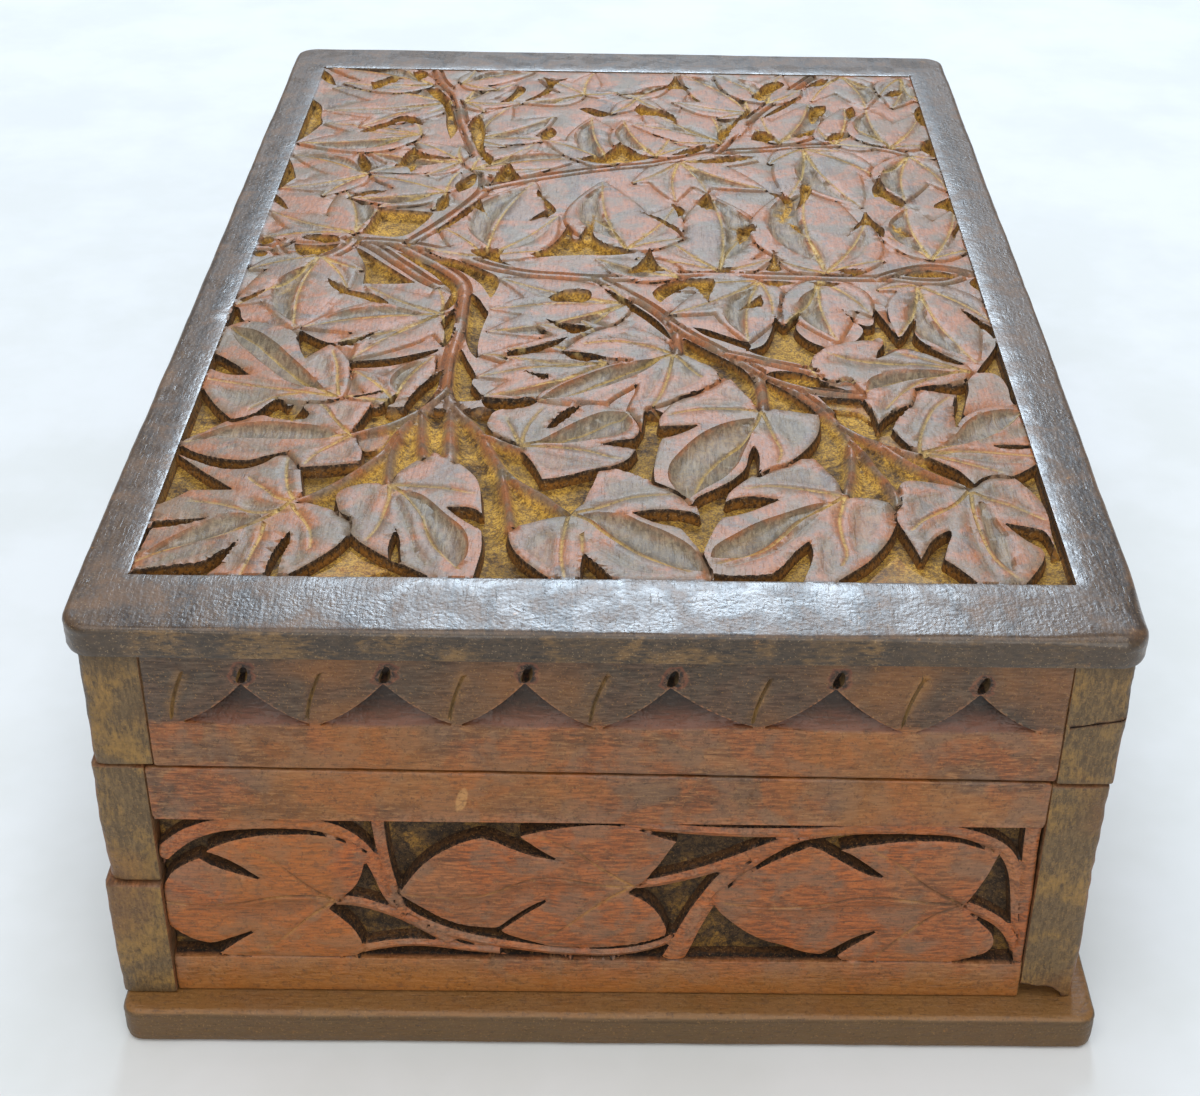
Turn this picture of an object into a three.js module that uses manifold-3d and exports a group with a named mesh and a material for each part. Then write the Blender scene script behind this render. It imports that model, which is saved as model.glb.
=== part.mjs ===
// Carved wooden box: a glued board box on a stepped base board, with a raised,
// overhanging lid on two mortised butt hinges along one long side.
// Millimetres, +Z up. The origin is on the underside of the base board,
// on the middle of the walls. +Y runs along the long side.
import * as THREE from 'three';
import { mergeVertices } from 'three/addons/utils/BufferGeometryUtils.js';
import Module from 'manifold-3d';

// ---------------------------------------------------------------- dimensions
// base board
const BASE_X0 = -76.5, BASE_X1 = 78.75;
const BASE_Y0 = -124.0, BASE_Y1 = 122.5;
const BASE_TOP = 6.5;
const BASE_CORNER_R = 3.0, BASE_ARRIS = 1.25;

// lid board
const LID_X0 = -77.25, LID_X1 = 77.75;
const LID_Y0 = -120.625, LID_Y1 = 120.625;
const LID_UNDER = 73.0, LID_TOP = 79.0;
const LID_CORNER_R = 4.5, LID_ARRIS = 1.5;

// walls: the side boards run the full length, the end boards sit between them
const WALL_Y0 = -119.0, WALL_Y1 = 119.0;
const WALL_T = 9.0;
const BODY_LEFT_OUT_UPPER = -76.25;
const BODY_LEFT_OUT_LOWER = -77.0;
const BODY_LEFT_IN = -68.0;
const BODY_RIGHT_IN = 66.5, BODY_RIGHT_OUT = 75.5;
const LID_LEFT_OUT = -75.5, LID_LEFT_IN = -66.5;
const LID_RIGHT_IN = 67.0, LID_RIGHT_OUT = 76.0;
const LOWER_BOARD_PROUD = 0.75;      // front end of the lower left board

// the left side of the body is two boards with a shrunk joint between them
const LEFT_JOINT_LOW = 29.25, LEFT_JOINT_HIGH = 29.75;

// parting line between body and lid, a little lower on the hinge side
const BODY_LEFT_TOP = 52.25, LID_LEFT_BOTTOM = 52.625;
const BODY_RIGHT_TOP = 50.25, LID_RIGHT_BOTTOM = 50.75;
const BODY_END_TOP_L = 52.125, BODY_END_TOP_R = 50.875;
const LID_END_BOTTOM_L = 52.5, LID_END_BOTTOM_R = 51.25;

// butt hinges
const AXIS_X = 77.125, AXIS_Z = 50.5;
const BARREL_R = 1.625, PIN_R = 0.95, PIN_BORE_R = 1.05;
const LEAF_T = 1.25, LEAF_IN_X = 68.0;
const HINGE_LEN = 26.0;
const HINGE_Y = [-70.0, 70.0];
const MIDDLE_KNUCKLE = 9.0;          // lid knuckle, between two body knuckles
const KNUCKLE_GAP = 0.25;
const LEAF_CLEAR = 0.3;              // leaf edge to the other leaf's knuckle
const POCKET_CLEAR = 0.25;           // leaf edge to the end of its pocket
const BARREL_SIDES = 24;

// countersunk wood screws
const SCREW_X = 71.5, SCREW_DY = 7.0;
const SCREW_R = 0.8, SCREW_LEN = 8.0, SCREW_TIP = 2.0;
const SCREW_HEAD_R = 1.6, SCREW_HEAD_H = 0.8;
const HOLE_CLEAR = 0.15;
const SCREW_SIDES = 12;
const SLOT_W = 0.4, SLOT_D = 0.35;

// colours
const WALNUT_TOP = 0x5a4438, WALNUT_WALL = 0x6b4a36, WALNUT_END = 0x5c4a33;
const WALNUT_BASE = 0x64482f, BRASS = 0x9a7a3c, STEEL = 0x8a8680;

// ------------------------------------------------------------------- helpers
const wasm = await Module();
wasm.setup();

function solid(geometry) {
  const g = geometry.clone();
  g.deleteAttribute('normal');
  g.deleteAttribute('uv');
  const m = mergeVertices(g, 1e-4);
  return new wasm.Manifold(new wasm.Mesh({
    numProp: 3,
    vertProperties: new Float32Array(m.attributes.position.array),
    triVerts: new Uint32Array(m.index.array),
  }));
}

function geometryOf(manifold) {
  const mesh = manifold.getMesh();
  const g = new THREE.BufferGeometry();
  g.setAttribute('position', new THREE.BufferAttribute(new Float32Array(mesh.vertProperties), 3));
  g.setIndex(new THREE.BufferAttribute(new Uint32Array(mesh.triVerts), 1));
  g.computeVertexNormals();
  return g;
}

function cut(base, ...tools) {
  return geometryOf(tools.reduce((s, t) => s.subtract(solid(t)), solid(base)));
}

function join(base, ...others) {
  return geometryOf(others.reduce((s, t) => s.add(solid(t)), solid(base)));
}

function block(x0, x1, y0, y1, z0, z1) {
  const g = new THREE.BoxGeometry(x1 - x0, y1 - y0, z1 - z0);
  g.translate((x0 + x1) / 2, (y0 + y1) / 2, (z0 + z1) / 2);
  return g;
}

// a board seen from above, with rounded corners and eased arrises
function boardGeometry(x0, x1, y0, y1, z0, z1, cornerR, arris) {
  const a = x0 + arris, b = x1 - arris, c = y0 + arris, d = y1 - arris;
  const r = cornerR - arris;
  const s = new THREE.Shape();
  s.moveTo(a + r, c);
  s.lineTo(b - r, c);
  s.absarc(b - r, c + r, r, -Math.PI / 2, 0, false);
  s.lineTo(b, d - r);
  s.absarc(b - r, d - r, r, 0, Math.PI / 2, false);
  s.lineTo(a + r, d);
  s.absarc(a + r, d - r, r, Math.PI / 2, Math.PI, false);
  s.lineTo(a, c + r);
  s.absarc(a + r, c + r, r, Math.PI, Math.PI * 1.5, false);
  const g = new THREE.ExtrudeGeometry(s, {
    depth: z1 - z0 - 2 * arris, steps: 1, curveSegments: 5,
    bevelEnabled: true, bevelThickness: arris, bevelSize: arris, bevelSegments: 3,
  });
  g.translate(0, 0, z0 + arris);
  return g;
}

// an end board: four corners in the X-Z plane, extruded along Y
function endBoardGeometry(corners, y0, y1) {
  const s = new THREE.Shape(corners.map(([x, z]) => new THREE.Vector2(x, z)));
  const g = new THREE.ExtrudeGeometry(s, { depth: y1 - y0, steps: 1, bevelEnabled: false });
  g.rotateX(Math.PI / 2);
  g.translate(0, y1, 0);
  return g;
}

// a cylinder along Y, centred at (x, y, z)
function rodY(r, len, x, y, z, sides) {
  const g = new THREE.CylinderGeometry(r, r, len, sides);
  g.translate(x, y, z);
  return g;
}

// a cylinder along Z from z0 to z1
function rodZ(r, z0, z1, x, y, sides) {
  const g = new THREE.CylinderGeometry(r, r, z1 - z0, sides);
  g.rotateX(Math.PI / 2);
  g.translate(x, y, (z0 + z1) / 2);
  return g;
}

// screw outline turned about Z: head at z = 0 facing up, point down
function screwGeometry() {
  const p = [
    new THREE.Vector2(0, -SCREW_LEN),
    new THREE.Vector2(SCREW_R * 0.55, -SCREW_LEN + SCREW_TIP * 0.5),
    new THREE.Vector2(SCREW_R, -SCREW_LEN + SCREW_TIP),
    new THREE.Vector2(SCREW_R, -SCREW_HEAD_H),
    new THREE.Vector2(SCREW_HEAD_R, -0.12),
    new THREE.Vector2(SCREW_HEAD_R, 0),
    new THREE.Vector2(0, 0),
  ];
  const body = new THREE.LatheGeometry(p, SCREW_SIDES);
  body.rotateX(Math.PI / 2);
  return cut(body, block(-SCREW_HEAD_R * 1.2, SCREW_HEAD_R * 1.2, -SLOT_W / 2, SLOT_W / 2, -SLOT_D, 0.5));
}

// clearance for a screw through a leaf and into the wood
function screwClearance(x, y, faceZ, dir) {
  const p = [
    new THREE.Vector2(0, -SCREW_LEN - HOLE_CLEAR * 2),
    new THREE.Vector2(SCREW_R + HOLE_CLEAR, -SCREW_LEN - HOLE_CLEAR * 2),
    new THREE.Vector2(SCREW_R + HOLE_CLEAR, -SCREW_HEAD_H - HOLE_CLEAR),
    new THREE.Vector2(SCREW_HEAD_R + HOLE_CLEAR, -0.12 - HOLE_CLEAR),
    new THREE.Vector2(SCREW_HEAD_R + HOLE_CLEAR, 0.6),
    new THREE.Vector2(0, 0.6),
  ];
  const g = new THREE.LatheGeometry(p, SCREW_SIDES);
  g.rotateX(dir > 0 ? Math.PI / 2 : -Math.PI / 2);
  g.translate(x, y, faceZ);
  return g;
}

function wood(colour, roughness) {
  return new THREE.MeshStandardMaterial({ color: colour, roughness, metalness: 0 });
}

function metal(colour, roughness) {
  return new THREE.MeshStandardMaterial({ color: colour, roughness, metalness: 1 });
}

function named(name, geometry, material) {
  const mesh = new THREE.Mesh(geometry, material);
  mesh.name = name;
  return mesh;
}

// ------------------------------------------------------------- hinge pockets
const leafY = HINGE_Y.map((y) => [y - HINGE_LEN / 2, y + HINGE_LEN / 2]);
const screwY = HINGE_Y.map((y) => [y - SCREW_DY, y + SCREW_DY]);

function bodyPockets() {
  return leafY.flatMap(([y0, y1], i) => [
    block(LEAF_IN_X - POCKET_CLEAR, BODY_RIGHT_OUT + 2, y0 - POCKET_CLEAR, y1 + POCKET_CLEAR,
      BODY_RIGHT_TOP - LEAF_T, BODY_RIGHT_TOP + 2),
    ...screwY[i].map((y) => screwClearance(SCREW_X, y, BODY_RIGHT_TOP, 1)),
  ]);
}

function lidPockets() {
  return leafY.flatMap(([y0, y1], i) => [
    block(LEAF_IN_X - POCKET_CLEAR, LID_RIGHT_OUT + 2, y0 - POCKET_CLEAR, y1 + POCKET_CLEAR,
      LID_RIGHT_BOTTOM - 2, LID_RIGHT_BOTTOM + LEAF_T),
    ...screwY[i].map((y) => screwClearance(SCREW_X, y, LID_RIGHT_BOTTOM, -1)),
  ]);
}

// --------------------------------------------------------------- hinge parts
function knuckle(yc, len) {
  return rodY(BARREL_R, len, AXIS_X, yc, AXIS_Z, BARREL_SIDES);
}

function leafGeometry(i, onLid) {
  const [y0, y1] = leafY[i];
  const yc = HINGE_Y[i];
  const m = MIDDLE_KNUCKLE / 2;
  const z0 = onLid ? LID_RIGHT_BOTTOM : BODY_RIGHT_TOP - LEAF_T;
  const z1 = z0 + LEAF_T;
  const face = onLid ? LID_RIGHT_BOTTOM : BODY_RIGHT_TOP;
  const edge = AXIS_X - BARREL_R - LEAF_CLEAR;
  const plate = block(LEAF_IN_X, edge, y0, y1, z0, z1);
  const outer = (HINGE_LEN / 2 - m - KNUCKLE_GAP / 2);
  const parts = [];
  if (onLid) {
    const h = m - KNUCKLE_GAP / 2;
    parts.push(block(edge - 1, AXIS_X, yc - h, yc + h, z0, z1), knuckle(yc, 2 * h));
  } else {
    for (const s of [-1, 1]) {
      const c = yc + s * (m + KNUCKLE_GAP / 2 + outer / 2);
      parts.push(block(edge - 1, AXIS_X, c - outer / 2, c + outer / 2, z0, z1), knuckle(c, outer));
    }
  }
  const joined = join(plate, ...parts);
  return cut(joined,
    rodY(PIN_BORE_R, HINGE_LEN + 4, AXIS_X, yc, AXIS_Z, BARREL_SIDES),
    ...screwY[i].map((y) => screwClearance(SCREW_X, y, face, onLid ? -1 : 1)));
}

// -------------------------------------------------------------------- object
const box = new THREE.Group();
const body = new THREE.Group();
const lid = new THREE.Group();
box.add(body, lid);

// body
body.add(named('base_board',
  boardGeometry(BASE_X0, BASE_X1, BASE_Y0, BASE_Y1, 0, BASE_TOP, BASE_CORNER_R, BASE_ARRIS),
  wood(WALNUT_BASE, 0.55)));

const bodyEnd = [
  [BODY_LEFT_IN, BASE_TOP], [BODY_RIGHT_IN, BASE_TOP],
  [BODY_RIGHT_IN, BODY_END_TOP_R], [BODY_LEFT_IN, BODY_END_TOP_L],
];
body.add(named('body_front_wall', endBoardGeometry(bodyEnd, WALL_Y0, WALL_Y0 + WALL_T), wood(WALNUT_WALL, 0.5)));
body.add(named('body_back_wall', endBoardGeometry(bodyEnd, WALL_Y1 - WALL_T, WALL_Y1), wood(WALNUT_WALL, 0.5)));
body.add(named('body_left_wall_lower',
  block(BODY_LEFT_OUT_LOWER, BODY_LEFT_IN, WALL_Y0 - LOWER_BOARD_PROUD, WALL_Y1, BASE_TOP, LEFT_JOINT_LOW),
  wood(WALNUT_END, 0.6)));
body.add(named('body_left_wall_upper',
  block(BODY_LEFT_OUT_UPPER, BODY_LEFT_IN, WALL_Y0, WALL_Y1, LEFT_JOINT_HIGH, BODY_LEFT_TOP),
  wood(WALNUT_END, 0.6)));
body.add(named('body_right_wall',
  cut(block(BODY_RIGHT_IN, BODY_RIGHT_OUT, WALL_Y0, WALL_Y1, BASE_TOP, BODY_RIGHT_TOP), ...bodyPockets()),
  wood(WALNUT_END, 0.6)));

// lid
lid.add(named('lid_board',
  boardGeometry(LID_X0, LID_X1, LID_Y0, LID_Y1, LID_UNDER, LID_TOP, LID_CORNER_R, LID_ARRIS),
  wood(WALNUT_TOP, 0.45)));

const lidEnd = [
  [LID_LEFT_IN, LID_END_BOTTOM_L], [LID_RIGHT_IN, LID_END_BOTTOM_R],
  [LID_RIGHT_IN, LID_UNDER], [LID_LEFT_IN, LID_UNDER],
];
lid.add(named('lid_front_wall', endBoardGeometry(lidEnd, WALL_Y0, WALL_Y0 + WALL_T), wood(WALNUT_WALL, 0.5)));
lid.add(named('lid_back_wall', endBoardGeometry(lidEnd, WALL_Y1 - WALL_T, WALL_Y1), wood(WALNUT_WALL, 0.5)));
lid.add(named('lid_left_wall',
  block(LID_LEFT_OUT, LID_LEFT_IN, WALL_Y0, WALL_Y1, LID_LEFT_BOTTOM, LID_UNDER),
  wood(WALNUT_END, 0.6)));
lid.add(named('lid_right_wall',
  cut(block(LID_RIGHT_IN, LID_RIGHT_OUT, WALL_Y0, WALL_Y1, LID_RIGHT_BOTTOM, LID_UNDER), ...lidPockets()),
  wood(WALNUT_END, 0.6)));

// hinges and their screws
const HINGE_NAMES = ['front', 'rear'];
HINGE_NAMES.forEach((which, i) => {
  body.add(named(`hinge_${which}_body_leaf`, leafGeometry(i, false), metal(BRASS, 0.45)));
  lid.add(named(`hinge_${which}_lid_leaf`, leafGeometry(i, true), metal(BRASS, 0.45)));
  body.add(named(`hinge_${which}_pin`,
    rodY(PIN_R, HINGE_LEN + 1.0, AXIS_X, HINGE_Y[i], AXIS_Z, 16), metal(STEEL, 0.4)));
  screwY[i].forEach((y, k) => {
    const bodyScrew = named(`screw_${which}_body_${k + 1}`, screwGeometry(), metal(STEEL, 0.45));
    bodyScrew.position.set(SCREW_X, y, BODY_RIGHT_TOP);
    body.add(bodyScrew);
    const lidScrew = named(`screw_${which}_lid_${k + 1}`, screwGeometry(), metal(STEEL, 0.45));
    lidScrew.position.set(SCREW_X, y, LID_RIGHT_BOTTOM);
    lidScrew.rotation.x = Math.PI;
    lid.add(lidScrew);
  });
});

export default box;
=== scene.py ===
# Carved wooden box: boards as carved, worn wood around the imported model.
# Metres, +Z up. Shapes are worked out in millimetres and scaled at the end.
import bpy, math
import numpy as np
from mathutils import Matrix, Vector
from mathutils.geometry import delaunay_2d_cdt


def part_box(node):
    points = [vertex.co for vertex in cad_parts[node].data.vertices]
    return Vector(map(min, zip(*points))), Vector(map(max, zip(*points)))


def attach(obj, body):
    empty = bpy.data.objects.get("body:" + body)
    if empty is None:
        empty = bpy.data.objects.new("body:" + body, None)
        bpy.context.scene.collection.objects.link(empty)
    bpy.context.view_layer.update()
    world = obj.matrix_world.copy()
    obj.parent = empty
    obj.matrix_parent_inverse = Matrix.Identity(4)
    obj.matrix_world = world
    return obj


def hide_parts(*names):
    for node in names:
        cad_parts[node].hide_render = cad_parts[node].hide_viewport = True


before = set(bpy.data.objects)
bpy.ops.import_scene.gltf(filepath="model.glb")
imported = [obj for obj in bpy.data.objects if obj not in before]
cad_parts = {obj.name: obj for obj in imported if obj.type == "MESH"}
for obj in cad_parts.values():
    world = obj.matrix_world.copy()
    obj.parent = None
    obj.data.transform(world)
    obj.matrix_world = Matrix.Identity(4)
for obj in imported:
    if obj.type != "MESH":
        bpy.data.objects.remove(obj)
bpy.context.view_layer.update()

MM = 0.001


# ------------------------------------------------------------------ numbers
def smooth(t):
    t = np.clip(t, 0.0, 1.0)
    return t * t * (3 - 2 * t)


def lattice(ix, iy, seed):
    h = (ix.astype(np.int64) * 374761393 + iy.astype(np.int64) * 668265263 + seed * 1274126177) & 0xFFFFFFFF
    h = ((h ^ (h >> 13)) * 1103515245) & 0xFFFFFFFF
    h = ((h ^ (h >> 15)) * 2246822519) & 0xFFFFFFFF
    return ((h ^ (h >> 16)) & 0xFFFF) / 32767.5 - 1.0


def noise(x, y, size, seed=0):
    """smooth noise from -1 to 1, features about size across"""
    x, y = np.broadcast_arrays(np.atleast_1d(np.asarray(x, float)), np.atleast_1d(np.asarray(y, float)))
    x, y = x / size + 1000.0, y / size + 1000.0
    ix, iy = np.floor(x), np.floor(y)
    fx, fy = smooth(x - ix), smooth(y - iy)
    ix, iy = ix.astype(np.int64), iy.astype(np.int64)
    a, b = lattice(ix, iy, seed), lattice(ix + 1, iy, seed)
    c, d = lattice(ix, iy + 1, seed), lattice(ix + 1, iy + 1, seed)
    return (a * (1 - fx) + b * fx) * (1 - fy) + (c * (1 - fx) + d * fx) * fy


def fbm(x, y, size, seed=0, n=3):
    out, amp, tot = 0.0, 1.0, 0.0
    for k in range(n):
        out = out + amp * noise(x, y, size / 2 ** k, seed + 17 * k)
        tot += amp
        amp *= 0.55
    return out / tot


# ------------------------------------------------------------------- curves
def curve(pts, closed=True, step=0.35):
    """smooth line through points; a third value of 1 is a sharp corner"""
    P = [(float(p[0]), float(p[1])) for p in pts]
    C = [len(p) > 2 and p[2] == 1 for p in pts]
    n, out = len(P), []

    def unit(t, other):
        l = math.hypot(*t)
        return (t[0] / l, t[1] / l) if l > 1e-9 else other

    def tangent(i):
        if C[i] or (not closed and i in (0, n - 1)):
            return None
        a, b = P[(i - 1) % n], P[(i + 1) % n]
        return (b[0] - a[0], b[1] - a[1])

    for i in range(n if closed else n - 1):
        p0, p1 = P[i], P[(i + 1) % n]
        L = math.hypot(p1[0] - p0[0], p1[1] - p0[1])
        if L < 1e-6:
            continue
        ch = ((p1[0] - p0[0]) / L, (p1[1] - p0[1]) / L)
        t0, t1 = tangent(i), tangent((i + 1) % n)
        u0 = unit(t0, ch) if t0 else None
        u1 = unit(t1, ch) if t1 else None
        if u0 is None and u1 is None:
            u0 = u1 = ch
        elif u0 is None:
            d = u1[0] * ch[0] + u1[1] * ch[1]
            u0 = unit((2 * d * ch[0] - u1[0] + ch[0], 2 * d * ch[1] - u1[1] + ch[1]), ch)
        elif u1 is None:
            d = u0[0] * ch[0] + u0[1] * ch[1]
            u1 = unit((2 * d * ch[0] - u0[0] + ch[0], 2 * d * ch[1] - u0[1] + ch[1]), ch)
        k = max(1, int(round(L / step)))
        for j in range(k):
            t = j / k
            h00 = 2 * t ** 3 - 3 * t * t + 1
            h10 = t ** 3 - 2 * t * t + t
            h01 = -2 * t ** 3 + 3 * t * t
            h11 = t ** 3 - t * t
            out.append((h00 * p0[0] + h10 * L * u0[0] + h01 * p1[0] + h11 * L * u1[0],
                        h00 * p0[1] + h10 * L * u0[1] + h01 * p1[1] + h11 * L * u1[1]))
    if not closed:
        out.append(P[-1])
    return np.array(out)


def evenly(c, step, closed=True):
    """points along a line at even steps, and the left normal at each"""
    q = np.vstack([c, c[:1]]) if closed else c
    seg = np.hypot(*(q[1:] - q[:-1]).T)
    s = np.concatenate([[0], np.cumsum(seg)])
    n = max(3, int(round(s[-1] / step)))
    t = np.linspace(0, s[-1], n, endpoint=not closed)
    p = np.stack([np.interp(t, s, q[:, 0]), np.interp(t, s, q[:, 1])], 1)
    e = 0.12
    if closed:
        a = np.stack([np.interp((t - e) % s[-1], s, q[:, k]) for k in (0, 1)], 1)
        b = np.stack([np.interp((t + e) % s[-1], s, q[:, k]) for k in (0, 1)], 1)
    else:
        a = np.stack([np.interp(np.clip(t - e, 0, s[-1]), s, q[:, k]) for k in (0, 1)], 1)
        b = np.stack([np.interp(np.clip(t + e, 0, s[-1]), s, q[:, k]) for k in (0, 1)], 1)
    d = b - a
    l = np.hypot(d[:, 0], d[:, 1])
    l[l < 1e-9] = 1
    return p, np.stack([-d[:, 1] / l, d[:, 0] / l], 1), t / s[-1]


def area(c):
    x, y = c[:, 0], c[:, 1]
    return 0.5 * float(np.sum(x * np.roll(y, -1) - np.roll(x, -1) * y))


def signed(poly, X, Y):
    """distance to a closed outline, negative inside"""
    A, B = poly, np.roll(poly, -1, 0)
    best = np.full(len(X), 1e9)
    wind = np.zeros(len(X), int)
    for k in range(0, len(A), 80):
        ax, ay, bx, by = A[k:k + 80, 0], A[k:k + 80, 1], B[k:k + 80, 0], B[k:k + 80, 1]
        ex, ey = bx - ax, by - ay
        px, py = X[:, None] - ax, Y[:, None] - ay
        t = np.clip((px * ex + py * ey) / np.maximum(ex * ex + ey * ey, 1e-12), 0, 1)
        best = np.minimum(best, ((px - t * ex) ** 2 + (py - t * ey) ** 2).min(1))
        cross = ex * py - ey * px
        up = (py >= 0) & (Y[:, None] < by) & (cross > 0)
        down = (py < 0) & (Y[:, None] >= by) & (cross < 0)
        wind += up.sum(1) - down.sum(1)
    return np.where(wind != 0, -1.0, 1.0) * np.sqrt(best)


def along(line, X, Y):
    """distance to an open line, and how far along it, 0 to 1"""
    A, B = line[:-1], line[1:]
    seg = np.hypot(*(B - A).T)
    s = np.concatenate([[0], np.cumsum(seg)])
    ex, ey = (B - A).T
    px, py = X[:, None] - A[:, 0], Y[:, None] - A[:, 1]
    t = np.clip((px * ex + py * ey) / np.maximum(ex * ex + ey * ey, 1e-12), 0, 1)
    d2 = (px - t * ex) ** 2 + (py - t * ey) ** 2
    k = d2.argmin(1)
    r = np.arange(len(X))
    return np.sqrt(d2[r, k]), (s[k] + t[r, k] * seg[k]) / s[-1]


# ------------------------------------------------------------------- relief
class Relief:
    """A carved face: heights in mm at points of its plane, 0 at the uncut face."""

    def __init__(self, P, base, floor):
        self.P, self.H, self.floor = P, base.copy(), floor
        self.hollow = np.zeros(len(P))
        self.vein = np.zeros(len(P))
        self.leafy = np.zeros(len(P))
        self.stemmy = np.zeros(len(P))

    def near(self, c, m):
        lo, hi = c.min(0) - m, c.max(0) + m
        P = self.P
        return np.nonzero((P[:, 0] > lo[0]) & (P[:, 0] < hi[0]) & (P[:, 1] > lo[1]) & (P[:, 1] < hi[1]))[0]

    def leaf(self, outlines, veins, hollows, z=0.0, cut=True, seed=0, groove=(1.0, 1.1), wall=6.0,
             crown=0.0, vein_depth=0.42, solid=False):
        allp = np.vstack(outlines)
        i = self.near(allp, 1.8)
        if not len(i):
            return
        X, Y = self.P[i].T
        s = np.full(len(i), 1e9)
        for c in outlines:
            s = np.minimum(s, signed(c, X, Y))
        inner = np.minimum(s, 0)
        c0 = allp.mean(0)
        r = max(np.ptp(allp[:, 0]), np.ptp(allp[:, 1])) / 2
        top = z - 0.12 * np.exp(inner / 0.22) - crown * np.exp(inner / 2.6) + 0.07 * noise(X, Y, 6.0, seed) - 0.08
        top = top + 0.10 * ((X - c0[0]) * math.cos(seed * 2.4) + (Y - c0[1]) * math.sin(seed * 2.4)) / r
        edge = z - 0.20 - crown
        h = self.H[i]
        g = np.where(s < groove[1], -groove[0] * (1 - np.clip(s / groove[1], 0, 1)), 0.0)
        out = np.maximum(np.minimum(h, g) if cut else h, edge - wall * s)
        inside = s <= 0
        new = np.where(inside, np.maximum(top, h) if not cut and not solid else top, out)
        hol = np.where(inside, 0.0, self.hollow[i])
        for c, depth in hollows:
            d = signed(curve(c), X, Y)
            m = np.sin(0.5 * np.pi * np.clip(-d / 1.5, 0, 1)) * inside
            new = new - depth * m * (1 + 0.16 * noise(X, Y, 1.6, seed + 5))
            hol = np.maximum(hol, np.clip(-d / 0.45, 0, 1) * inside * min(1.0, 0.35 + depth * 0.8))
        vn = np.where(inside, 0.0, self.vein[i])
        for n, v in enumerate(veins):
            line = curve(v, False, 0.8)
            d, t = along(line, X, Y)
            w = 0.36 - 0.15 * t
            m = np.clip(1 - d / w, 0, 1) * inside * (1 - 0.6 * t)
            new = new - vein_depth * (1.0 if n == 0 else 0.8) * m
            vn = np.maximum(vn, np.clip(1.25 - d / w, 0, 1) * inside * (1 - 0.45 * t))
        self.H[i], self.hollow[i], self.vein[i] = new, hol, vn
        self.leafy[i] = np.where(inside, np.clip(-s / 0.6, 0, 1), np.minimum(self.leafy[i], np.clip(s / 0.8, 0, 1)))
        self.stemmy[i] = np.where(inside, 0.0, self.stemmy[i])

    def pocket(self, c, wall=6.5, depth=None, soft=False):
        i = self.near(c, 0.1)
        if not len(i):
            return
        X, Y = self.P[i].T
        s = signed(c, X, Y)
        f = self.floor[i] if depth is None else np.full(len(i), -depth)
        cutto = np.maximum(f, -0.3 + wall * s)
        self.H[i] = np.where(s < 0, np.minimum(self.H[i], cutto), self.H[i])
        self.leafy[i] = np.where(s < 0, 0.0, self.leafy[i])
        if soft:
            self.stemmy[i] = np.where(s < 0, 1.0, self.stemmy[i])
        self.vein[i] = np.where(s < -0.1, 0.0, self.vein[i])
        self.hollow[i] = np.where(s < -0.1, 0.0, self.hollow[i])

    def stem(self, line, w0, w1, z=-0.32, cut=True, groove=(1.5, 1.0), wall=4.5, keep=True, round_=0.38, rows=None, flank=None):
        i = self.near(line, 4.0)
        if not len(i):
            return
        X, Y = self.P[i].T
        d, t = along(line, X, Y)
        hw = 0.5 * (w0 + (w1 - w0) * t)
        s = d - hw
        top = z - round_ * np.clip(d / hw, 0, 1) ** 2.2 + 0.05 * noise(X, Y, 2.5, 3)
        edge = z - round_ - 0.02
        h = self.H[i]
        lf = self.leafy[i] if keep else np.zeros(len(i))
        g = np.where(s < groove[1], -groove[0] * (1 - np.clip(s / groove[1], 0, 1)), 0.0)
        low = np.minimum(h, g) if cut else h
        low = low * (1 - lf) + h * lf
        fall = wall * s
        if flank is not None:
            q = np.clip(s / (flank * (1 + 0.25 * noise(X, Y, 4.0, 8))), 0, 1)
            fall = np.where(q < 1, (edge - self.floor[i]) * (1 - (1 - q) ** 1.7), 9.0)
        out = np.maximum(low, edge - fall)
        mid = top * (1 - lf) + np.maximum(top, h) * lf
        end = np.minimum(1, np.minimum(t, 1 - t) * 40 + 0.55)
        self.H[i] = np.where(s <= 0, np.where(end < 1, np.maximum(h, mid * end + (1 - end) * h), mid), out)
        self.hollow[i] = np.where((s <= 0) & (lf < 0.5), 0.0, self.hollow[i])
        self.vein[i] = np.where((s <= 0) & (lf < 0.5), 0.0, self.vein[i])
        self.stemmy[i] = np.maximum(self.stemmy[i], np.clip(1 - s / (flank or 1.2), 0, 1) ** 0.5 * (1 - lf) * (self.H[i] > h + 0.02))


def lobe(J, T, width=0.27, bend=0.0, n=26):
    """one pointed lobe of a leaf, from its stalk end to its tip"""
    J, T = np.array(J[:2], float), np.array(T[:2], float)
    d = T - J
    L = math.hypot(*d)
    nn = np.array([-d[1], d[0]]) / L
    t = np.linspace(0, 1, n)
    w = width * L * np.sin(np.pi * t ** 0.82) ** 0.9 * (1 - 0.18 * t)
    ax = J + d * t[:, None] + nn * (bend * L * np.sin(np.pi * t))[:, None]
    return np.vstack([ax + nn * w[:, None], (ax - nn * w[:, None])[::-1][1:-1]])


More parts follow.
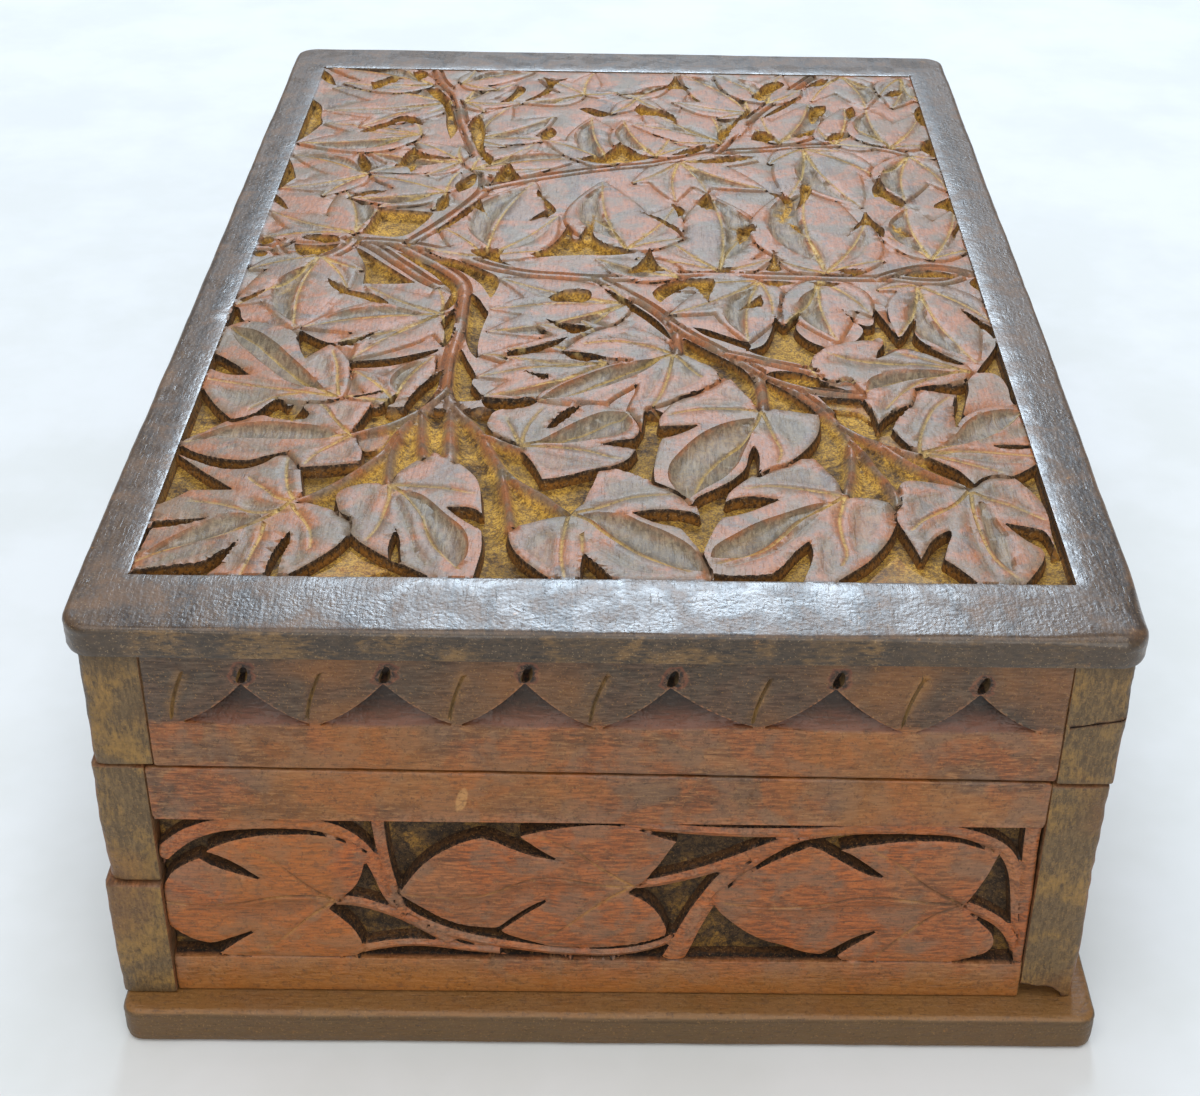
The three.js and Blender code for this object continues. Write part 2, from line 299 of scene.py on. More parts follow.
def far_leaf(J, tips, seed):
    L = [math.hypot(t[0] - J[0], t[1] - J[1]) for t in tips]
    k = int(np.argmax(L))
    outlines, veins, hollows = [], [], []
    for i, t in enumerate(tips):
        bend = 0.05 * (1 if (i + seed) % 2 else -1)
        outlines.append(lobe(J, t, 0.27 if i == k else 0.25, bend))
        a = np.array(J[:2], float)
        d = np.array(t[:2], float) - a
        nn = np.array([-d[1], d[0]])
        q = [tuple(a + d * f + nn * bend * math.sin(math.pi * f)) for f in (0.04, 0.3, 0.55, 0.8, 0.97)]
        veins.append(q)
        if L[i] > 7:
            wd = 0.17 if i == k else 0.11
            sd = 1 if (i + seed) % 2 else -1
            a1 = [tuple(a + d * f + nn * (bend * math.sin(math.pi * f) + sd * wd * math.sin(math.pi * f)))
                  for f in (0.28, 0.5, 0.72)]
            a2 = [tuple(a + d * f + nn * (bend * math.sin(math.pi * f) + sd * 0.012)) for f in (0.72, 0.5, 0.28)]
            p0 = tuple(a + d * 0.1) + (1,)
            p1 = tuple(a + d * 0.94) + (1,)
            hollows.append(([p0] + a1 + [p1] + a2, 0.8 if i == k else 0.35))
    return outlines, veins, hollows


class Carving:
    """the cuts of one carved face, in the order they are made"""

    def __init__(self):
        self.ops = []

    def leaf(self, outlines, veins, hollows, step=0.45, **kw):
        self.ops.append(("leaf", outlines, veins, hollows, step, kw))

    def pocket(self, c, step=0.5, **kw):
        self.ops.append(("pocket", c, step, kw))

    def stem(self, line, w0, w1, step=0.5, **kw):
        self.ops.append(("stem", line, w0, w1, step, kw))

    def apply(self, R):
        for op in self.ops:
            if op[0] == "leaf":
                R.leaf(op[1], op[2], op[3], **op[5])
            elif op[0] == "pocket":
                R.pocket(op[1], **op[3])
            else:
                R.stem(op[1], op[2], op[3], **op[5])

    def lines(self):
        """the lines that the cuts make: (points, closed, rank, whether the mesh keeps it as an edge)"""
        out = []

        def ring(c, offsets, step):
            p, n, _ = evenly(c, step)
            s = 1.0 if area(c) > 0 else -1.0
            for o, rank, keep in offsets:
                out.append((p - n * s * o, True, rank, keep))

        for op in self.ops:
            if op[0] == "leaf":
                for c in op[1]:
                    ring(c, ((0.0, 0, True), (0.42, 1, True), (-0.35, 2, False)), op[4])
                for v in op[2]:
                    p, n, _ = evenly(curve(v, False, 0.8), op[4] * 1.3, False)
                    out += [(p, False, 1, True), (p + n * 0.38, False, 2, False), (p - n * 0.38, False, 2, False)]
                for c, _ in op[3]:
                    ring(curve(c), ((0.0, 1, True), (-0.7, 2, False)), op[4] * 1.3)
            elif op[0] == "pocket":
                ring(op[1], ((0.0, 0, True), (-0.40, 1, True)), op[2])
            else:
                p, n, t = evenly(op[1], op[4], False)
                hw = (0.5 * (op[2] + (op[3] - op[2]) * t))[:, None]
                out.append((p, False, 1, True))
                for o in (0.0,) + tuple(op[5].get("rows", (0.45,))):
                    out += [(p + n * (hw + o), False, 1, o == 0), (p - n * (hw + o), False, 1, o == 0)]
        return out


def net(chains, cell, inside):
    """points of the cut lines with the close ones left out, and the edges that join what stays of each line"""
    chains = sorted(chains, key=lambda c: c[2])
    P = np.vstack([c[0] for c in chains])
    ok = np.nonzero(inside(P))[0]
    key = np.round(P[ok] / cell).astype(np.int64)
    _, k = np.unique(key[:, 0] * 10000019 + key[:, 1], return_index=True)
    kept = np.sort(ok[k])
    place = np.full(len(P), -1)
    place[kept] = np.arange(len(kept))
    edges, at = [], 0
    for pts, closed, _, keep in chains:
        n = len(pts)
        if keep:
            q = place[at:at + n]
            i = np.nonzero(q >= 0)[0]
            edges += [(int(q[a]), int(q[b])) for a, b in zip(i[:-1], i[1:]) if b - a <= 2]
            if closed and len(i) > 2 and i[0] + n - i[-1] <= 2:
                edges.append((int(q[i[-1]]), int(q[i[0]])))
        at += n
    return P[kept], edges


def scatter(x0, x1, y0, y1, step, seed, busy=None, clear=0.4):
    """an uneven grid, left out where other points are close"""
    nx, ny = max(1, int(round((x1 - x0) / step))), max(1, int(round((y1 - y0) / step)))
    X, Y = np.meshgrid(x0 + (np.arange(nx) + 0.5) * (x1 - x0) / nx, y0 + (np.arange(ny) + 0.5) * (y1 - y0) / ny)
    X = X + (np.arange(ny)[:, None] % 2 - 0.5) * 0.5 * step
    rng = np.random.default_rng(seed)
    P = np.stack([X.ravel(), Y.ravel()], 1) + rng.uniform(-0.18, 0.18, (X.size, 2)) * step
    if busy is not None and len(busy):
        cell = clear
        b = np.floor(busy / cell).astype(np.int64)
        keys = np.unique(np.concatenate([(b[:, 0] + i) * 1000003 + b[:, 1] + j for i in (-1, 0, 1) for j in (-1, 0, 1)]))
        q = np.floor(P / cell).astype(np.int64)
        P = P[~np.isin(q[:, 0] * 1000003 + q[:, 1], keys)]
    return P


def rounded(x0, x1, y0, y1, r, sx, sy):
    """a rectangle with rounded corners, anticlockwise, as even points"""
    out = []
    na = max(2, int(round(r * 1.57 / 0.6))) if r > 0 else 1

    def side(a, b, s):
        n = max(1, int(round(math.hypot(b[0] - a[0], b[1] - a[1]) / s)))
        for i in range(n):
            out.append((a[0] + (b[0] - a[0]) * i / n, a[1] + (b[1] - a[1]) * i / n))

    def corner(cx, cy, a0):
        for i in range(na):
            a = math.radians(a0 + 90 * i / na)
            out.append((cx + r * math.cos(a), cy + r * math.sin(a)))

    side((x0 + r, y0), (x1 - r, y0), sx)
    if r > 0:
        corner(x1 - r, y0 + r, -90)
    side((x1, y0 + r), (x1, y1 - r), sy)
    if r > 0:
        corner(x1 - r, y1 - r, 0)
    side((x1 - r, y1), (x0 + r, y1), sx)
    if r > 0:
        corner(x0 + r, y1 - r, 90)
    side((x0, y1 - r), (x0, y0 + r), sy)
    if r > 0:
        corner(x0 + r, y0 + r, 180)
    return np.array(out)


def inset(B, d):
    """the outline moved inwards by d"""
    a, b = np.roll(B, 1, 0), np.roll(B, -1, 0)
    t = b - a
    t /= np.maximum(np.hypot(t[:, 0], t[:, 1]), 1e-9)[:, None]
    return B + np.stack([-t[:, 1], t[:, 0]], 1) * np.asarray(d).reshape(-1, 1)


def triangles(B, P, E=(), check=False):
    """triangles over the boundary B and the points P inside it, with the edges E between those points"""
    pts = [Vector((float(a), float(b))) for a, b in np.vstack([B, P])] if len(P) else [Vector(map(float, a)) for a in B]
    n = len(B)
    edges = [(i, (i + 1) % n) for i in range(n)] + [(n + a, n + b) for a, b in E]
    v, _, f, ov, _, _ = delaunay_2d_cdt(pts, edges, [], 1, 1e-4, True)
    V = np.array([(a[0], a[1]) for a in v])
    src = np.array([min(o) if o else -1 for o in ov])
    F = np.array([list(t) for t in f if len(t) == 3], int)
    a, b, c = V[F[:, 0]], V[F[:, 1]], V[F[:, 2]]
    cr = (b[:, 0] - a[:, 0]) * (c[:, 1] - a[:, 1]) - (b[:, 1] - a[:, 1]) * (c[:, 0] - a[:, 0])
    F[cr < 0] = F[cr < 0][:, ::-1]
    F = F[np.abs(cr) > 1e-12]
    if check:
        F = F[signed(B, *V[F].mean(1).T) < 0]
    rank = np.full(len(B), -1)
    for i, s in enumerate(src):
        if 0 <= s < n:
            rank[s] = i
    return V, F, rank


def arris(d, r):
    """how far a face drops at distance d from an edge rounded to r"""
    q = np.clip(r - d, 0, r)
    return r - np.sqrt(np.maximum(r * r - q * q, 0))


def make_mesh(name, V, faces, attrs, body, nodes, angle=38):
    me = bpy.data.meshes.new(name)
    me.from_pydata((V * MM).tolist(), [], faces)
    me.update()
    for k, a in attrs.items():
        at = me.attributes.new(k, "FLOAT", "POINT")
        at.data.foreach_set("value", np.asarray(a, np.float32))
    me.shade_smooth()
    me.set_sharp_from_angle(angle=math.radians(angle))
    me.validate()
    ob = bpy.data.objects.new(name, me)
    bpy.context.scene.collection.objects.link(ob)
    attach(ob, body)
    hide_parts(*nodes)
    return ob


def board(name, body, node, place, outline, P, height, T, r_back=0.5, rings=None, post=None,
          rough=0.06, edge_r=1.0, seed=1, angle=38, E=()):
    """A board with one worked face. place is (origin, across, up, out); height(points) gives the face's
    drop in mm and its masks. The sides run down from the outline to a plain back."""
    V2, F, rank = triangles(outline, P, E)
    n = len(outline)
    H, attrs = height(V2)
    H = H.copy()
    if rings is None:
        k = max(2, int(round((T - edge_r - r_back) / 2.0)))
        rings = list(np.linspace(edge_r, T - r_back, k + 1)[1:])
    side_h, side_p = [], []
    u = np.arange(n)
    for q, t in enumerate(rings):
        ins = np.abs(noise(u * 1.0, np.full(n, q * 7.0), 5.0, seed + 3)) * rough
        side_p.append(inset(outline, ins))
        side_h.append(-np.maximum(float(t), 0.12 * (q + 1) - H[rank]))
    for f in (0.45, 1.0):
        a = f * math.pi / 2
        side_p.append(inset(outline, r_back * (1 - math.cos(a)) + 0.02))
        side_h.append(np.full(n, -(T - r_back + r_back * math.sin(a))))
    base = len(V2)
    allp = np.vstack([V2] + side_p)
    allh = np.concatenate([H] + side_h)
    faces = F.tolist()
    prev = list(rank)
    for q in range(len(side_p)):
        cur = list(range(base + q * n, base + (q + 1) * n))
        for i in range(n):
            j = (i + 1) % n
            faces.append([prev[j], prev[i], cur[i], cur[j]])
        prev = cur
    VB, FB, rb = triangles(side_p[-1], inset(side_p[-1][::3], 0.9), (), True)
    back = {int(rb[i]): prev[i] for i in range(n)}
    more = [i for i in range(len(VB)) if i not in back]
    back.update({i: len(allp) + k for k, i in enumerate(more)})
    allp = np.vstack([allp, VB[more]])
    allh = np.concatenate([allh, np.full(len(more), -float(T))])
    faces += [[back[c], back[b], back[a]] for a, b, c in FB.tolist()]
    O, U, W, N = (np.array(a, float) for a in place)
    V = O + allp[:, :1] * U + allp[:, 1:] * W + allh[:, None] * N
    extra = len(V) - len(V2)
    # how much lower or higher a place is than what is round it
    E = np.vstack([F[:, [0, 1]], F[:, [1, 2]], F[:, [2, 0]]])
    E = np.vstack([E, E[:, ::-1]])
    m = len(V2)
    deg = np.maximum(np.bincount(E[:, 0], minlength=m), 1)
    B1 = H.copy()
    for k in range(5):
        B1 = 0.4 * B1 + 0.6 * np.bincount(E[:, 0], weights=B1[E[:, 1]], minlength=m) / deg
    B2 = B1.copy()
    for k in range(14):
        B2 = 0.3 * B2 + 0.7 * np.bincount(E[:, 0], weights=B2[E[:, 1]], minlength=m) / deg
    attrs = dict(attrs)
    attrs["edge"] = np.clip((H - B1) * 2.2, -1, 1)
    attrs["dip"] = np.clip(B2 - H, -1, 2.5)
    attrs = {k: np.concatenate([a, np.full(extra, 1.0 if k == "frame" else 0.0)]) for k, a in attrs.items()}
    if post is not None:
        V = post(V)
    return make_mesh(name, V, faces, attrs, body, [node], angle)


def box_mm(node):
    lo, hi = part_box(node)
    return np.array(lo) / MM, np.array(hi) / MM
# lid panel, millimetres, seen from above; a third number 1 marks a sharp corner
# leaves: o outline, v engraved veins, h hollows [(outline, depth)]
NEAR=[
 dict(n='A',o=[(-47.6,-86.9,1),(-44,-88.4),(-41.1,-90.0,1),(-39.2,-91.8),(-38.7,-93.2),(-38.9,-95.8,1),(-40.5,-99.5),(-43.2,-103.3),(-46.9,-107.6,1),(-69.6,-107.6,1),(-69.6,-88.8,1),(-67,-86.5),(-64.9,-84.0,1),(-58.2,-83.8,1),(-60.5,-81.6),(-64,-78.3),(-68.9,-73.2,1),(-65.5,-75.3),(-62.5,-77.0),(-58.5,-77.6),(-55.5,-76.3),(-53.2,-73.5),(-51.6,-71.3,1),(-50,-73),(-49.1,-75.6,1),(-48.6,-79),(-47.4,-84.9,1)],
  v=[[(-49.2,-87.6),(-50.3,-89.8),(-53,-92.8),(-57.5,-96.3),(-61,-98.3),(-65,-100.7),(-69,-103.8)],[(-50,-89.2),(-51.5,-90.1),(-54,-90.4),(-56.5,-89.3),(-60,-88),(-64,-87.3)],[(-49,-87),(-51.5,-85.8),(-53,-84),(-55,-82),(-56.5,-80.3)],[(-52,-93.5),(-52,-97),(-52.5,-101),(-53.3,-107)],[(-48.6,-88),(-48,-89.5),(-46.2,-92.5),(-44.7,-96),(-44.2,-100)],[(-48.6,-86.5),(-50,-83),(-51,-78),(-51.3,-74)]],
  h=[([(-52.3,-91.3,1),(-57,-90.6),(-61,-93),(-66,-98.3),(-69,-103.3,1),(-65,-100.6),(-60,-97.8),(-56.5,-95.4)],.85),([(-50.6,-88.4,1),(-53,-87),(-55.5,-86.2),(-56.6,-88.6),(-54,-89.9)],.55),([(-59,-99),(-63,-101.2),(-67,-103.8),(-62,-103.2),(-58.3,-101)],.25),([(-54,-95),(-54.8,-99),(-56.5,-104),(-54.5,-106.5),(-53,-101)],.3),([(-47,-93),(-45.2,-98),(-44.8,-103),(-46.5,-105),(-46.9,-98)],.3)]),
 dict(n='C',o=[(-35.2,-81.3,1),(-38.5,-81.6),(-41.3,-83.1),(-42.2,-85.2),(-41.7,-87.8),(-41.1,-90.0,1),(-39.1,-91.9),(-38.7,-95.7,1),(-36.8,-98.3),(-32.4,-102.4,1),(-30.2,-103.8,1),(-28,-105.4),(-25.2,-107.6,1),(-19.6,-107.6,1),(-19.2,-103.5),(-18.85,-99.5),(-19.2,-94.4,1),(-21.6,-92.3),(-23.6,-90.1),(-25.0,-88.1,1),(-22.3,-87.9),(-20.5,-88.5),(-19.4,-89.8,1),(-19.8,-86),(-20.2,-82.5),(-21.1,-79.3),(-23.2,-76),(-25.7,-73.3),(-28.2,-71.8,1),(-30.2,-73.6),(-32.5,-76.7),(-33.9,-79.2,1),(-34.3,-81,1)],
  v=[[(-34.3,-82),(-32,-84.3),(-30,-87.5),(-28.3,-91),(-27.5,-94.5),(-26,-98.8),(-23.5,-102.5),(-22,-104.8)],[(-34.3,-82.5),(-34.0,-85.5),(-34.2,-88.5),(-34.9,-94),(-36.2,-97.6)],[(-33.6,-82.0),(-30,-82.3),(-26,-82.6),(-22,-83.8)]],
  h=[([(-32.6,-83.5,1),(-29,-84.8),(-25,-90),(-21.5,-95),(-20.8,-101),(-22.3,-104.8,1),(-25.5,-99.2),(-27.3,-94.5),(-28.6,-90.7),(-30.6,-86.7)],.85),([(-33.8,-84.5,1),(-32.4,-86.3),(-30.4,-90.5),(-29.3,-96),(-27.8,-100.5),(-26.4,-104.3),(-28.8,-102),(-30.3,-96),(-32.3,-91)],.45),([(-36,-83),(-38.5,-84),(-39.5,-88),(-38,-92),(-36.3,-90)],.25)]),
 dict(n='D',o=[(-6.6,-90.2,1),(-9.5,-91.1),(-12.7,-92.7),(-14.7,-93.4,1),(-15.0,-96),(-13.9,-100),(-11.5,-103.7),(-8.0,-107.6,1),(14.9,-107.9,1),(15.1,-105.0),(14.1,-100.2,1),(12.5,-96.7),(11.3,-93.9,1),(10.4,-93.0),(7.5,-92.0),(5.4,-90.7),(3.5,-89.0,1),(6,-88.2),(9.3,-87.9),(12.2,-88.4),(13.9,-89.5,1),(13.4,-86.5,1),(11.8,-83.6),(9.5,-81.6),(6.5,-79.6),(3.2,-77.2),(0.0,-75.7,1),(-1.7,-76.0,1),(-2.5,-80.5),(-3.4,-84),(-3.9,-86.6,1),(-5.4,-88.6,1)],
  v=[[(-5.6,-89.8),(-3,-91.5),(-1,-94.3),(1.8,-97.7),(5,-101),(8.3,-103.2),(12,-105.2)],[(-6.1,-90),(-6.6,-94),(-6.9,-98),(-6.9,-102),(-6.3,-106.8)],[(-4.0,-95.5),(-3.8,-100)],[(-5.2,-89.4),(-1.2,-87.5),(0.8,-86.2),(3.2,-84.8),(6.3,-84.0),(9.8,-83.6)]],
  h=[([(-4.4,-89.9,1),(-1,-89.0),(2.5,-89.7),(5,-91.8),(9,-94.6),(12.2,-98),(13.8,-102),(14.0,-105.2,1),(10.5,-104.3),(6.5,-101.8),(3,-98.6),(0,-95),(-2.5,-91.4)],.95),([(-9,-94),(-12.3,-96.5),(-12.6,-100),(-10,-103.2),(-8.2,-105),(-7.6,-99)],.4),([(-3.2,-97),(0,-98.5),(3,-101.5),(6,-104),(9,-105.8),(4,-105.5),(1.5,-103.5)],.35),([(0.5,-84.8),(4,-83.2),(7,-81.8),(3,-79.5),(-0.6,-78.5),(-1.2,-82)],.2)]),
 dict(n='F',o=[(37.0,-83.3,1),(38.5,-83.9,1),(41.2,-84.3),(43.9,-85.6,1),(44.3,-88),(44.0,-90.6,1),(42.7,-94.7),(40.8,-98.5),(38.3,-102.2),(35.5,-105.1),(32.8,-107.8,1),(15.2,-107.9,1),(15.2,-104.0,1),(14.2,-100.0,1),(15.1,-96.4),(16.4,-92.3),(17.5,-90.1,1),(19.8,-89.3),(22.2,-88.0),(24.4,-86.4),(26.6,-84.8,1),(24.3,-84.2),(21.5,-83.9),(19.2,-84.6),(18.0,-85.5,1),(18.7,-83),(20.3,-80.5),(22.3,-78.1),(24.9,-75.6),(28.0,-73.8,1),(30.4,-72.5),(32.7,-72.3,1),(34.2,-75.5),(35.9,-79.5),(36.6,-82.3,1)],
  v=[[(36.2,-84.2),(33.5,-86.9),(30,-89.8),(28.3,-92),(26.5,-95),(24.2,-98.2),(22.3,-99.9),(19.8,-101),(16.5,-102.6)],[(36.6,-84),(36.0,-87),(35.2,-91),(35.3,-96),(35.6,-100),(34.6,-103)],[(36,-83.5),(32,-82.3),(28,-81.3),(25,-80.9),(22.0,-81.6)]],
  h=[([(35.0,-85.4,1),(31.5,-86.2),(27.5,-88.4),(23,-91.2),(19.3,-94.5),(16,-98),(15.2,-101.2,1),(18.5,-101.3),(21.7,-100),(24.3,-97.5),(26.8,-93.7),(28.8,-90.8),(32,-87.8)],1.0),([(33.6,-87.8,1),(30.9,-92),(28.7,-95.8),(25.5,-99.3),(21.5,-102),(16.8,-103.4),(20,-101.5),(23.5,-99.4),(26.2,-96.2),(28.5,-92.6),(30.8,-89.8)],.5),([(38,-86),(41.5,-86.5),(42,-90),(40,-95.5),(37.3,-100),(36.6,-93)],.3),([(31.5,-97),(33.5,-95),(34.2,-100),(33,-105.5),(31,-103)],.3),([(23,-80),(27,-79.8),(32,-80.8),(34.5,-81.5),(33,-76.5),(30,-75.2),(26,-76.8)],.22)]),
 dict(n='H',o=[(56.4,-80.6,1),(53.2,-79.8),(50,-78.9),(46.8,-78.7),(45.6,-80.3),(45.0,-84),(44.3,-87.8),(44.1,-90.6,1),(44.9,-93.8),(45.8,-97.5),(46.5,-101.0,1),(47.4,-98.8),(48.7,-96.0),(50.3,-94.1),(52.0,-92.8,1),(51.9,-94.5),(51.0,-97.2),(50.0,-101.0,1),(51.8,-103.3),(54.4,-107.7,1),(60.7,-107.7,1),(62.6,-104.8),(64.4,-101.6),(65.2,-99.3,1),(65.0,-97.7,1),(63.0,-95.4),(61.5,-92.9),(60.3,-90.5,1),(62.6,-91.2),(65.3,-92.1),(66.4,-93.1),(67.0,-97.1,1),(67.2,-93),(67.5,-89),(67.2,-84.6),(66.2,-81.6),(64.9,-78.8),(63.6,-76.7,1),(61.5,-76.3),(59.5,-77.3),(57.6,-79.6,1)],
  v=[[(56.3,-81.5),(54.5,-84.5),(53,-86.3),(50,-88.8),(48,-90.5),(46.3,-93)],[(56.6,-81.8),(56.2,-87),(56.3,-91),(56.6,-95),(57.0,-99),(58,-102),(59.8,-105.2)],[(56.9,-82.0),(59.5,-84.2),(62,-85.5),(64.5,-87.5),(66.8,-89.5)]],
  h=[([(57.4,-84.3,1),(59,-86.3),(59.6,-90.5),(60.6,-94),(60.6,-99),(60.4,-104.6,1),(59.0,-103.3),(57.4,-99.5),(56.9,-94),(56.7,-89)],.8),([(55.9,-84.5,1),(54.7,-90),(54.7,-96),(55.4,-102),(57.2,-105.5),(57.3,-102),(56.3,-96),(55.9,-90)],.35),([(50,-82),(53,-82),(53.5,-84.5),(50,-87),(47,-89.5),(46.5,-84)],.25),([(60,-79),(63,-79.5),(65.5,-84),(66,-87.5),(62.5,-84.4),(59,-82.2)],.25),([(48.3,-91.5),(51.5,-88.8),(53,-90.5),(50,-93),(47.3,-96)],.3)]),
 dict(n='B',o=[(-41.6,-66.2,1),(-40.9,-68.8),(-39.9,-71.5),(-39.7,-75.2,1),(-44,-76.0),(-49.0,-76.7,1),(-50.0,-74.3),(-51.6,-71.9,1),(-54.8,-73.3),(-57.3,-74.7),(-60,-74.7),(-63.5,-73.8),(-66.8,-72.2),(-69.4,-69.6,1),(-66.8,-66.4),(-64.3,-63.6),(-62.2,-61.9,1),(-60.2,-60.9),(-57.5,-60.2,1),(-54,-61.6),(-50.3,-61.2,1),(-50.0,-59.5),(-51.2,-57.2),(-50.2,-55.4,1),(-45.5,-54.9),(-40.1,-55.5,1),(-40.7,-59),(-41.9,-63.9,1)],
  v=[[(-42.2,-66.5),(-43.8,-64.3),(-46,-60.5),(-47.8,-57.2),(-49.2,-55.9)],[(-43,-66.6),(-48,-67.6),(-53,-67.9),(-58,-67.6),(-63,-67.6),(-68.5,-69.2)],[(-42.6,-67.2),(-45,-70),(-47,-72.6),(-48.4,-75.6)]],
  h=[([(-44.3,-66.4,1),(-47,-64),(-52,-62.9),(-57,-62.4),(-62,-63.7),(-65.5,-66.3),(-68.6,-69.1,1),(-64,-68.2),(-58,-68),(-52,-68.2),(-47,-67.7)],.9),([(-44.2,-62),(-42.5,-58),(-42.3,-56.3),(-46.2,-57),(-46,-59)],.25),([(-46,-69.5),(-51,-70),(-57,-70),(-62,-70.5),(-58,-73),(-53,-71.8),(-50,-71.5)],.25),([(-42,-69.5),(-41,-73.5),(-45,-75),(-46.7,-73.5),(-44,-70.5)],.25)]),
 dict(n='G',o=[(25.2,-56.3,1),(27.5,-56.1),(31,-57.1),(34.4,-57.9,1),(34.5,-60.5),(33.8,-64.5),(32.3,-68),(30.3,-71.2),(28.3,-73.7,1),(25.6,-75.2),(23.5,-77.3,1),(23.9,-74),(23.9,-70.5),(23.2,-67.8,1),(22.3,-71),(21.5,-75.3),(19.5,-78.7),(16.5,-81.7),(13.9,-84),(12.8,-86.3,1),(11.5,-83.6),(9.4,-81.5),(7.1,-79.9,1),(7.0,-76),(7.4,-72),(7.9,-68.5),(8.4,-66.3,1),(10.6,-65.2),(12.8,-63.5),(14.7,-61.5,1),(11.8,-61.9),(8.0,-62.2,1),(8.0,-60),(8.9,-57.4),(10.2,-54.8),(11.8,-52,1),(14.5,-50.3),(16.5,-48.2),(18.3,-46.2,1),(20.4,-45.9,1),(21.8,-49.5),(23.5,-53),(24.7,-56.3,1)],
  v=[[(24.9,-57.3),(24.0,-61),(22.5,-64.5),(20.5,-67.8),(17.5,-72),(14.8,-77),(13.1,-83.5)],[(25.2,-57.6),(26.0,-62),(26.8,-66),(27.6,-70),(26.8,-73.6)],[(24.6,-57),(20,-56.4),(15,-56.6),(9.6,-58.6)]],
  h=[([(23.8,-59.3,1),(21,-60),(17.8,-61.7),(14.5,-65),(11.5,-70),(9.4,-75),(9.5,-80),(12.3,-85,1),(14.5,-82.2),(18,-78.5),(20.3,-74.5),(21.6,-70),(22.8,-65.5)],1.0),([(27,-59),(31.5,-60),(32.3,-64),(30,-69),(28.8,-68)],.25),([(21,-54.5),(17,-52),(13.5,-54),(11,-56.6),(16,-55.3)],.25),([(22,-50),(19.5,-48.5),(17.5,-50.5),(20,-53.5),(23,-55)],.2)]),
 dict(n='M',o=[(10.5,-36.0,1),(12.4,-36.9,1),(15,-39.3),(17.3,-41.8),(18.5,-44.4,1),(18.3,-46.1,1),(16.4,-48.3),(14.2,-50.4),(11.7,-51.9,1),(9.5,-54.1),(7.5,-55.3),(5.9,-55.9,1),(5.35,-58),(5.2,-61),(4.9,-63.5,1),(3.9,-61),(2.7,-57.4,1),(3.3,-54),(4.2,-50.5),(4.4,-47.4,1),(3.0,-49.4),(1.2,-51.5),(-0.2,-53.5),(-1.3,-55.7,1),(-3.2,-55.5),(-5.2,-55.4,1),(-8,-56),(-10.5,-55.7),(-12.6,-54.4,1),(-12.3,-52.2),(-9.6,-48.8),(-6.5,-45.8),(-3.4,-43.0),(0,-40.8),(3.5,-39.3),(1,-38.6),(-1.2,-38.4,1),(-4,-36.8),(-8.8,-36.2,1),(-7.5,-34),(-5.5,-31),(-2.5,-28),(1,-26.3),(5,-27.5),(8.2,-30.5),(9.8,-33.5)],
  v=[[(10.2,-37),(7,-39.2),(3,-42.2),(-1,-45.8),(-5,-49.3),(-9,-52.4),(-12,-54.1)],[(10.5,-37.3),(10,-42),(9.3,-47),(8.3,-51.5),(6.2,-58),(5.2,-62)],[(11,-37.3),(13,-41),(15.3,-45)],[(9.8,-36.2),(5,-33.4),(0,-32.2),(-5,-33.3)]],
  h=[([(8.8,-38.3,1),(4,-39.6),(-1,-42.2),(-5,-45.4),(-9,-49.2),(-12.1,-53.8,1),(-8,-53.2),(-4,-51),(0.5,-48),(5.5,-43.3)],.95),([(-3,-52.4),(1.5,-48.8),(4.2,-46),(2.5,-48.6),(-0.8,-52.8),(-3,-54.3)],.2),([(8.8,-42),(8,-47),(6.5,-52),(5.4,-53.6),(5.6,-48),(7,-43)],.35),([(12,-40),(15.5,-42.5),(15.5,-46),(12,-49.5),(10.2,-50),(11.3,-45)],.25),([(6,-31),(2,-28.8),(-2.5,-30.5),(-5,-32.2),(0,-31.3),(5,-32.6)],.3)]),
 dict(n='I',o=[(-15.4,-68.3,1),(-17.6,-66.9),(-19.3,-64.8),(-20.4,-62.5,1),(-20.2,-60.3),(-19.6,-58.4,1),(-18.4,-57.4),(-16,-57.0),(-13.8,-56.1),(-12.5,-54.8,1),(-10,-55.5),(-7.5,-55.9),(-5.0,-55.5,1),(-3,-55.4),(-1.2,-55.7,1),(0.4,-56.6),(2.7,-57.5,1),(4.0,-61),(4.6,-64),(3.7,-66.6,1),(0.5,-67.4),(-1.8,-68.5,1),(1.3,-69.3),(4.1,-69.9,1),(3.5,-71.6),(2.6,-73.4),(0.0,-75.4,1),(-3,-76.3),(-6,-77.8),(-8.5,-78.9),(-10.6,-79.5,1),(-11.4,-77),(-12.8,-73.5),(-14.4,-70.5,1)],
  v=[[(-14.6,-69),(-10,-67.3),(-6,-65.3),(-2.5,-62.5),(0.5,-60),(3.2,-58.6)],[(-14.4,-68.2),(-14,-64),(-12.8,-60),(-11.5,-56.8)],[(-14.3,-69.4),(-9,-69.6),(-4,-70.6),(0,-72.6),(2,-73.2)],[(-15,-68),(-16,-64.5),(-17.3,-60.5)]],
  h=[([(-12.3,-68.3,1),(-9,-64.8),(-5.5,-61),(-1.5,-58),(2.2,-58,1),(3.6,-61.5),(2,-65),(-2,-66.9),(-7,-68.3)],.9),([(-12.8,-66),(-12.6,-61),(-10.5,-57.5),(-8.3,-57.2),(-10.5,-61.5)],.3),([(-12.6,-71),(-8,-71.5),(-4,-73.2),(-1,-75),(-6,-76),(-10,-76.8)],.3)]),
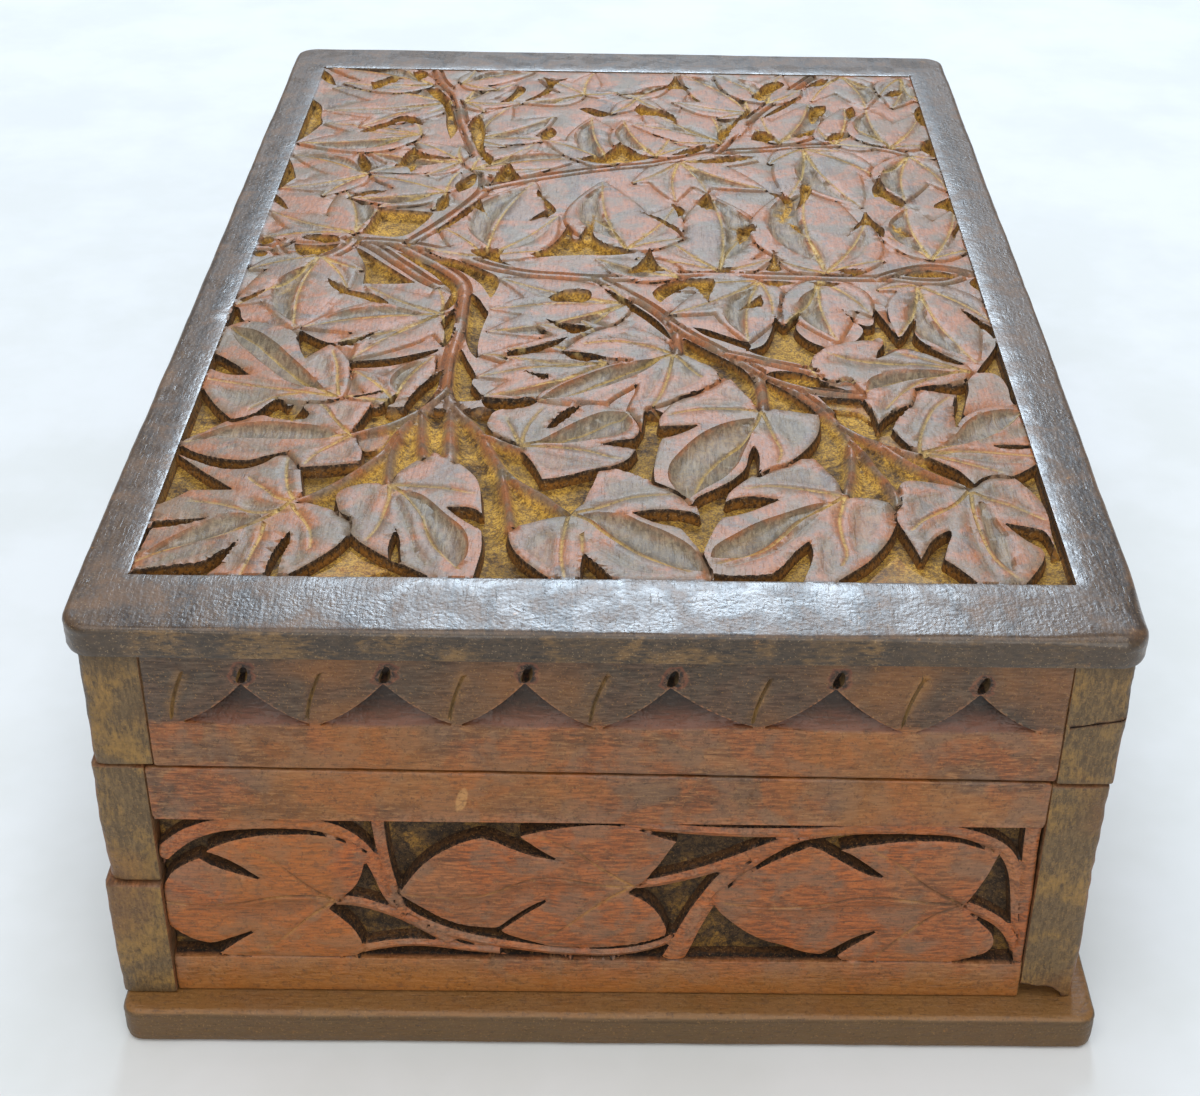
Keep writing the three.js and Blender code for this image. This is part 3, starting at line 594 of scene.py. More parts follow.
 dict(n='T2',o=[(49.8,-69.6,1),(48.9,-68.4,1),(47.3,-64.8),(46.4,-62.4,1),(47.6,-59),(49.2,-56),(50.3,-53.9,1),(51.2,-51),(51.7,-48.3,1),(54,-49.1),(56.3,-49.9),(58.6,-50.4,1),(57.7,-54.3),(57.1,-58.5),(57.0,-61.3,1),(58.8,-58),(61.5,-55.4),(65,-53.9),(69.6,-54.5,1),(69.6,-66.5,1),(67.8,-66.9,1),(64.5,-66.7),(62.2,-67.1,1),(64.5,-68.0),(68.2,-67.9,1),(69.6,-68.5,1),(69.3,-71.0,1),(67.8,-73.5),(65.6,-75.5),(63.8,-76.7,1),(61.5,-76.4),(59.3,-77.2),(57.5,-79.4,1),(56.7,-77.5),(55.5,-75.2),(53.5,-73.3),(51.2,-71.2)],
  v=[[(50.3,-70),(54,-68.2),(58,-66.4),(62,-64),(65.5,-60.3),(68.5,-56)],[(50,-69.6),(50.7,-65),(52.2,-60),(54.3,-55),(57,-51.6)],[(50.6,-70.2),(55,-69.6),(60,-69.4),(64.5,-70.0),(68.5,-70.6)],[(50.8,-70.6),(55,-72.2),(59,-74),(62.5,-75.6)]],
  h=[([(53,-68.2,1),(56.5,-64),(59,-59.5),(62,-56.6),(66,-55.3),(69,-55.8,1),(66.5,-60),(63,-63.6),(58.5,-66.4)],.85),([(52.5,-70.2),(58,-70.2),(63.5,-71.2),(67.5,-71.9),(63,-73),(57,-71.8)],.45),([(49.2,-64),(50.3,-59),(52.3,-54.5),(54.5,-51.8),(53,-55.5),(51.2,-60)],.3),([(60,-66),(65,-63),(68.5,-60),(68.5,-64),(65,-65.4)],.25)]),
 dict(n='T1',o=[(62.5,-41.5,1),(60.8,-44.7,1),(57.5,-46.6),(54.5,-47.1),(51.7,-48.2,1),(51.2,-51),(50.3,-53.9,1),(48.9,-54.8),(47.3,-56.2),(45.4,-58.6),(44.1,-61.2,1),(43.9,-57.5),(43.2,-54.5),(42.6,-52.0,1),(43,-50.6),(42,-47.5),(40.8,-44.5),(38,-45.8),(35.4,-43.2,1),(34.7,-40.2),(35.2,-36.8,1),(37.7,-33.3,1),(40,-32.2),(43.0,-30.9,1),(45.8,-30.5),(48,-31.8,1),(46.9,-34.8),(46.2,-37.6,1),(48.3,-36),(51,-33.8),(54,-34.8),(57.5,-37.5),(60.3,-39.4),(61.8,-39.2,1)],
  v=[[(62,-42),(57,-42.8),(52,-43.8),(47,-46),(43.5,-49.5)],[(61.8,-41.8),(56,-40.2),(50,-39.2),(44,-38.2),(38.5,-36)],[(58,-43),(53,-46),(49,-50.5),(46,-55.5)],[(60,-41),(57,-39),(53,-36.5),(50,-35.6)]],
  h=[([(60.5,-42.6,1),(55,-41.6),(49,-42.2),(44.5,-44.8),(43.3,-49.3,1),(47,-47.6),(51,-45.6),(56,-44)],.85),([(52,-39.2),(46,-37.6),(40,-36),(37,-37.6),(42,-40.6),(47,-41)],.4),([(49,-48.5),(46.5,-50),(44.5,-54),(45,-57.5),(47.5,-54)],.3)]),
 dict(n='K',o=[(-45.2,-53.8,1),(-44.8,-50),(-45.0,-46),(-45.4,-42.8,1),(-45.9,-40.5),(-47.8,-36.8),(-49.8,-34.9,1),(-51.3,-37.0),(-53.4,-40.4,1),(-54.9,-36.3),(-55.9,-31.3,1),(-58.5,-28.9),(-62,-27.2),(-65.2,-26.2,1),(-67.5,-27.3),(-69.6,-29.6,1),(-69.6,-38.4,1),(-66.3,-41.3),(-64,-43.7),(-61.9,-46.4,1),(-65.5,-46.4),(-69.6,-44.0,1),(-69.6,-49.6,1),(-68,-53.2),(-65.7,-57.2),(-62.3,-61.8,1),(-60.2,-60.6),(-58.5,-59.0,1),(-57.5,-56.8),(-56.1,-54.6,1),(-53.7,-55.4),(-50.2,-55.4,1),(-47.5,-55)],
  v=[[(-46.5,-53.5),(-50,-50.5),(-54,-46),(-57.5,-41.5),(-61,-36.5),(-64.5,-32),(-68,-29)],[(-47.3,-53.4),(-52,-52.3),(-57,-51.2),(-63,-49.8),(-68.6,-48.2)],[(-46,-52.8),(-46.8,-48),(-47.5,-43),(-49,-37.5)],[(-53,-53),(-57,-54.5),(-60,-58)]],
  h=[([(-48.3,-51.5,1),(-52,-45.5),(-56,-39.5),(-60,-33.8),(-64,-29.8),(-68.3,-28.9,1),(-66.3,-34),(-63,-39),(-59.5,-43.6),(-55,-48.8)],.9),([(-52,-50.6),(-58,-48.4),(-64,-47.4),(-67,-47.8),(-62,-49.3),(-56,-50.8)],.35),([(-47.5,-50),(-48,-44),(-49.5,-39),(-51.5,-40.5),(-50.5,-46)],.25),([(-57,-52.5),(-63,-51.5),(-66.5,-51.5),(-64,-56),(-61,-57.6)],.3)]),
]
# carved a level lower, behind the others
LOW=[
 dict(o=[(-38.4,-98.6,1),(-36.3,-100.8),(-33.3,-102.9,1),(-32.2,-103.9),(-33.5,-104.3),(-35.2,-105.6),(-36.1,-107.6,1),(-43.4,-107.2,1),(-43.9,-105.9,1),(-41.5,-104.0),(-39.6,-101.5)],z=-1.35),
 dict(o=[(43.3,-98.2,1),(41,-101.5),(38.8,-104.6),(37.0,-107.8,1),(46.0,-107.9,1),(47.8,-106.6),(49.0,-104.9,1),(46.8,-103.8),(45.0,-101.5)],z=-1.35),
 dict(o=[(-42,-65.6,1),(-39,-64.6),(-36.2,-63.4,1),(-36.5,-66.5),(-37.8,-69.4,1),(-39.8,-69.8),(-41.2,-67.6)],z=-1.1),
 dict(o=[(44.4,-62.8,1),(46.5,-62.3),(47.3,-64.8),(48.8,-68.4,1),(46.5,-67.3),(44.0,-66.0,1)],z=-1.3),
 dict(o=[(42.5,-52.0,1),(38,-51.8),(35.5,-52.2,1),(38,-54),(41.5,-55),(43.3,-58.0,1),(43.2,-54.5)],z=-1.3),
]
# stems: centre line and width at its two ends
STEMS=[
 ([(-52,9.2),(-48.5,8),(-45.2,4.6),(-42.2,0.6),(-38.6,-4),(-35.6,-8),(-33,-10.5)],2.6,1.8),
 ([(-44,8.6),(-40,5.2),(-36.2,1.2),(-32.2,-3.2),(-29.2,-7.5),(-27.9,-12),(-27.7,-20),(-27.6,-28),(-28,-34),(-28.3,-40),(-28.3,-44),(-28.2,-47),(-28.0,-50),(-27.5,-52.5),(-26.8,-55.5),(-26.5,-58)],2.6,1.5),
 ([(-26.6,-57),(-26.5,-62),(-26.2,-66),(-25.9,-70),(-25.6,-74.5)],1.0,3.0),
 ([(-26.3,-56.0),(-25.0,-58.5),(-23.2,-61.3),(-21.6,-64),(-20.6,-66.3),(-19.9,-68.8),(-19,-71.4),(-18.0,-74),(-17,-76.4),(-15.2,-79.2),(-12.6,-82),(-10.4,-84.2),(-8.6,-86.5),(-6.6,-89)],1.3,1.5),
 ([(-20.9,-65.6),(-19.3,-66.5),(-17.7,-67.8),(-16,-69),(-14.6,-69.8)],1.2,1.3),
 ([(-17.2,-76.4),(-16.7,-80),(-16.2,-83),(-15.8,-86),(-15.3,-89),(-14.8,-93.6)],1.0,1.1),
 ([(-28.0,-50),(-29.2,-53),(-30.5,-55.5),(-31.8,-57.8),(-33,-60.5),(-34.1,-63.3),(-35,-66.3),(-35.7,-69),(-36.5,-71.5),(-37.7,-73.8),(-39,-76),(-40.3,-78),(-41.9,-80.3),(-43.8,-82.5),(-46,-84.8),(-48.6,-87)],1.3,1.6),
 ([(-31.7,-58.0),(-31.2,-61),(-31,-64),(-30.7,-67),(-30.4,-70),(-29.6,-73.5)],0.9,1.1),
 ([(-34.4,-66),(-34.9,-70),(-35.1,-74),(-34.9,-78),(-34.6,-82)],0.8,1.1),
 ([(-32.0,-58.0),(-34.5,-60.8),(-37,-63),(-39.5,-64.4),(-42.2,-66.2)],1.3,1.6),
 ([(-50,9),(-44,8.5),(-37,6.5),(-30,2.5),(-24,-1.8),(-17,-4.6),(-10,-5.6),(-3,-6.3),(4,-6.2),(10,-5.0),(16,-3.9),(22,-3.9),(28,-4.3),(34,-4.5),(40,-4.8),(46,-4.9),(52,-4.9),(57,-6.0),(62,-6.0),(66,-3.5)],3.2,2.0),
 ([(-3,-6.8),(-0.5,-9.5),(3,-13.5),(6.4,-17.8),(8.8,-21.6),(10.6,-25.5),(11.4,-29),(11.4,-33),(11.2,-36.5)],2.0,1.4),
 ([(10.2,-24.2),(13,-28.3),(16.5,-32.3),(20,-36.2),(23,-40),(24.9,-44),(25.5,-48),(25.6,-52),(25.3,-57)],1.7,1.4),
 ([(22.5,-39.2),(26,-43.4),(29.2,-47),(32,-50.6),(34.4,-54.4),(36.4,-58),(38,-61.4),(38.9,-65),(39,-69),(38.7,-73),(38.3,-77),(37.4,-80.6),(36.9,-83.6)],1.6,1.2),
 ([(19.8,-36),(23.5,-37.5),(27,-39.2),(30.5,-40.6),(33.6,-42),(35.8,-43.5)],1.5,1.6),
 ([(26.6,-44.2),(30,-46.8),(34,-48.9),(38,-50.0),(42.8,-50.9)],1.4,1.8),
 ([(37.8,-60.8),(40,-63.6),(43,-66.2),(46,-68.3),(50,-70.3)],1.3,1.8),
 ([(39.2,-66),(40.9,-69.8),(42,-73.8),(43.6,-78.2),(44.7,-82.5),(44.6,-86)],1.0,1.2),
 ([(44.5,-67.8),(46.6,-71),(49,-73.9),(52,-76.8),(56.2,-80.3)],1.3,1.4),
 ([(-40,8.5),(-36.8,13.5),(-33.3,20),(-30,27),(-27.4,34),(-27.2,38),(-27.8,43),(-29.4,50),(-31.3,58),(-33.2,66),(-34.8,74),(-36,82),(-38,90),(-41.5,98),(-43,105)],2.0,1.8),
 ([(-27.0,35.5),(-21,39.0),(-14,42.3),(-7,45.2),(0,47.5),(7,49.4),(13,52.2),(19,55.2),(25,57.3),(31,58.4),(37,60),(43,61),(50,61.5),(57,60),(62,57)],2.2,1.8),
 ([(21,56.5),(23.5,62.5),(26.6,70.5),(29.8,77.5),(33,83.8),(37,90.5),(41,97),(45,104)],1.8,1.6),
 ([(-69.6,5.4),(-65.5,5.8),(-63.2,9.2),(-58.5,13.2),(-53.6,12.4),(-51,9.2)],2.4,2.4),
 ([(-65.5,5.8),(-63.6,2),(-60,-0.6),(-56,0.8),(-52.3,5.2),(-51,9.2)],2.0,2.4),
 ([(50,-4.7),(54,-2.0),(59,0.2),(64,-0.2),(68,-2.4)],1.6,1.2),
]
MS=[
 ([(-52,9.2),(-48.5,8),(-45.2,4.6),(-42.2,0.6),(-38.6,-4),(-35.6,-8),(-33,-10.5)],2.6,1.8),
 ([(-44,8.6),(-40,5.2),(-36.2,1.2),(-32.2,-3.2),(-29.2,-7.5),(-27.9,-12),(-27.7,-20),(-27.6,-28),(-28,-34),(-28.3,-40),(-28.3,-44),(-28.2,-47),(-28.0,-50),(-27.5,-52.5),(-26.8,-55.5),(-26.5,-58)],2.6,1.5),
 ([(-26.6,-57),(-26.5,-62),(-26.2,-66),(-25.9,-70),(-25.6,-74.5)],1.0,3.0),
 ([(-26.3,-56.0),(-25.0,-58.5),(-23.2,-61.3),(-21.6,-64),(-20.6,-66.3),(-19.9,-68.8),(-19,-71.4),(-18.0,-74),(-17,-76.4),(-15.2,-79.2),(-12.6,-82),(-10.4,-84.2),(-8.6,-86.5),(-6.6,-89)],1.3,1.5),
 ([(-20.9,-65.6),(-19.3,-66.5),(-17.7,-67.8),(-16,-69),(-14.6,-69.8)],1.2,1.3),
 ([(-17.2,-76.4),(-16.7,-80),(-16.2,-83),(-15.8,-86),(-15.3,-89),(-14.8,-93.6)],1.0,1.1),
 ([(-28.0,-50),(-29.2,-53),(-30.5,-55.5),(-31.8,-57.8),(-33,-60.5),(-34.1,-63.3),(-35,-66.3),(-35.7,-69),(-36.5,-71.5),(-37.7,-73.8),(-39,-76),(-40.3,-78),(-41.9,-80.3),(-43.8,-82.5),(-46,-84.8),(-48.6,-87)],1.3,1.6),
 ([(-31.7,-58.0),(-31.2,-61),(-31,-64),(-30.7,-67),(-30.4,-70),(-29.6,-73.5)],0.9,1.1),
 ([(-34.4,-66),(-34.9,-70),(-35.1,-74),(-34.9,-78),(-34.6,-82)],0.8,1.1),
 ([(-32.0,-58.0),(-34.5,-60.8),(-37,-63),(-39.5,-64.4),(-42.2,-66.2)],1.3,1.6),
 ([(-50,9),(-44,8.5),(-37,6.5),(-30,2.5),(-24,-1.8),(-17,-4.6),(-10,-5.6),(-3,-6.3),(4,-6.2),(10,-5.0),(16,-3.9),(22,-3.9),(28,-4.3),(34,-4.5),(40,-4.8),(46,-4.9),(52,-4.9),(57,-6.0),(62,-6.0),(66,-3.5)],3.2,2.0),
 ([(-3,-6.8),(-0.5,-9.5),(3,-13.5),(6.4,-17.8),(8.8,-21.6),(10.6,-25.5),(11.4,-29),(11.4,-33),(11.2,-36.5)],2.0,1.4),
 ([(10.2,-24.2),(13,-28.3),(16.5,-32.3),(20,-36.2),(23,-40),(24.9,-44),(25.5,-48),(25.6,-52),(25.3,-57)],1.7,1.4),
 ([(22.5,-39.2),(26,-43.4),(29.2,-47),(32,-50.6),(34.4,-54.4),(36.4,-58),(38,-61.4),(38.9,-65),(39,-69),(38.7,-73),(38.3,-77),(37.4,-80.6),(36.9,-83.6)],1.6,1.2),
 ([(19.8,-36),(23.5,-37.5),(27,-39.2),(30.5,-40.6),(33.6,-42),(35.8,-43.5)],1.5,1.6),
 ([(26.6,-44.2),(30,-46.8),(34,-48.9),(38,-50.0),(42.8,-50.9)],1.4,1.8),
 ([(37.8,-60.8),(40,-63.6),(43,-66.2),(46,-68.3),(50,-70.3)],1.3,1.8),
 ([(39.2,-66),(40.9,-69.8),(42,-73.8),(43.6,-78.2),(44.7,-82.5),(44.6,-86)],1.0,1.2),
 ([(44.5,-67.8),(46.6,-71),(49,-73.9),(52,-76.8),(56.2,-80.3)],1.3,1.4),
 ([(-40,8.5),(-36.8,13.5),(-33.3,20),(-30,27),(-27.4,34),(-27.2,38),(-27.8,43),(-29.4,50),(-31.3,58),(-33.2,66),(-34.8,74),(-36,82),(-38,90),(-41.5,98),(-43,105)],2.0,1.8),
 ([(-27.0,35.5),(-21,39.0),(-14,42.3),(-7,45.2),(0,47.5),(7,49.4),(13,52.2),(19,55.2),(25,57.3),(31,58.4),(37,60),(43,61),(50,61.5),(57,60),(62,57)],2.2,1.8),
 ([(21,56.5),(23.5,62.5),(26.6,70.5),(29.8,77.5),(33,83.8),(37,90.5),(41,97),(45,104)],1.8,1.6),
 ([(-69.6,5.4),(-65.5,5.8),(-63.2,9.2),(-58.5,13.2),(-53.6,12.4),(-51,9.2)],2.4,2.4),
 ([(-65.5,5.8),(-63.6,2),(-60,-0.6),(-56,0.8),(-52.3,5.2),(-51,9.2)],2.0,2.4),
 ([(54.5,-5),(54.0,-0.5),(57,3.2),(61.5,3.6),(65,0.6),(65.3,-4),(61.5,-6.2)],1.8,1.8),
]
# sunk places; everything here goes down to the ground
POCKETS=[
 [(-60.5,-91.7,1),(-64,-92.2),(-68.8,-92.9,1),(-68.9,-95.1,1),(-67,-94.7),(-64,-93.7)],
 [(-68.7,-94.9,1),(-68.95,-99),(-69.2,-103,1),(-69.6,-99),(-69.5,-95)],
 [(-55.1,-97.9,1),(-55.7,-100.5),(-56.5,-104),(-58.3,-107.3,1),(-69.3,-107.3,1),(-69.0,-106.0,1),(-64,-104.9),(-59.6,-104.1,1),(-57.5,-101.5)],
 [(-47.8,-95.6,1),(-47.4,-98),(-47.9,-102),(-47.9,-107.3,1),(-49.9,-107.3,1),(-49.8,-103.5),(-49,-98.5)],
 [(-32.1,-94.2,1),(-31.1,-97.5),(-30.7,-101),(-30.2,-103.8,1),(-32.3,-102.5,1),(-32.7,-99.5),(-32.5,-96.5)],
 [(-3.7,-100.3,1),(-2.8,-101.5),(-0.5,-105),(1.0,-107.7,1),(-3.9,-107.9,1),(-4.0,-104)],
 [(15.5,-105.3,1),(18,-105.7),(21,-105.7),(24.0,-105.2,1),(25.5,-103.6),(27.5,-100),(29.3,-97.3),(30.3,-96.7,1),(30.6,-99),(30.2,-102),(29.3,-105),(28.4,-108,1),(15.6,-108.1,1)],
 [(-43.3,-106.5,1),(-41,-107),(-39.2,-106.9),(-39.2,-107.5),(-43.2,-107.5,1)],
 [(-5.0,-55.6,1),(-6.5,-56.0),(-8.3,-58),(-9.6,-60.5),(-10.6,-63.3,1),(-9.3,-63.0),(-7.5,-60.5),(-6,-57.8)],
 [(62.2,-67.1,1),(64.5,-66.7),(67.8,-66.9,1),(68.2,-67.9,1),(65.5,-68.3),(63,-67.9)],
 [(-27.9,-33.5,1),(-26.3,-36.5),(-25.2,-40),(-24.2,-42.8),(-23.5,-45.5),(-23.9,-47.9),(-23.0,-50),(-21.9,-52.6,1),(-22.0,-54.2,1),(-24,-54.5),(-25.9,-54.5),(-26.7,-52),(-27.3,-49),(-27.5,-45),(-27.6,-40)],
 [(-22.0,-53.1,1),(-19,-53.5),(-15.5,-53.5),(-12.7,-53.0,1),(-12.5,-54.7,1),(-14,-55.9),(-16.5,-56.8),(-18.7,-57.3,1),(-21,-56.5)],
 [(-15.0,-43.6,1),(-13,-44.6),(-11.0,-44.9,1),(-10.9,-46.5,1),(-12.7,-46)],
 [(-45.6,-40.8,1),(-42,-40.3),(-38.5,-39.5),(-34.5,-37.7),(-30.5,-35.6,1),(-30.8,-36.8),(-34,-39.8),(-38,-42.2),(-42,-43.2),(-45.3,-43.3,1)],
 [(-43.6,-53.3,1),(-41,-52.4),(-38.4,-51.0,1),(-38.6,-51.8),(-41,-53.0),(-43.2,-53.9,1)],
 [(-29.0,-42.8,1),(-29.5,-46),(-29.5,-49.5),(-30.4,-53),(-32.1,-56.5),(-34.6,-59.5,1),(-34.6,-56),(-33.4,-51.5),(-31.2,-46.5)],
 [(-36.0,-51.5,1),(-36.2,-54.2),(-37.8,-57.6),(-38.3,-60),(-39.0,-62.8,1),(-41.8,-64.0,1),(-41.2,-61),(-40.2,-56.5,1),(-38.9,-56.6),(-37.6,-54.2)],
 [(-69.6,-38.6,1),(-66.5,-41.3),(-64,-43.7),(-61.9,-46.4,1),(-65,-46.3),(-67.5,-45.2),(-69.6,-44,1)],
 [(-55.7,-29.3,1),(-53.5,-31.5),(-50.5,-33.8),(-48.3,-34.6),(-50.4,-35.0),(-52,-37.5),(-53.3,-40.3,1),(-54.8,-36),(-55.9,-32)],
 [(-48.3,-34.2,1),(-45,-32.2),(-41.7,-29.2,1),(-44.6,-33.2),(-47.8,-35.4,1)],
 [(-53.7,-8.3,1),(-51.1,-10.6),(-48.9,-12.8),(-46.9,-13.6),(-43.9,-15),(-41.7,-17.2),(-41.1,-18.9,1),(-43.9,-17.8),(-47.2,-15.8),(-50.6,-13.9),(-52.8,-11.1)],
 [(-50.3,6.3,1),(-47.8,3.6),(-44.9,0.0),(-41.5,-4.2),(-38.8,-7.5),(-37,-9.4,1),(-41.5,-10.0),(-46.6,-10.0,1),(-46.9,-13.4,1),(-47.2,-5),(-48,-0.5),(-49.5,3.5)],
 [(-42,4,1),(-38,-1.2),(-34.2,-6),(-31.9,-9.8),(-30.3,-13),(-30.8,-17.5),(-31.8,-21.5,1),(-29.6,-19.5),(-28.9,-15),(-29.4,-10.4),(-31.7,-6),(-35.5,-1.5),(-39,2.5)],
 [(-29.3,-20.5,1),(-30.6,-23.5),(-31.0,-26),(-30.2,-29),(-30.0,-33),(-30.4,-36.0,1),(-29.2,-33.5),(-28.6,-28),(-28.6,-23)],
 [(-36,1.5,1),(-31,1.0),(-27,-1.6),(-22.5,-5.6,1),(-21.6,-8),(-21.9,-12),(-22.8,-15.7,1),(-23.8,-12.8),(-25.2,-9.5),(-27.6,-6),(-31,-2.5)],
 [(-26.7,-13,1),(-25,-15.5),(-23.7,-19),(-22.8,-21.5),(-23.2,-25),(-23.7,-30),(-23.8,-35),(-23.3,-39.8,1),(-25.1,-36.5),(-26.3,-31),(-26.6,-25),(-26.7,-19)],
 [(-12.3,-14.5,1),(-9.5,-12.2),(-6,-11.5),(-4.3,-12.7,1),(-4.6,-15.5),(-7.5,-16.6),(-10.5,-16.3)],
 [(-12.3,-23.7,1),(-9,-25.3),(-3.6,-26.8,1),(-5,-28.2),(-7.2,-29.9,1),(-9,-28),(-10.8,-26)],
 [(-8.2,-30.9,1),(-10.2,-32.2),(-12.8,-33.6),(-15.5,-35.2),(-18.6,-36.8,1),(-18,-38.2),(-15,-37.2),(-12,-35.8),(-9.6,-33.2)],
 [(-9.0,-36.4,1),(-6.5,-36.3),(-3.5,-37.3),(-1.2,-38.3,1),(-3,-39.3),(-5.3,-39.9),(-7.3,-38.8)],
 [(-69.2,-19,1),(-67.8,-21.5),(-66.8,-25.2),(-64.9,-26.8,1),(-67,-26.5),(-69.3,-28.5,1)],
 [(-68.6,-17.5,1),(-66.8,-15.5),(-64.3,-13.0,1),(-65.6,-15.8),(-67.8,-18.6,1)],
 [(-69,9.5),(-67,10),(-66.5,7.6),(-68.5,6.8)],
 [(-61.2,9.8,1),(-58.6,11.3),(-55.6,11.0,1),(-53.8,9.4),(-57.2,8.2)],
 [(-62.2,7.2,1),(-61.5,4.0),(-59.6,1.4),(-57,2.2),(-54.2,5.4),(-53.4,7.6,1),(-57.2,6.6)],
 [(-68.8,3.6),(-66.8,3.2),(-67.2,1.2),(-69,1.5)],
 [(-16.6,3.5,1),(-13.5,6.5),(-11.5,10.5),(-10.3,14.5),(-9.6,17.8,1),(-8.6,14.5),(-7.8,11),(-6.5,14.5),(-5.4,19),(-4.6,23.2,1),(-4.4,18),(-4.3,12.5),(-2.5,9.2),(0.2,7.5),(4.2,5.2,1),(-1,3.9),(-6,3.7),(-11.5,3.2),(-14.5,2.5)],
 [(-28,4.8,1),(-25.5,6.2),(-21.5,5.0,1),(-22,1.5),(-19,-1.8,1),(-23,0.2),(-26.5,2.8)],
 [(2.0,-3.0,1),(4,-0.8),(5.6,3.5),(6.8,8.2,1),(7.3,3.5),(8.3,-0.5),(9.6,-3.2,1),(6,-3.8)],
 [(28.6,-1.8,1),(29.8,2),(30.6,6.8,1),(31.3,2),(31.8,-1.8,1),(30.2,-2.6)],
 [(19,-2.1,1),(20.8,-1.0),(23.5,-1.5,1),(21.5,-2.7)],
 [(42.5,-2.2,1),(44.5,-1.0),(48,-2.0,1),(45.3,-3.4)],
 [(54.8,-3.4,1),(57.5,-1.6),(61,-1.2),(66,-3.2,1),(62,-4.1),(58,-4.3)],
 [(7,-12.3,1),(8.6,-9.2),(11.5,-7.1),(15,-6.2),(18.6,-5.9,1),(18.9,-8.5),(17.9,-12.5),(17.3,-16.5,1),(16,-12.5),(14.5,-9.8),(12.2,-11.2),(9.8,-14),(8.6,-16.5,1),(7.5,-14.5)],
 [(22.3,-18.4,1),(24.5,-16.8),(27.0,-13.0,1),(27.3,-17.3),(25,-18.2)],
 [(27.2,-6.6,1),(30.5,-6.4),(34.5,-7.2,1),(31,-8.6),(28.6,-8.4)],
 [(36.5,-6.8,1),(39.5,-6.8),(42.5,-7.4,1),(39.6,-8.9)],
 [(14.2,-26.2,1),(16.5,-26.8),(19.5,-28.8),(22.5,-31),(24.4,-32.8),(23.8,-34.6,1),(20,-31.8),(16.5,-29.3)],
 [(23.6,-34.6,1),(26.5,-32.6),(28,-28.5),(28.8,-24.5),(29.3,-21.2,1),(30.0,-23.5),(30.9,-25.2,1),(32,-22.5),(33.5,-20.0),(34.6,-18.2,1),(33.5,-22.5),(32.9,-26),(33.8,-29),(35.3,-31.3),(37.7,-33.2,1),(36,-35),(34.9,-37.5),(34.2,-40.4,1),(31,-38.9),(27.5,-37.6),(25,-36.0)],
 [(41.8,-18.0,1),(43.2,-21.2),(44.7,-24.2),(46.6,-24.5),(47.3,-21.5),(47.9,-17.5,1),(49.2,-22.5),(50.3,-26.5),(51.1,-29.8,1),(52.6,-26.5),(54.0,-22.5),(55.4,-18.7,1),(54.9,-23.5),(54.2,-28),(55.8,-31.8),(58.5,-35.5),(61.6,-38.8,1),(60.3,-39.3),(57.5,-37.5),(54.5,-34.8),(52.5,-33.3),(49.8,-33.6),(47.6,-36.0),(46.2,-37.6,1),(46.7,-34.8),(48.0,-31.8),(47.6,-29.4),(45.9,-30.4),(43.0,-30.8,1),(44.6,-28),(44.8,-25.6),(43.2,-22.6)],
 [(63.7,-17.5,1),(65.8,-20.5),(67.9,-23.8),(69.6,-26,1),(69.6,-53.5,1),(67.8,-53),(67.7,-47),(66.4,-42.6),(63.0,-42.3,1),(64.8,-38.5),(66.8,-34.5),(68.2,-30.5),(67.3,-26.5),(65.3,-22.5)],
 [(69.6,-2.5,1),(67.8,-4.5),(66.9,-6.3),(67.8,-8.8),(69.6,-11,1)],
 [(12.3,-30,1),(13.6,-31.4),(17,-35.2),(20.5,-39.2),(22.9,-42.3),(24.3,-46),(24.7,-50),(24.6,-55.8,1),(23.2,-52.5),(21.7,-49),(20.4,-45.8,1),(18.5,-44.8,1),(17.3,-41.6),(14.8,-39.2),(12.4,-36.8,1),(12.2,-33)],
 [(26.3,-45.2,1),(28.2,-47.6),(30.6,-50.6),(32.8,-54),(34.5,-57.9,1),(31,-57.0),(27.5,-56.1),(26.4,-56,1),(26.3,-52),(26.3,-48)],
 [(-2,-11,1),(1,-14.0),(4,-17.8),(6.8,-21.8),(9.0,-26),(10.6,-32.0,1),(8.0,-27.5),(5.6,-23.5),(2.7,-19.2),(0.2,-15.4)],
 [(26.5,-43.0,1),(29.5,-42.2),(33.2,-43.2),(35.3,-44.4,1),(36.2,-46.2),(38.5,-48),(40.2,-49.0,1),(36.5,-48.3),(33,-47.3),(29.8,-45.6)],
 [(34.8,-51.0,1),(38,-51.6),(42.4,-52.1,1),(43.2,-54.5),(43.9,-57.5),(44.2,-61.2,1),(45.5,-58.5),(47.3,-56.1),(49,-54.8),(50.3,-53.9,1),(49.2,-56.2),(47.6,-58.9),(46.3,-61.8),(47.3,-64.8),(48.9,-68.3,1),(46.3,-67.2),(43.6,-65.6,1),(41.5,-63.6),(39.4,-61),(37.9,-57.9),(36.2,-54.2)],
 [(51.8,-48.2,1),(54.5,-47.2),(57.5,-46.7),(60.2,-46.2),(61.2,-43.8,1),(60.9,-48.5),(59.9,-52.5),(58.9,-56.5),(57.6,-60.3),(57.0,-61.5,1),(57.1,-58.5),(57.6,-54.5),(58.6,-50.4,1),(56,-49.8),(53.5,-49.0)],
 [(-58.6,-58.9,1),(-57.2,-56.6),(-56,-54.6,1),(-54.1,-56.2),(-53.4,-58.6),(-51.5,-58.6),(-49.8,-59.6,1),(-50.2,-61.3,1),(-52.5,-62.2,1),(-53.8,-61.6),(-55.8,-60.6),(-57.3,-60.2,1)],
 [(-69.6,-50.4,1),(-68,-53.2),(-65.7,-57.2),(-62.3,-61.8,1),(-64.3,-63.6),(-66.8,-66.4),(-69.6,-69.0,1)],
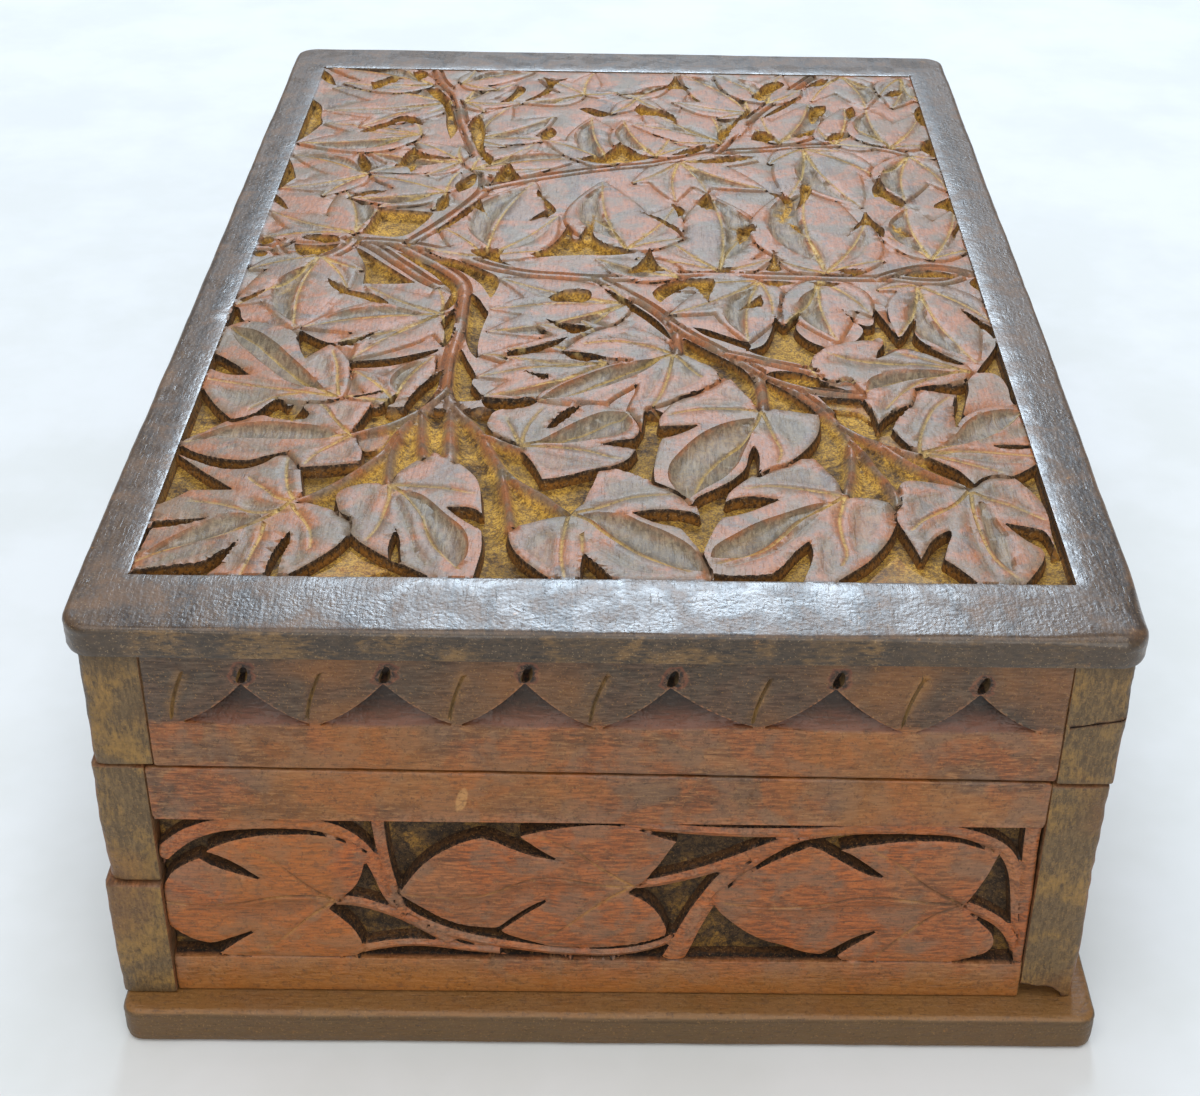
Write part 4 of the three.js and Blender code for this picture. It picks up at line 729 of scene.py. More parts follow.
 [(4.5,25.2,1),(8,20.5),(11,16.5),(13.7,11.2,1),(12.2,17.0),(9.2,21.0)],
 [(24.2,10.5,1),(23.8,15),(24.4,18.6),(26.8,19.0,1),(27.8,17.2),(25.8,13.5)],
 [(34.5,21.5,1),(35.3,18.5),(36.8,15.0,1),(36.4,19)],
 [(45.5,13.3,1),(47.3,18),(49.2,22.5),(50.3,27.5,1),(51.5,22),(53.3,17.5),(52.6,13.5,1),(51.4,17.2),(49.8,19.5),(47.5,17.0)],
 [(55.0,21.0,1),(56.8,19.2),(58.8,14.0,1),(57.2,15.5),(55.4,18.5)],
 [(66.8,13.0,1),(67.8,17),(69.6,21,1),(69.6,36,1),(67.8,33.5),(65,30.5),(64.6,28.6,1),(66.8,27.8),(68.3,25),(68.0,20),(66.5,16)],
 [(12.4,22.0,1),(12,25),(10.8,29.2,1),(13,27.3),(13.8,24.8)],
 [(16.3,28.5),(17,31.8),(18.6,35.0,1),(19.5,30.5),(19.9,25.5,1),(18,26)],
 [(32.6,21.2,1),(33.4,25.5),(34.3,29),(33.2,32.3),(30.5,35.3,1),(33.8,34.2),(36,31.2),(35.8,28.4),(34.4,24)],
 [(36.2,27,1),(37.5,32.5),(38,38.5),(39.8,42.5,1),(40.5,38),(39.3,32.5),(37.5,28.5)],
 [(53.0,33.5,1),(52.8,37.5),(53.9,41.5),(55.2,45.0,1),(55.3,40.0),(56.2,36.0),(58.8,31.0),(58.2,28.9,1),(56,30.5),(54.3,33.8)],
 [(-32.4,33.0,1),(-33.4,37),(-31.5,41),(-29.6,44.2,1),(-29.2,40),(-30.0,36)],
 [(-27.0,47.5,1),(-26.4,51.5),(-28.3,55.3),(-29.0,60),(-29.0,66),(-30,73),(-31.5,76.5,1),(-32.9,71.5),(-32.2,65),(-30.5,57.5),(-28.4,50.5)],
 [(-26.0,38.5,1),(-25.2,43.0),(-23,49.6,1),(-21.6,45),(-20.2,41.4,1),(-22.5,39.6)],
 [(-16.2,34.5,1),(-14.5,30.5),(-12.8,27),(-12.2,24),(-14.5,20.8),(-17.8,19.0,1),(-15.8,22),(-14.2,25),(-14.8,29),(-16.4,32)],
 [(-49.8,12.5,1),(-48.8,18),(-47.6,24.5,1),(-43.5,24),(-39.5,23.4),(-36.6,22.8,1),(-37.3,19.5),(-38.7,16),(-40.8,12),(-43,11),(-47,11.5)],
 [(-36.2,11.5,1),(-34.8,15.5),(-32.2,20.5),(-29.6,25.3),(-28.0,30.6,1),(-26.8,26),(-25.6,21.2,1),(-27.8,24.8),(-29.4,22.0),(-32.4,17)],
 [(-36.2,23.5,1),(-36.4,28),(-34.6,33.2,1),(-33.9,28),(-34.7,24)],
 [(-55.0,28.5,1),(-53.2,31.5),(-50.5,33.5),(-46.8,33.5,1),(-49.5,31.2),(-52.5,29.8)],
 [(-69.6,31,1),(-67.8,28.5),(-65.6,23.2,1),(-67.2,24.5),(-69.6,28,1)],
 [(-69.6,50,1),(-68.2,46),(-66.6,39.5,1),(-68.2,36),(-69.6,33,1)],
 [(-54.9,53.5,1),(-55,49),(-54,45),(-53,42.5,1),(-51.6,45.5),(-53,50)],
 [(-47.0,46.5,1),(-45.5,52),(-43.5,59.0,1),(-42.5,54.5),(-38,51.8),(-32.5,51.5,1),(-37,50.3),(-42.5,50),(-42.2,45.5),(-43.3,43.0,1),(-44.5,46)],
 [(-56.5,64.8,1),(-54.8,68),(-51,71.5),(-47.8,75.0),(-44.5,73.5),(-43,69.5,1),(-45.5,71),(-48,71.5),(-51,68.5),(-54,65.5)],
 [(-36.4,62,1),(-38.0,70),(-38.8,78),(-40.6,84),(-44.5,91.5,1),(-42,92.5),(-39.3,87),(-37.4,80.5),(-36.3,74),(-35.3,68)],
 [(-69.6,85,1),(-66.8,80.5),(-66,74),(-65.3,70),(-67.5,63),(-69.6,58.5,1)],
 [(-69.6,104,1),(-67.3,100.5),(-66,96.5),(-65.3,93.5,1),(-67.5,95.5),(-69.6,99,1)],
 [(-57.5,96,1),(-55,97.5),(-52.5,100),(-51,98),(-53.5,94.5),(-56.5,90.5,1)],
 [(-48.5,102.5,1),(-46.0,104.3),(-44.8,100.4),(-46.8,97.8,1)],
 [(-27,84.0,1),(-24.5,90),(-23.5,95.5,1),(-21.5,93),(-23,88),(-25,84.5)],
 [(-21.5,86,1),(-18,91),(-16.8,96.5),(-19,103,1),(-15.5,100),(-11,101.5,1),(-14.5,97),(-16,91),(-19,86.5)],
 [(-16.8,62.5,1),(-16.8,66.5),(-14.8,69.8,1),(-13.5,66.5),(-14.8,63)],
 [(-9,81,1),(-6.5,78),(-4,76.2),(-1.5,78.5,1),(-4.5,80.5),(-7,82)],
 [(-8.3,51.0,1),(-6.2,53.0),(-3,54.3),(-1.5,57),(0.8,62.0,1),(2.2,58.5),(4.3,55.5),(7.4,52.8,1),(3,50.8),(-2,49.6)],
 [(11.5,54.4,1),(14.5,57.5),(18.8,61.0,1),(18.6,58.0),(15,55.4)],
 [(14,50.3,1),(20,53.0),(25,54.7),(29.5,54.6,1),(26,51.8),(20,50.3)],
 [(22,63,1),(21.8,68),(24,72.5),(27.3,78),(29,83,1),(29.6,80.5),(27.0,75),(24.9,69.5),(23.8,65.5)],
 [(29,64,1),(29.8,68.0),(31.8,69.5,1),(34.2,65.5),(32.8,63)],
 [(37.5,65,1),(40,69),(43.5,72,1),(42,67)],
 [(45,63.8,1),(46.8,67.5),(50,69.5,1),(48.3,65)],
 [(31.9,77,1),(34.8,82),(38,86.5),(41.5,91,1),(39,85.5),(35,80)],
 [(30.3,90,1),(33,97),(36.5,100.5),(38.4,97.8,1),(35.4,93),(32.5,87.5)],
 [(43,96.4,1),(46.5,101.5),(49,102,1),(47,98.5)],
 [(43,75,1),(42.5,80),(44,84.5),(47,85.5,1),(46.5,81),(44.5,77)],
 [(51.5,78,1),(51.3,83),(53,85,1),(53.2,80)],
 [(69.6,87,1),(67.3,84),(66.5,79),(67.5,74),(69.6,73,1)],
 [(69.6,68,1),(67.5,65),(65.6,61),(67,57),(69.6,54.5,1)],
 [(3.5,81,1),(5,84),(7,82),(10,80.5),(12.5,77),(12.8,72,1),(11,75.5),(8,77.5),(5,77.8)],
 [(-1,90,1),(3,91.5),(8,94),(11.5,98),(13,105.5,1),(14,99),(16.5,94.0,1),(11,94.5),(6,91)],
 [(61,91,1),(63,95),(66,96,1),(64,92)],
]
KETS=[
 [(-60.5,-91.7,1),(-64,-92.2),(-68.8,-92.9,1),(-68.9,-95.1,1),(-67,-94.7),(-64,-93.7)],
 [(-68.7,-94.9,1),(-68.95,-99),(-69.2,-103,1),(-69.6,-99),(-69.5,-95)],
 [(-55.1,-97.9,1),(-55.7,-100.5),(-56.5,-104),(-58.3,-107.3,1),(-69.3,-107.3,1),(-69.0,-106.0,1),(-64,-104.9),(-59.6,-104.1,1),(-57.5,-101.5)],
 [(-47.8,-95.6,1),(-47.4,-98),(-47.9,-102),(-47.9,-107.3,1),(-49.9,-107.3,1),(-49.8,-103.5),(-49,-98.5)],
 [(-32.1,-94.2,1),(-31.1,-97.5),(-30.7,-101),(-30.2,-103.8,1),(-32.3,-102.5,1),(-32.7,-99.5),(-32.5,-96.5)],
 [(-3.7,-100.3,1),(-2.8,-101.5),(-0.5,-105),(1.0,-107.7,1),(-3.9,-107.9,1),(-4.0,-104)],
 [(15.5,-105.3,1),(18,-105.7),(21,-105.7),(24.0,-105.2,1),(25.5,-103.6),(27.5,-100),(29.3,-97.3),(30.3,-96.7,1),(30.6,-99),(30.2,-102),(29.3,-105),(28.4,-108,1),(15.6,-108.1,1)],
 [(-43.3,-106.5,1),(-41,-107),(-39.2,-106.9),(-39.2,-107.5),(-43.2,-107.5,1)],
 [(-5.0,-55.6,1),(-6.5,-56.0),(-8.3,-58),(-9.6,-60.5),(-10.6,-63.3,1),(-9.3,-63.0),(-7.5,-60.5),(-6,-57.8)],
 [(62.2,-67.1,1),(64.5,-66.7),(67.8,-66.9,1),(68.2,-67.9,1),(65.5,-68.3),(63,-67.9)],
 # middle
 [(-27.9,-33.5,1),(-26.3,-36.5),(-25.2,-40),(-24.2,-42.8),(-23.5,-45.5),(-23.9,-47.9),(-23.0,-50),(-21.9,-52.6,1),(-22.0,-54.2,1),(-24,-54.5),(-25.9,-54.5),(-26.7,-52),(-27.3,-49),(-27.5,-45),(-27.6,-40)],
 [(-22.0,-53.1,1),(-19,-53.5),(-15.5,-53.5),(-12.7,-53.0,1),(-12.5,-54.7,1),(-14,-55.9),(-16.5,-56.8),(-18.7,-57.3,1),(-21,-56.5)],
 [(-15.0,-43.6,1),(-13,-44.6),(-11.0,-44.9,1),(-10.9,-46.5,1),(-12.7,-46)],
 [(-45.6,-40.8,1),(-42,-40.3),(-38.5,-39.5),(-34.5,-37.7),(-30.5,-35.6,1),(-30.8,-36.8),(-34,-39.8),(-38,-42.2),(-42,-43.2),(-45.3,-43.3,1)],
 [(-43.6,-53.3,1),(-41,-52.4),(-38.4,-51.0,1),(-38.6,-51.8),(-41,-53.0),(-43.2,-53.9,1)],
 [(-29.0,-42.8,1),(-29.5,-46),(-29.5,-49.5),(-30.4,-53),(-32.1,-56.5),(-34.6,-59.5,1),(-34.6,-56),(-33.4,-51.5),(-31.2,-46.5)],
 [(-36.0,-51.5,1),(-36.2,-54.2),(-37.8,-57.6),(-38.3,-60),(-39.0,-62.8,1),(-41.8,-64.0,1),(-41.2,-61),(-40.2,-56.5,1),(-38.9,-56.6),(-37.6,-54.2)],
 [(-69.6,-38.6,1),(-66.5,-41.3),(-64,-43.7),(-61.9,-46.4,1),(-65,-46.3),(-67.5,-45.2),(-69.6,-44,1)],
 [(-55.7,-29.3,1),(-53.5,-31.5),(-50.5,-33.8),(-48.3,-34.6),(-50.4,-35.0),(-52,-37.5),(-53.3,-40.3,1),(-54.8,-36),(-55.9,-32)],
 [(-48.3,-34.2,1),(-45,-32.2),(-41.7,-29.2,1),(-44.6,-33.2),(-47.8,-35.4,1)],
 [(-53.7,-8.3,1),(-51.1,-10.6),(-48.9,-12.8),(-46.9,-13.6),(-43.9,-15),(-41.7,-17.2),(-41.1,-18.9,1),(-43.9,-17.8),(-47.2,-15.8),(-50.6,-13.9),(-52.8,-11.1)],
 [(-50.3,6.3,1),(-47.8,3.6),(-44.9,0.0),(-41.5,-4.2),(-38.8,-7.5),(-37,-9.4,1),(-41.5,-10.0),(-46.6,-10.0,1),(-46.9,-13.4,1),(-47.2,-5),(-48,-0.5),(-49.5,3.5)],
 [(-42,4,1),(-38,-1.2),(-34.2,-6),(-31.9,-9.8),(-30.3,-13),(-30.8,-17.5),(-31.8,-21.5,1),(-29.6,-19.5),(-28.9,-15),(-29.4,-10.4),(-31.7,-6),(-35.5,-1.5),(-39,2.5)],
 [(-29.3,-20.5,1),(-30.6,-23.5),(-31.0,-26),(-30.2,-29),(-30.0,-33),(-30.4,-36.0,1),(-29.2,-33.5),(-28.6,-28),(-28.6,-23)],
 [(-36,1.5,1),(-31,1.0),(-27,-1.6),(-22.5,-5.6,1),(-21.6,-8),(-21.9,-12),(-22.8,-15.7,1),(-23.8,-12.8),(-25.2,-9.5),(-27.6,-6),(-31,-2.5)],
 [(-26.7,-13,1),(-25,-15.5),(-23.7,-19),(-22.8,-21.5),(-23.2,-25),(-23.7,-30),(-23.8,-35),(-23.3,-39.8,1),(-25.1,-36.5),(-26.3,-31),(-26.6,-25),(-26.7,-19)],
 [(-12.3,-14.5,1),(-9.5,-12.2),(-6,-11.5),(-4.3,-12.7,1),(-4.6,-15.5),(-7.5,-16.6),(-10.5,-16.3)],
 [(-12.3,-23.7,1),(-9,-25.3),(-3.6,-26.8,1),(-5,-28.2),(-7.2,-29.9,1),(-9,-28),(-10.8,-26)],
 [(-8.2,-30.9,1),(-10.2,-32.2),(-12.8,-33.6),(-15.5,-35.2),(-18.6,-36.8,1),(-18,-38.2),(-15,-37.2),(-12,-35.8),(-9.6,-33.2)],
 [(-9.0,-36.4,1),(-6.5,-36.3),(-3.5,-37.3),(-1.2,-38.3,1),(-3,-39.3),(-5.3,-39.9),(-7.3,-38.8)],
 [(-69.2,-19,1),(-67.8,-21.5),(-66.8,-25.2),(-64.9,-26.8,1),(-67,-26.5),(-69.3,-28.5,1)],
 [(-68.6,-17.5,1),(-66.8,-15.5),(-64.3,-13.0,1),(-65.6,-15.8),(-67.8,-18.6,1)],
 [(-69,9.5),(-67,10),(-66.5,7.6),(-68.5,6.8)],[(-61.2,9.8,1),(-58.6,11.3),(-55.6,11.0,1),(-53.8,9.4),(-57.2,8.2)],
 [(-62.2,7.2,1),(-61.5,4.0),(-59.6,1.4),(-57,2.2),(-54.2,5.4),(-53.4,7.6,1),(-57.2,6.6)],[(-68.8,3.6),(-66.8,3.2),(-67.2,1.2),(-69,1.5)],
 [(-16.6,3.5,1),(-13.5,6.5),(-11.5,10.5),(-10.3,14.5),(-9.6,17.8,1),(-8.6,14.5),(-7.8,11),(-6.5,14.5),(-5.4,19),(-4.6,23.2,1),(-4.4,18),(-4.3,12.5),(-2.5,9.2),(0.2,7.5),(4.2,5.2,1),(-1,3.9),(-6,3.7),(-11.5,3.2),(-14.5,2.5)],
 [(-28,4.8,1),(-25.5,6.2),(-21.5,5.0,1),(-22,1.5),(-19,-1.8,1),(-23,0.2),(-26.5,2.8)],
 [(2.0,-3.0,1),(4,-0.8),(5.6,3.5),(6.8,8.2,1),(7.3,3.5),(8.3,-0.5),(9.6,-3.2,1),(6,-3.8)],
 [(28.6,-1.8,1),(29.8,2),(30.6,6.8,1),(31.3,2),(31.8,-1.8,1),(30.2,-2.6)],
 [(19,-2.1,1),(20.8,-1.0),(23.5,-1.5,1),(21.5,-2.7)],[(42.5,-2.2,1),(44.5,-1.0),(48,-2.0,1),(45.3,-3.4)],
 [(56.8,0.6),(59.5,1.6),(62.2,0),(62.4,-2.6),(59.8,-3.8),(56.8,-2.2)],
 [(7,-12.3,1),(8.6,-9.2),(11.5,-7.1),(15,-6.2),(18.6,-5.9,1),(18.9,-8.5),(17.9,-12.5),(17.3,-16.5,1),(16,-12.5),(14.5,-9.8),(12.2,-11.2),(9.8,-14),(8.6,-16.5,1),(7.5,-14.5)],
 [(22.3,-18.4,1),(24.5,-16.8),(27.0,-13.0,1),(27.3,-17.3),(25,-18.2)],
 [(27.2,-6.6,1),(30.5,-6.4),(34.5,-7.2,1),(31,-8.6),(28.6,-8.4)],[(36.5,-6.8,1),(39.5,-6.8),(42.5,-7.4,1),(39.6,-8.9)],
 [(14.2,-26.2,1),(16.5,-26.8),(19.5,-28.8),(22.5,-31),(24.4,-32.8),(23.8,-34.6,1),(20,-31.8),(16.5,-29.3)],
 [(23.6,-34.6,1),(26.5,-32.6),(28,-28.5),(28.8,-24.5),(29.3,-21.2,1),(30.0,-23.5),(30.9,-25.2,1),(32,-22.5),(33.5,-20.0),(34.6,-18.2,1),(33.5,-22.5),(32.9,-26),(33.8,-29),(35.3,-31.3),(37.7,-33.2,1),(36,-35),(34.9,-37.5),(34.2,-40.4,1),(31,-38.9),(27.5,-37.6),(25,-36.0)],
 [(41.8,-18.0,1),(43.2,-21.2),(44.7,-24.2),(46.6,-24.5),(47.3,-21.5),(47.9,-17.5,1),(49.2,-22.5),(50.3,-26.5),(51.1,-29.8,1),(52.6,-26.5),(54.0,-22.5),(55.4,-18.7,1),(54.9,-23.5),(54.2,-28),(55.8,-31.8),(58.5,-35.5),(61.6,-38.8,1),(60.3,-39.3),(57.5,-37.5),(54.5,-34.8),(52.5,-33.3),(49.8,-33.6),(47.6,-36.0),(46.2,-37.6,1),(46.7,-34.8),(48.0,-31.8),(47.6,-29.4),(45.9,-30.4),(43.0,-30.8,1),(44.6,-28),(44.8,-25.6),(43.2,-22.6)],
 [(63.7,-17.5,1),(65.8,-20.5),(67.9,-23.8),(69.6,-26,1),(69.6,-53.5,1),(67.8,-53),(67.7,-47),(66.4,-42.6),(63.0,-42.3,1),(64.8,-38.5),(66.8,-34.5),(68.2,-30.5),(67.3,-26.5),(65.3,-22.5)],
 [(69.6,-2.5,1),(67.8,-4.5),(66.9,-6.3),(67.8,-8.8),(69.6,-11,1)],
 [(12.3,-30,1),(13.6,-31.4),(17,-35.2),(20.5,-39.2),(22.9,-42.3),(24.3,-46),(24.7,-50),(24.6,-55.8,1),(23.2,-52.5),(21.7,-49),(20.4,-45.8,1),(18.5,-44.8,1),(17.3,-41.6),(14.8,-39.2),(12.4,-36.8,1),(12.2,-33)],
 [(26.3,-45.2,1),(28.2,-47.6),(30.6,-50.6),(32.8,-54),(34.5,-57.9,1),(31,-57.0),(27.5,-56.1),(26.4,-56,1),(26.3,-52),(26.3,-48)],
 [(-2,-11,1),(1,-14.0),(4,-17.8),(6.8,-21.8),(9.0,-26),(10.6,-32.0,1),(8.0,-27.5),(5.6,-23.5),(2.7,-19.2),(0.2,-15.4)],
 [(26.5,-43.0,1),(29.5,-42.2),(33.2,-43.2),(35.3,-44.4,1),(36.2,-46.2),(38.5,-48),(40.2,-49.0,1),(36.5,-48.3),(33,-47.3),(29.8,-45.6)],
 [(34.8,-51.0,1),(38,-51.6),(42.4,-52.1,1),(43.2,-54.5),(43.9,-57.5),(44.2,-61.2,1),(45.5,-58.5),(47.3,-56.1),(49,-54.8),(50.3,-53.9,1),(49.2,-56.2),(47.6,-58.9),(46.3,-61.8),(47.3,-64.8),(48.9,-68.3,1),(46.3,-67.2),(43.6,-65.6,1),(41.5,-63.6),(39.4,-61),(37.9,-57.9),(36.2,-54.2)],
 [(51.8,-48.2,1),(54.5,-47.2),(57.5,-46.7),(60.2,-46.2),(61.2,-43.8,1),(60.9,-48.5),(59.9,-52.5),(58.9,-56.5),(57.6,-60.3),(57.0,-61.5,1),(57.1,-58.5),(57.6,-54.5),(58.6,-50.4,1),(56,-49.8),(53.5,-49.0)],
 [(-58.6,-58.9,1),(-57.2,-56.6),(-56,-54.6,1),(-54.1,-56.2),(-53.4,-58.6),(-51.5,-58.6),(-49.8,-59.6,1),(-50.2,-61.3,1),(-52.5,-62.2,1),(-53.8,-61.6),(-55.8,-60.6),(-57.3,-60.2,1)],
 [(-69.6,-50.4,1),(-68,-53.2),(-65.7,-57.2),(-62.3,-61.8,1),(-64.3,-63.6),(-66.8,-66.4),(-69.6,-69.0,1)],
 # back
 [(4.5,25.2,1),(8,20.5),(11,16.5),(13.7,11.2,1),(12.2,17.0),(9.2,21.0)],[(24.2,10.5,1),(23.8,15),(24.4,18.6),(26.8,19.0,1),(27.8,17.2),(25.8,13.5)],
 [(34.5,21.5,1),(35.3,18.5),(36.8,15.0,1),(36.4,19)],[(45.5,13.3,1),(47.3,18),(49.2,22.5),(50.3,27.5,1),(51.5,22),(53.3,17.5),(52.6,13.5,1),(51.4,17.2),(49.8,19.5),(47.5,17.0)],
 [(55.0,21.0,1),(56.8,19.2),(58.8,14.0,1),(57.2,15.5),(55.4,18.5)],[(66.8,13.0,1),(67.8,17),(69.6,21,1),(69.6,36,1),(67.8,33.5),(65,30.5),(64.6,28.6,1),(66.8,27.8),(68.3,25),(68.0,20),(66.5,16)],
 [(12.4,22.0,1),(12,25),(10.8,29.2,1),(13,27.3),(13.8,24.8)],[(16.3,28.5),(17,31.8),(18.6,35.0,1),(19.5,30.5),(19.9,25.5,1),(18,26)],
 [(32.6,21.2,1),(33.4,25.5),(34.3,29),(33.2,32.3),(30.5,35.3,1),(33.8,34.2),(36,31.2),(35.8,28.4),(34.4,24)],[(36.2,27,1),(37.5,32.5),(38,38.5),(39.8,42.5,1),(40.5,38),(39.3,32.5),(37.5,28.5)],
 [(53.0,33.5,1),(52.8,37.5),(53.9,41.5),(55.2,45.0,1),(55.3,40.0),(56.2,36.0),(58.8,31.0),(58.2,28.9,1),(56,30.5),(54.3,33.8)],
 [(-32.4,33.0,1),(-33.4,37),(-31.5,41),(-29.6,44.2,1),(-29.2,40),(-30.0,36)],
 [(-27.0,47.5,1),(-26.4,51.5),(-28.3,55.3),(-29.0,60),(-29.0,66),(-30,73),(-31.5,76.5,1),(-32.9,71.5),(-32.2,65),(-30.5,57.5),(-28.4,50.5)],
 [(-26.0,38.5,1),(-25.2,43.0),(-23,49.6,1),(-21.6,45),(-20.2,41.4,1),(-22.5,39.6)],
 [(-16.2,34.5,1),(-14.5,30.5),(-12.8,27),(-12.2,24),(-14.5,20.8),(-17.8,19.0,1),(-15.8,22),(-14.2,25),(-14.8,29),(-16.4,32)],
 [(-49.8,12.5,1),(-48.8,18),(-47.6,24.5,1),(-43.5,24),(-39.5,23.4),(-36.6,22.8,1),(-37.3,19.5),(-38.7,16),(-40.8,12),(-43,11),(-47,11.5)],
 [(-36.2,11.5,1),(-34.8,15.5),(-32.2,20.5),(-29.6,25.3),(-28.0,30.6,1),(-26.8,26),(-25.6,21.2,1),(-27.8,24.8),(-29.4,22.0),(-32.4,17)],
 [(-36.2,23.5,1),(-36.4,28),(-34.6,33.2,1),(-33.9,28),(-34.7,24)],[(-55.0,28.5,1),(-53.2,31.5),(-50.5,33.5),(-46.8,33.5,1),(-49.5,31.2),(-52.5,29.8)],
 [(-69.6,31,1),(-67.8,28.5),(-65.6,23.2,1),(-67.2,24.5),(-69.6,28,1)],[(-69.6,50,1),(-68.2,46),(-66.6,39.5,1),(-68.2,36),(-69.6,33,1)],
 [(-54.9,53.5,1),(-55,49),(-54,45),(-53,42.5,1),(-51.6,45.5),(-53,50)],
 [(-47.0,46.5,1),(-45.5,52),(-43.5,59.0,1),(-42.5,54.5),(-38,51.8),(-32.5,51.5,1),(-37,50.3),(-42.5,50),(-42.2,45.5),(-43.3,43.0,1),(-44.5,46)],
 [(-56.5,64.8,1),(-54.8,68),(-51,71.5),(-47.8,75.0),(-44.5,73.5),(-43,69.5,1),(-45.5,71),(-48,71.5),(-51,68.5),(-54,65.5)],
 [(-36.4,62,1),(-38.0,70),(-38.8,78),(-40.6,84),(-44.5,91.5,1),(-42,92.5),(-39.3,87),(-37.4,80.5),(-36.3,74),(-35.3,68)],
 [(-69.6,85,1),(-66.8,80.5),(-66,74),(-65.3,70),(-67.5,63),(-69.6,58.5,1)],[(-69.6,104,1),(-67.3,100.5),(-66,96.5),(-65.3,93.5,1),(-67.5,95.5),(-69.6,99,1)],
 [(-57.5,96,1),(-55,97.5),(-52.5,100),(-51,98),(-53.5,94.5),(-56.5,90.5,1)],[(-48.5,102.5,1),(-46.0,104.3),(-44.8,100.4),(-46.8,97.8,1)],
 [(-27,84.0,1),(-24.5,90),(-23.5,95.5,1),(-21.5,93),(-23,88),(-25,84.5)],[(-21.5,86,1),(-18,91),(-16.8,96.5),(-19,103,1),(-15.5,100),(-11,101.5,1),(-14.5,97),(-16,91),(-19,86.5)],
 [(-16.8,62.5,1),(-16.8,66.5),(-14.8,69.8,1),(-13.5,66.5),(-14.8,63)],[(-9,81,1),(-6.5,78),(-4,76.2),(-1.5,78.5,1),(-4.5,80.5),(-7,82)],
 [(-8.3,51.0,1),(-6.2,53.0),(-3,54.3),(-1.5,57),(0.8,62.0,1),(2.2,58.5),(4.3,55.5),(7.4,52.8,1),(3,50.8),(-2,49.6)],
 [(11.5,54.4,1),(14.5,57.5),(18.8,61.0,1),(18.6,58.0),(15,55.4)],[(14,50.3,1),(20,53.0),(25,54.7),(29.5,54.6,1),(26,51.8),(20,50.3)],
 [(22,63,1),(21.8,68),(24,72.5),(27.3,78),(29,83,1),(29.6,80.5),(27.0,75),(24.9,69.5),(23.8,65.5)],[(29,64,1),(29.8,68.0),(31.8,69.5,1),(34.2,65.5),(32.8,63)],[(37.5,65,1),(40,69),(43.5,72,1),(42,67)],[(45,63.8,1),(46.8,67.5),(50,69.5,1),(48.3,65)],
 [(31.9,77,1),(34.8,82),(38,86.5),(41.5,91,1),(39,85.5),(35,80)],[(30.3,90,1),(33,97),(36.5,100.5),(38.4,97.8,1),(35.4,93),(32.5,87.5)],[(43,96.4,1),(46.5,101.5),(49,102,1),(47,98.5)],
 [(43,75,1),(42.5,80),(44,84.5),(47,85.5,1),(46.5,81),(44.5,77)],[(51.5,78,1),(51.3,83),(53,85,1),(53.2,80)],
 [(69.6,87,1),(67.3,84),(66.5,79),(67.5,74),(69.6,73,1)],[(69.6,68,1),(67.5,65),(65.6,61),(67,57),(69.6,54.5,1)],
 [(3.5,81,1),(5,84),(7,82),(10,80.5),(12.5,77),(12.8,72,1),(11,75.5),(8,77.5),(5,77.8)],[(-1,90,1),(3,91.5),(8,94),(11.5,98),(13,105.5,1),(14,99),(16.5,94.0,1),(11,94.5),(6,91)],[(61,91,1),(63,95),(66,96,1),(64,92)],
]
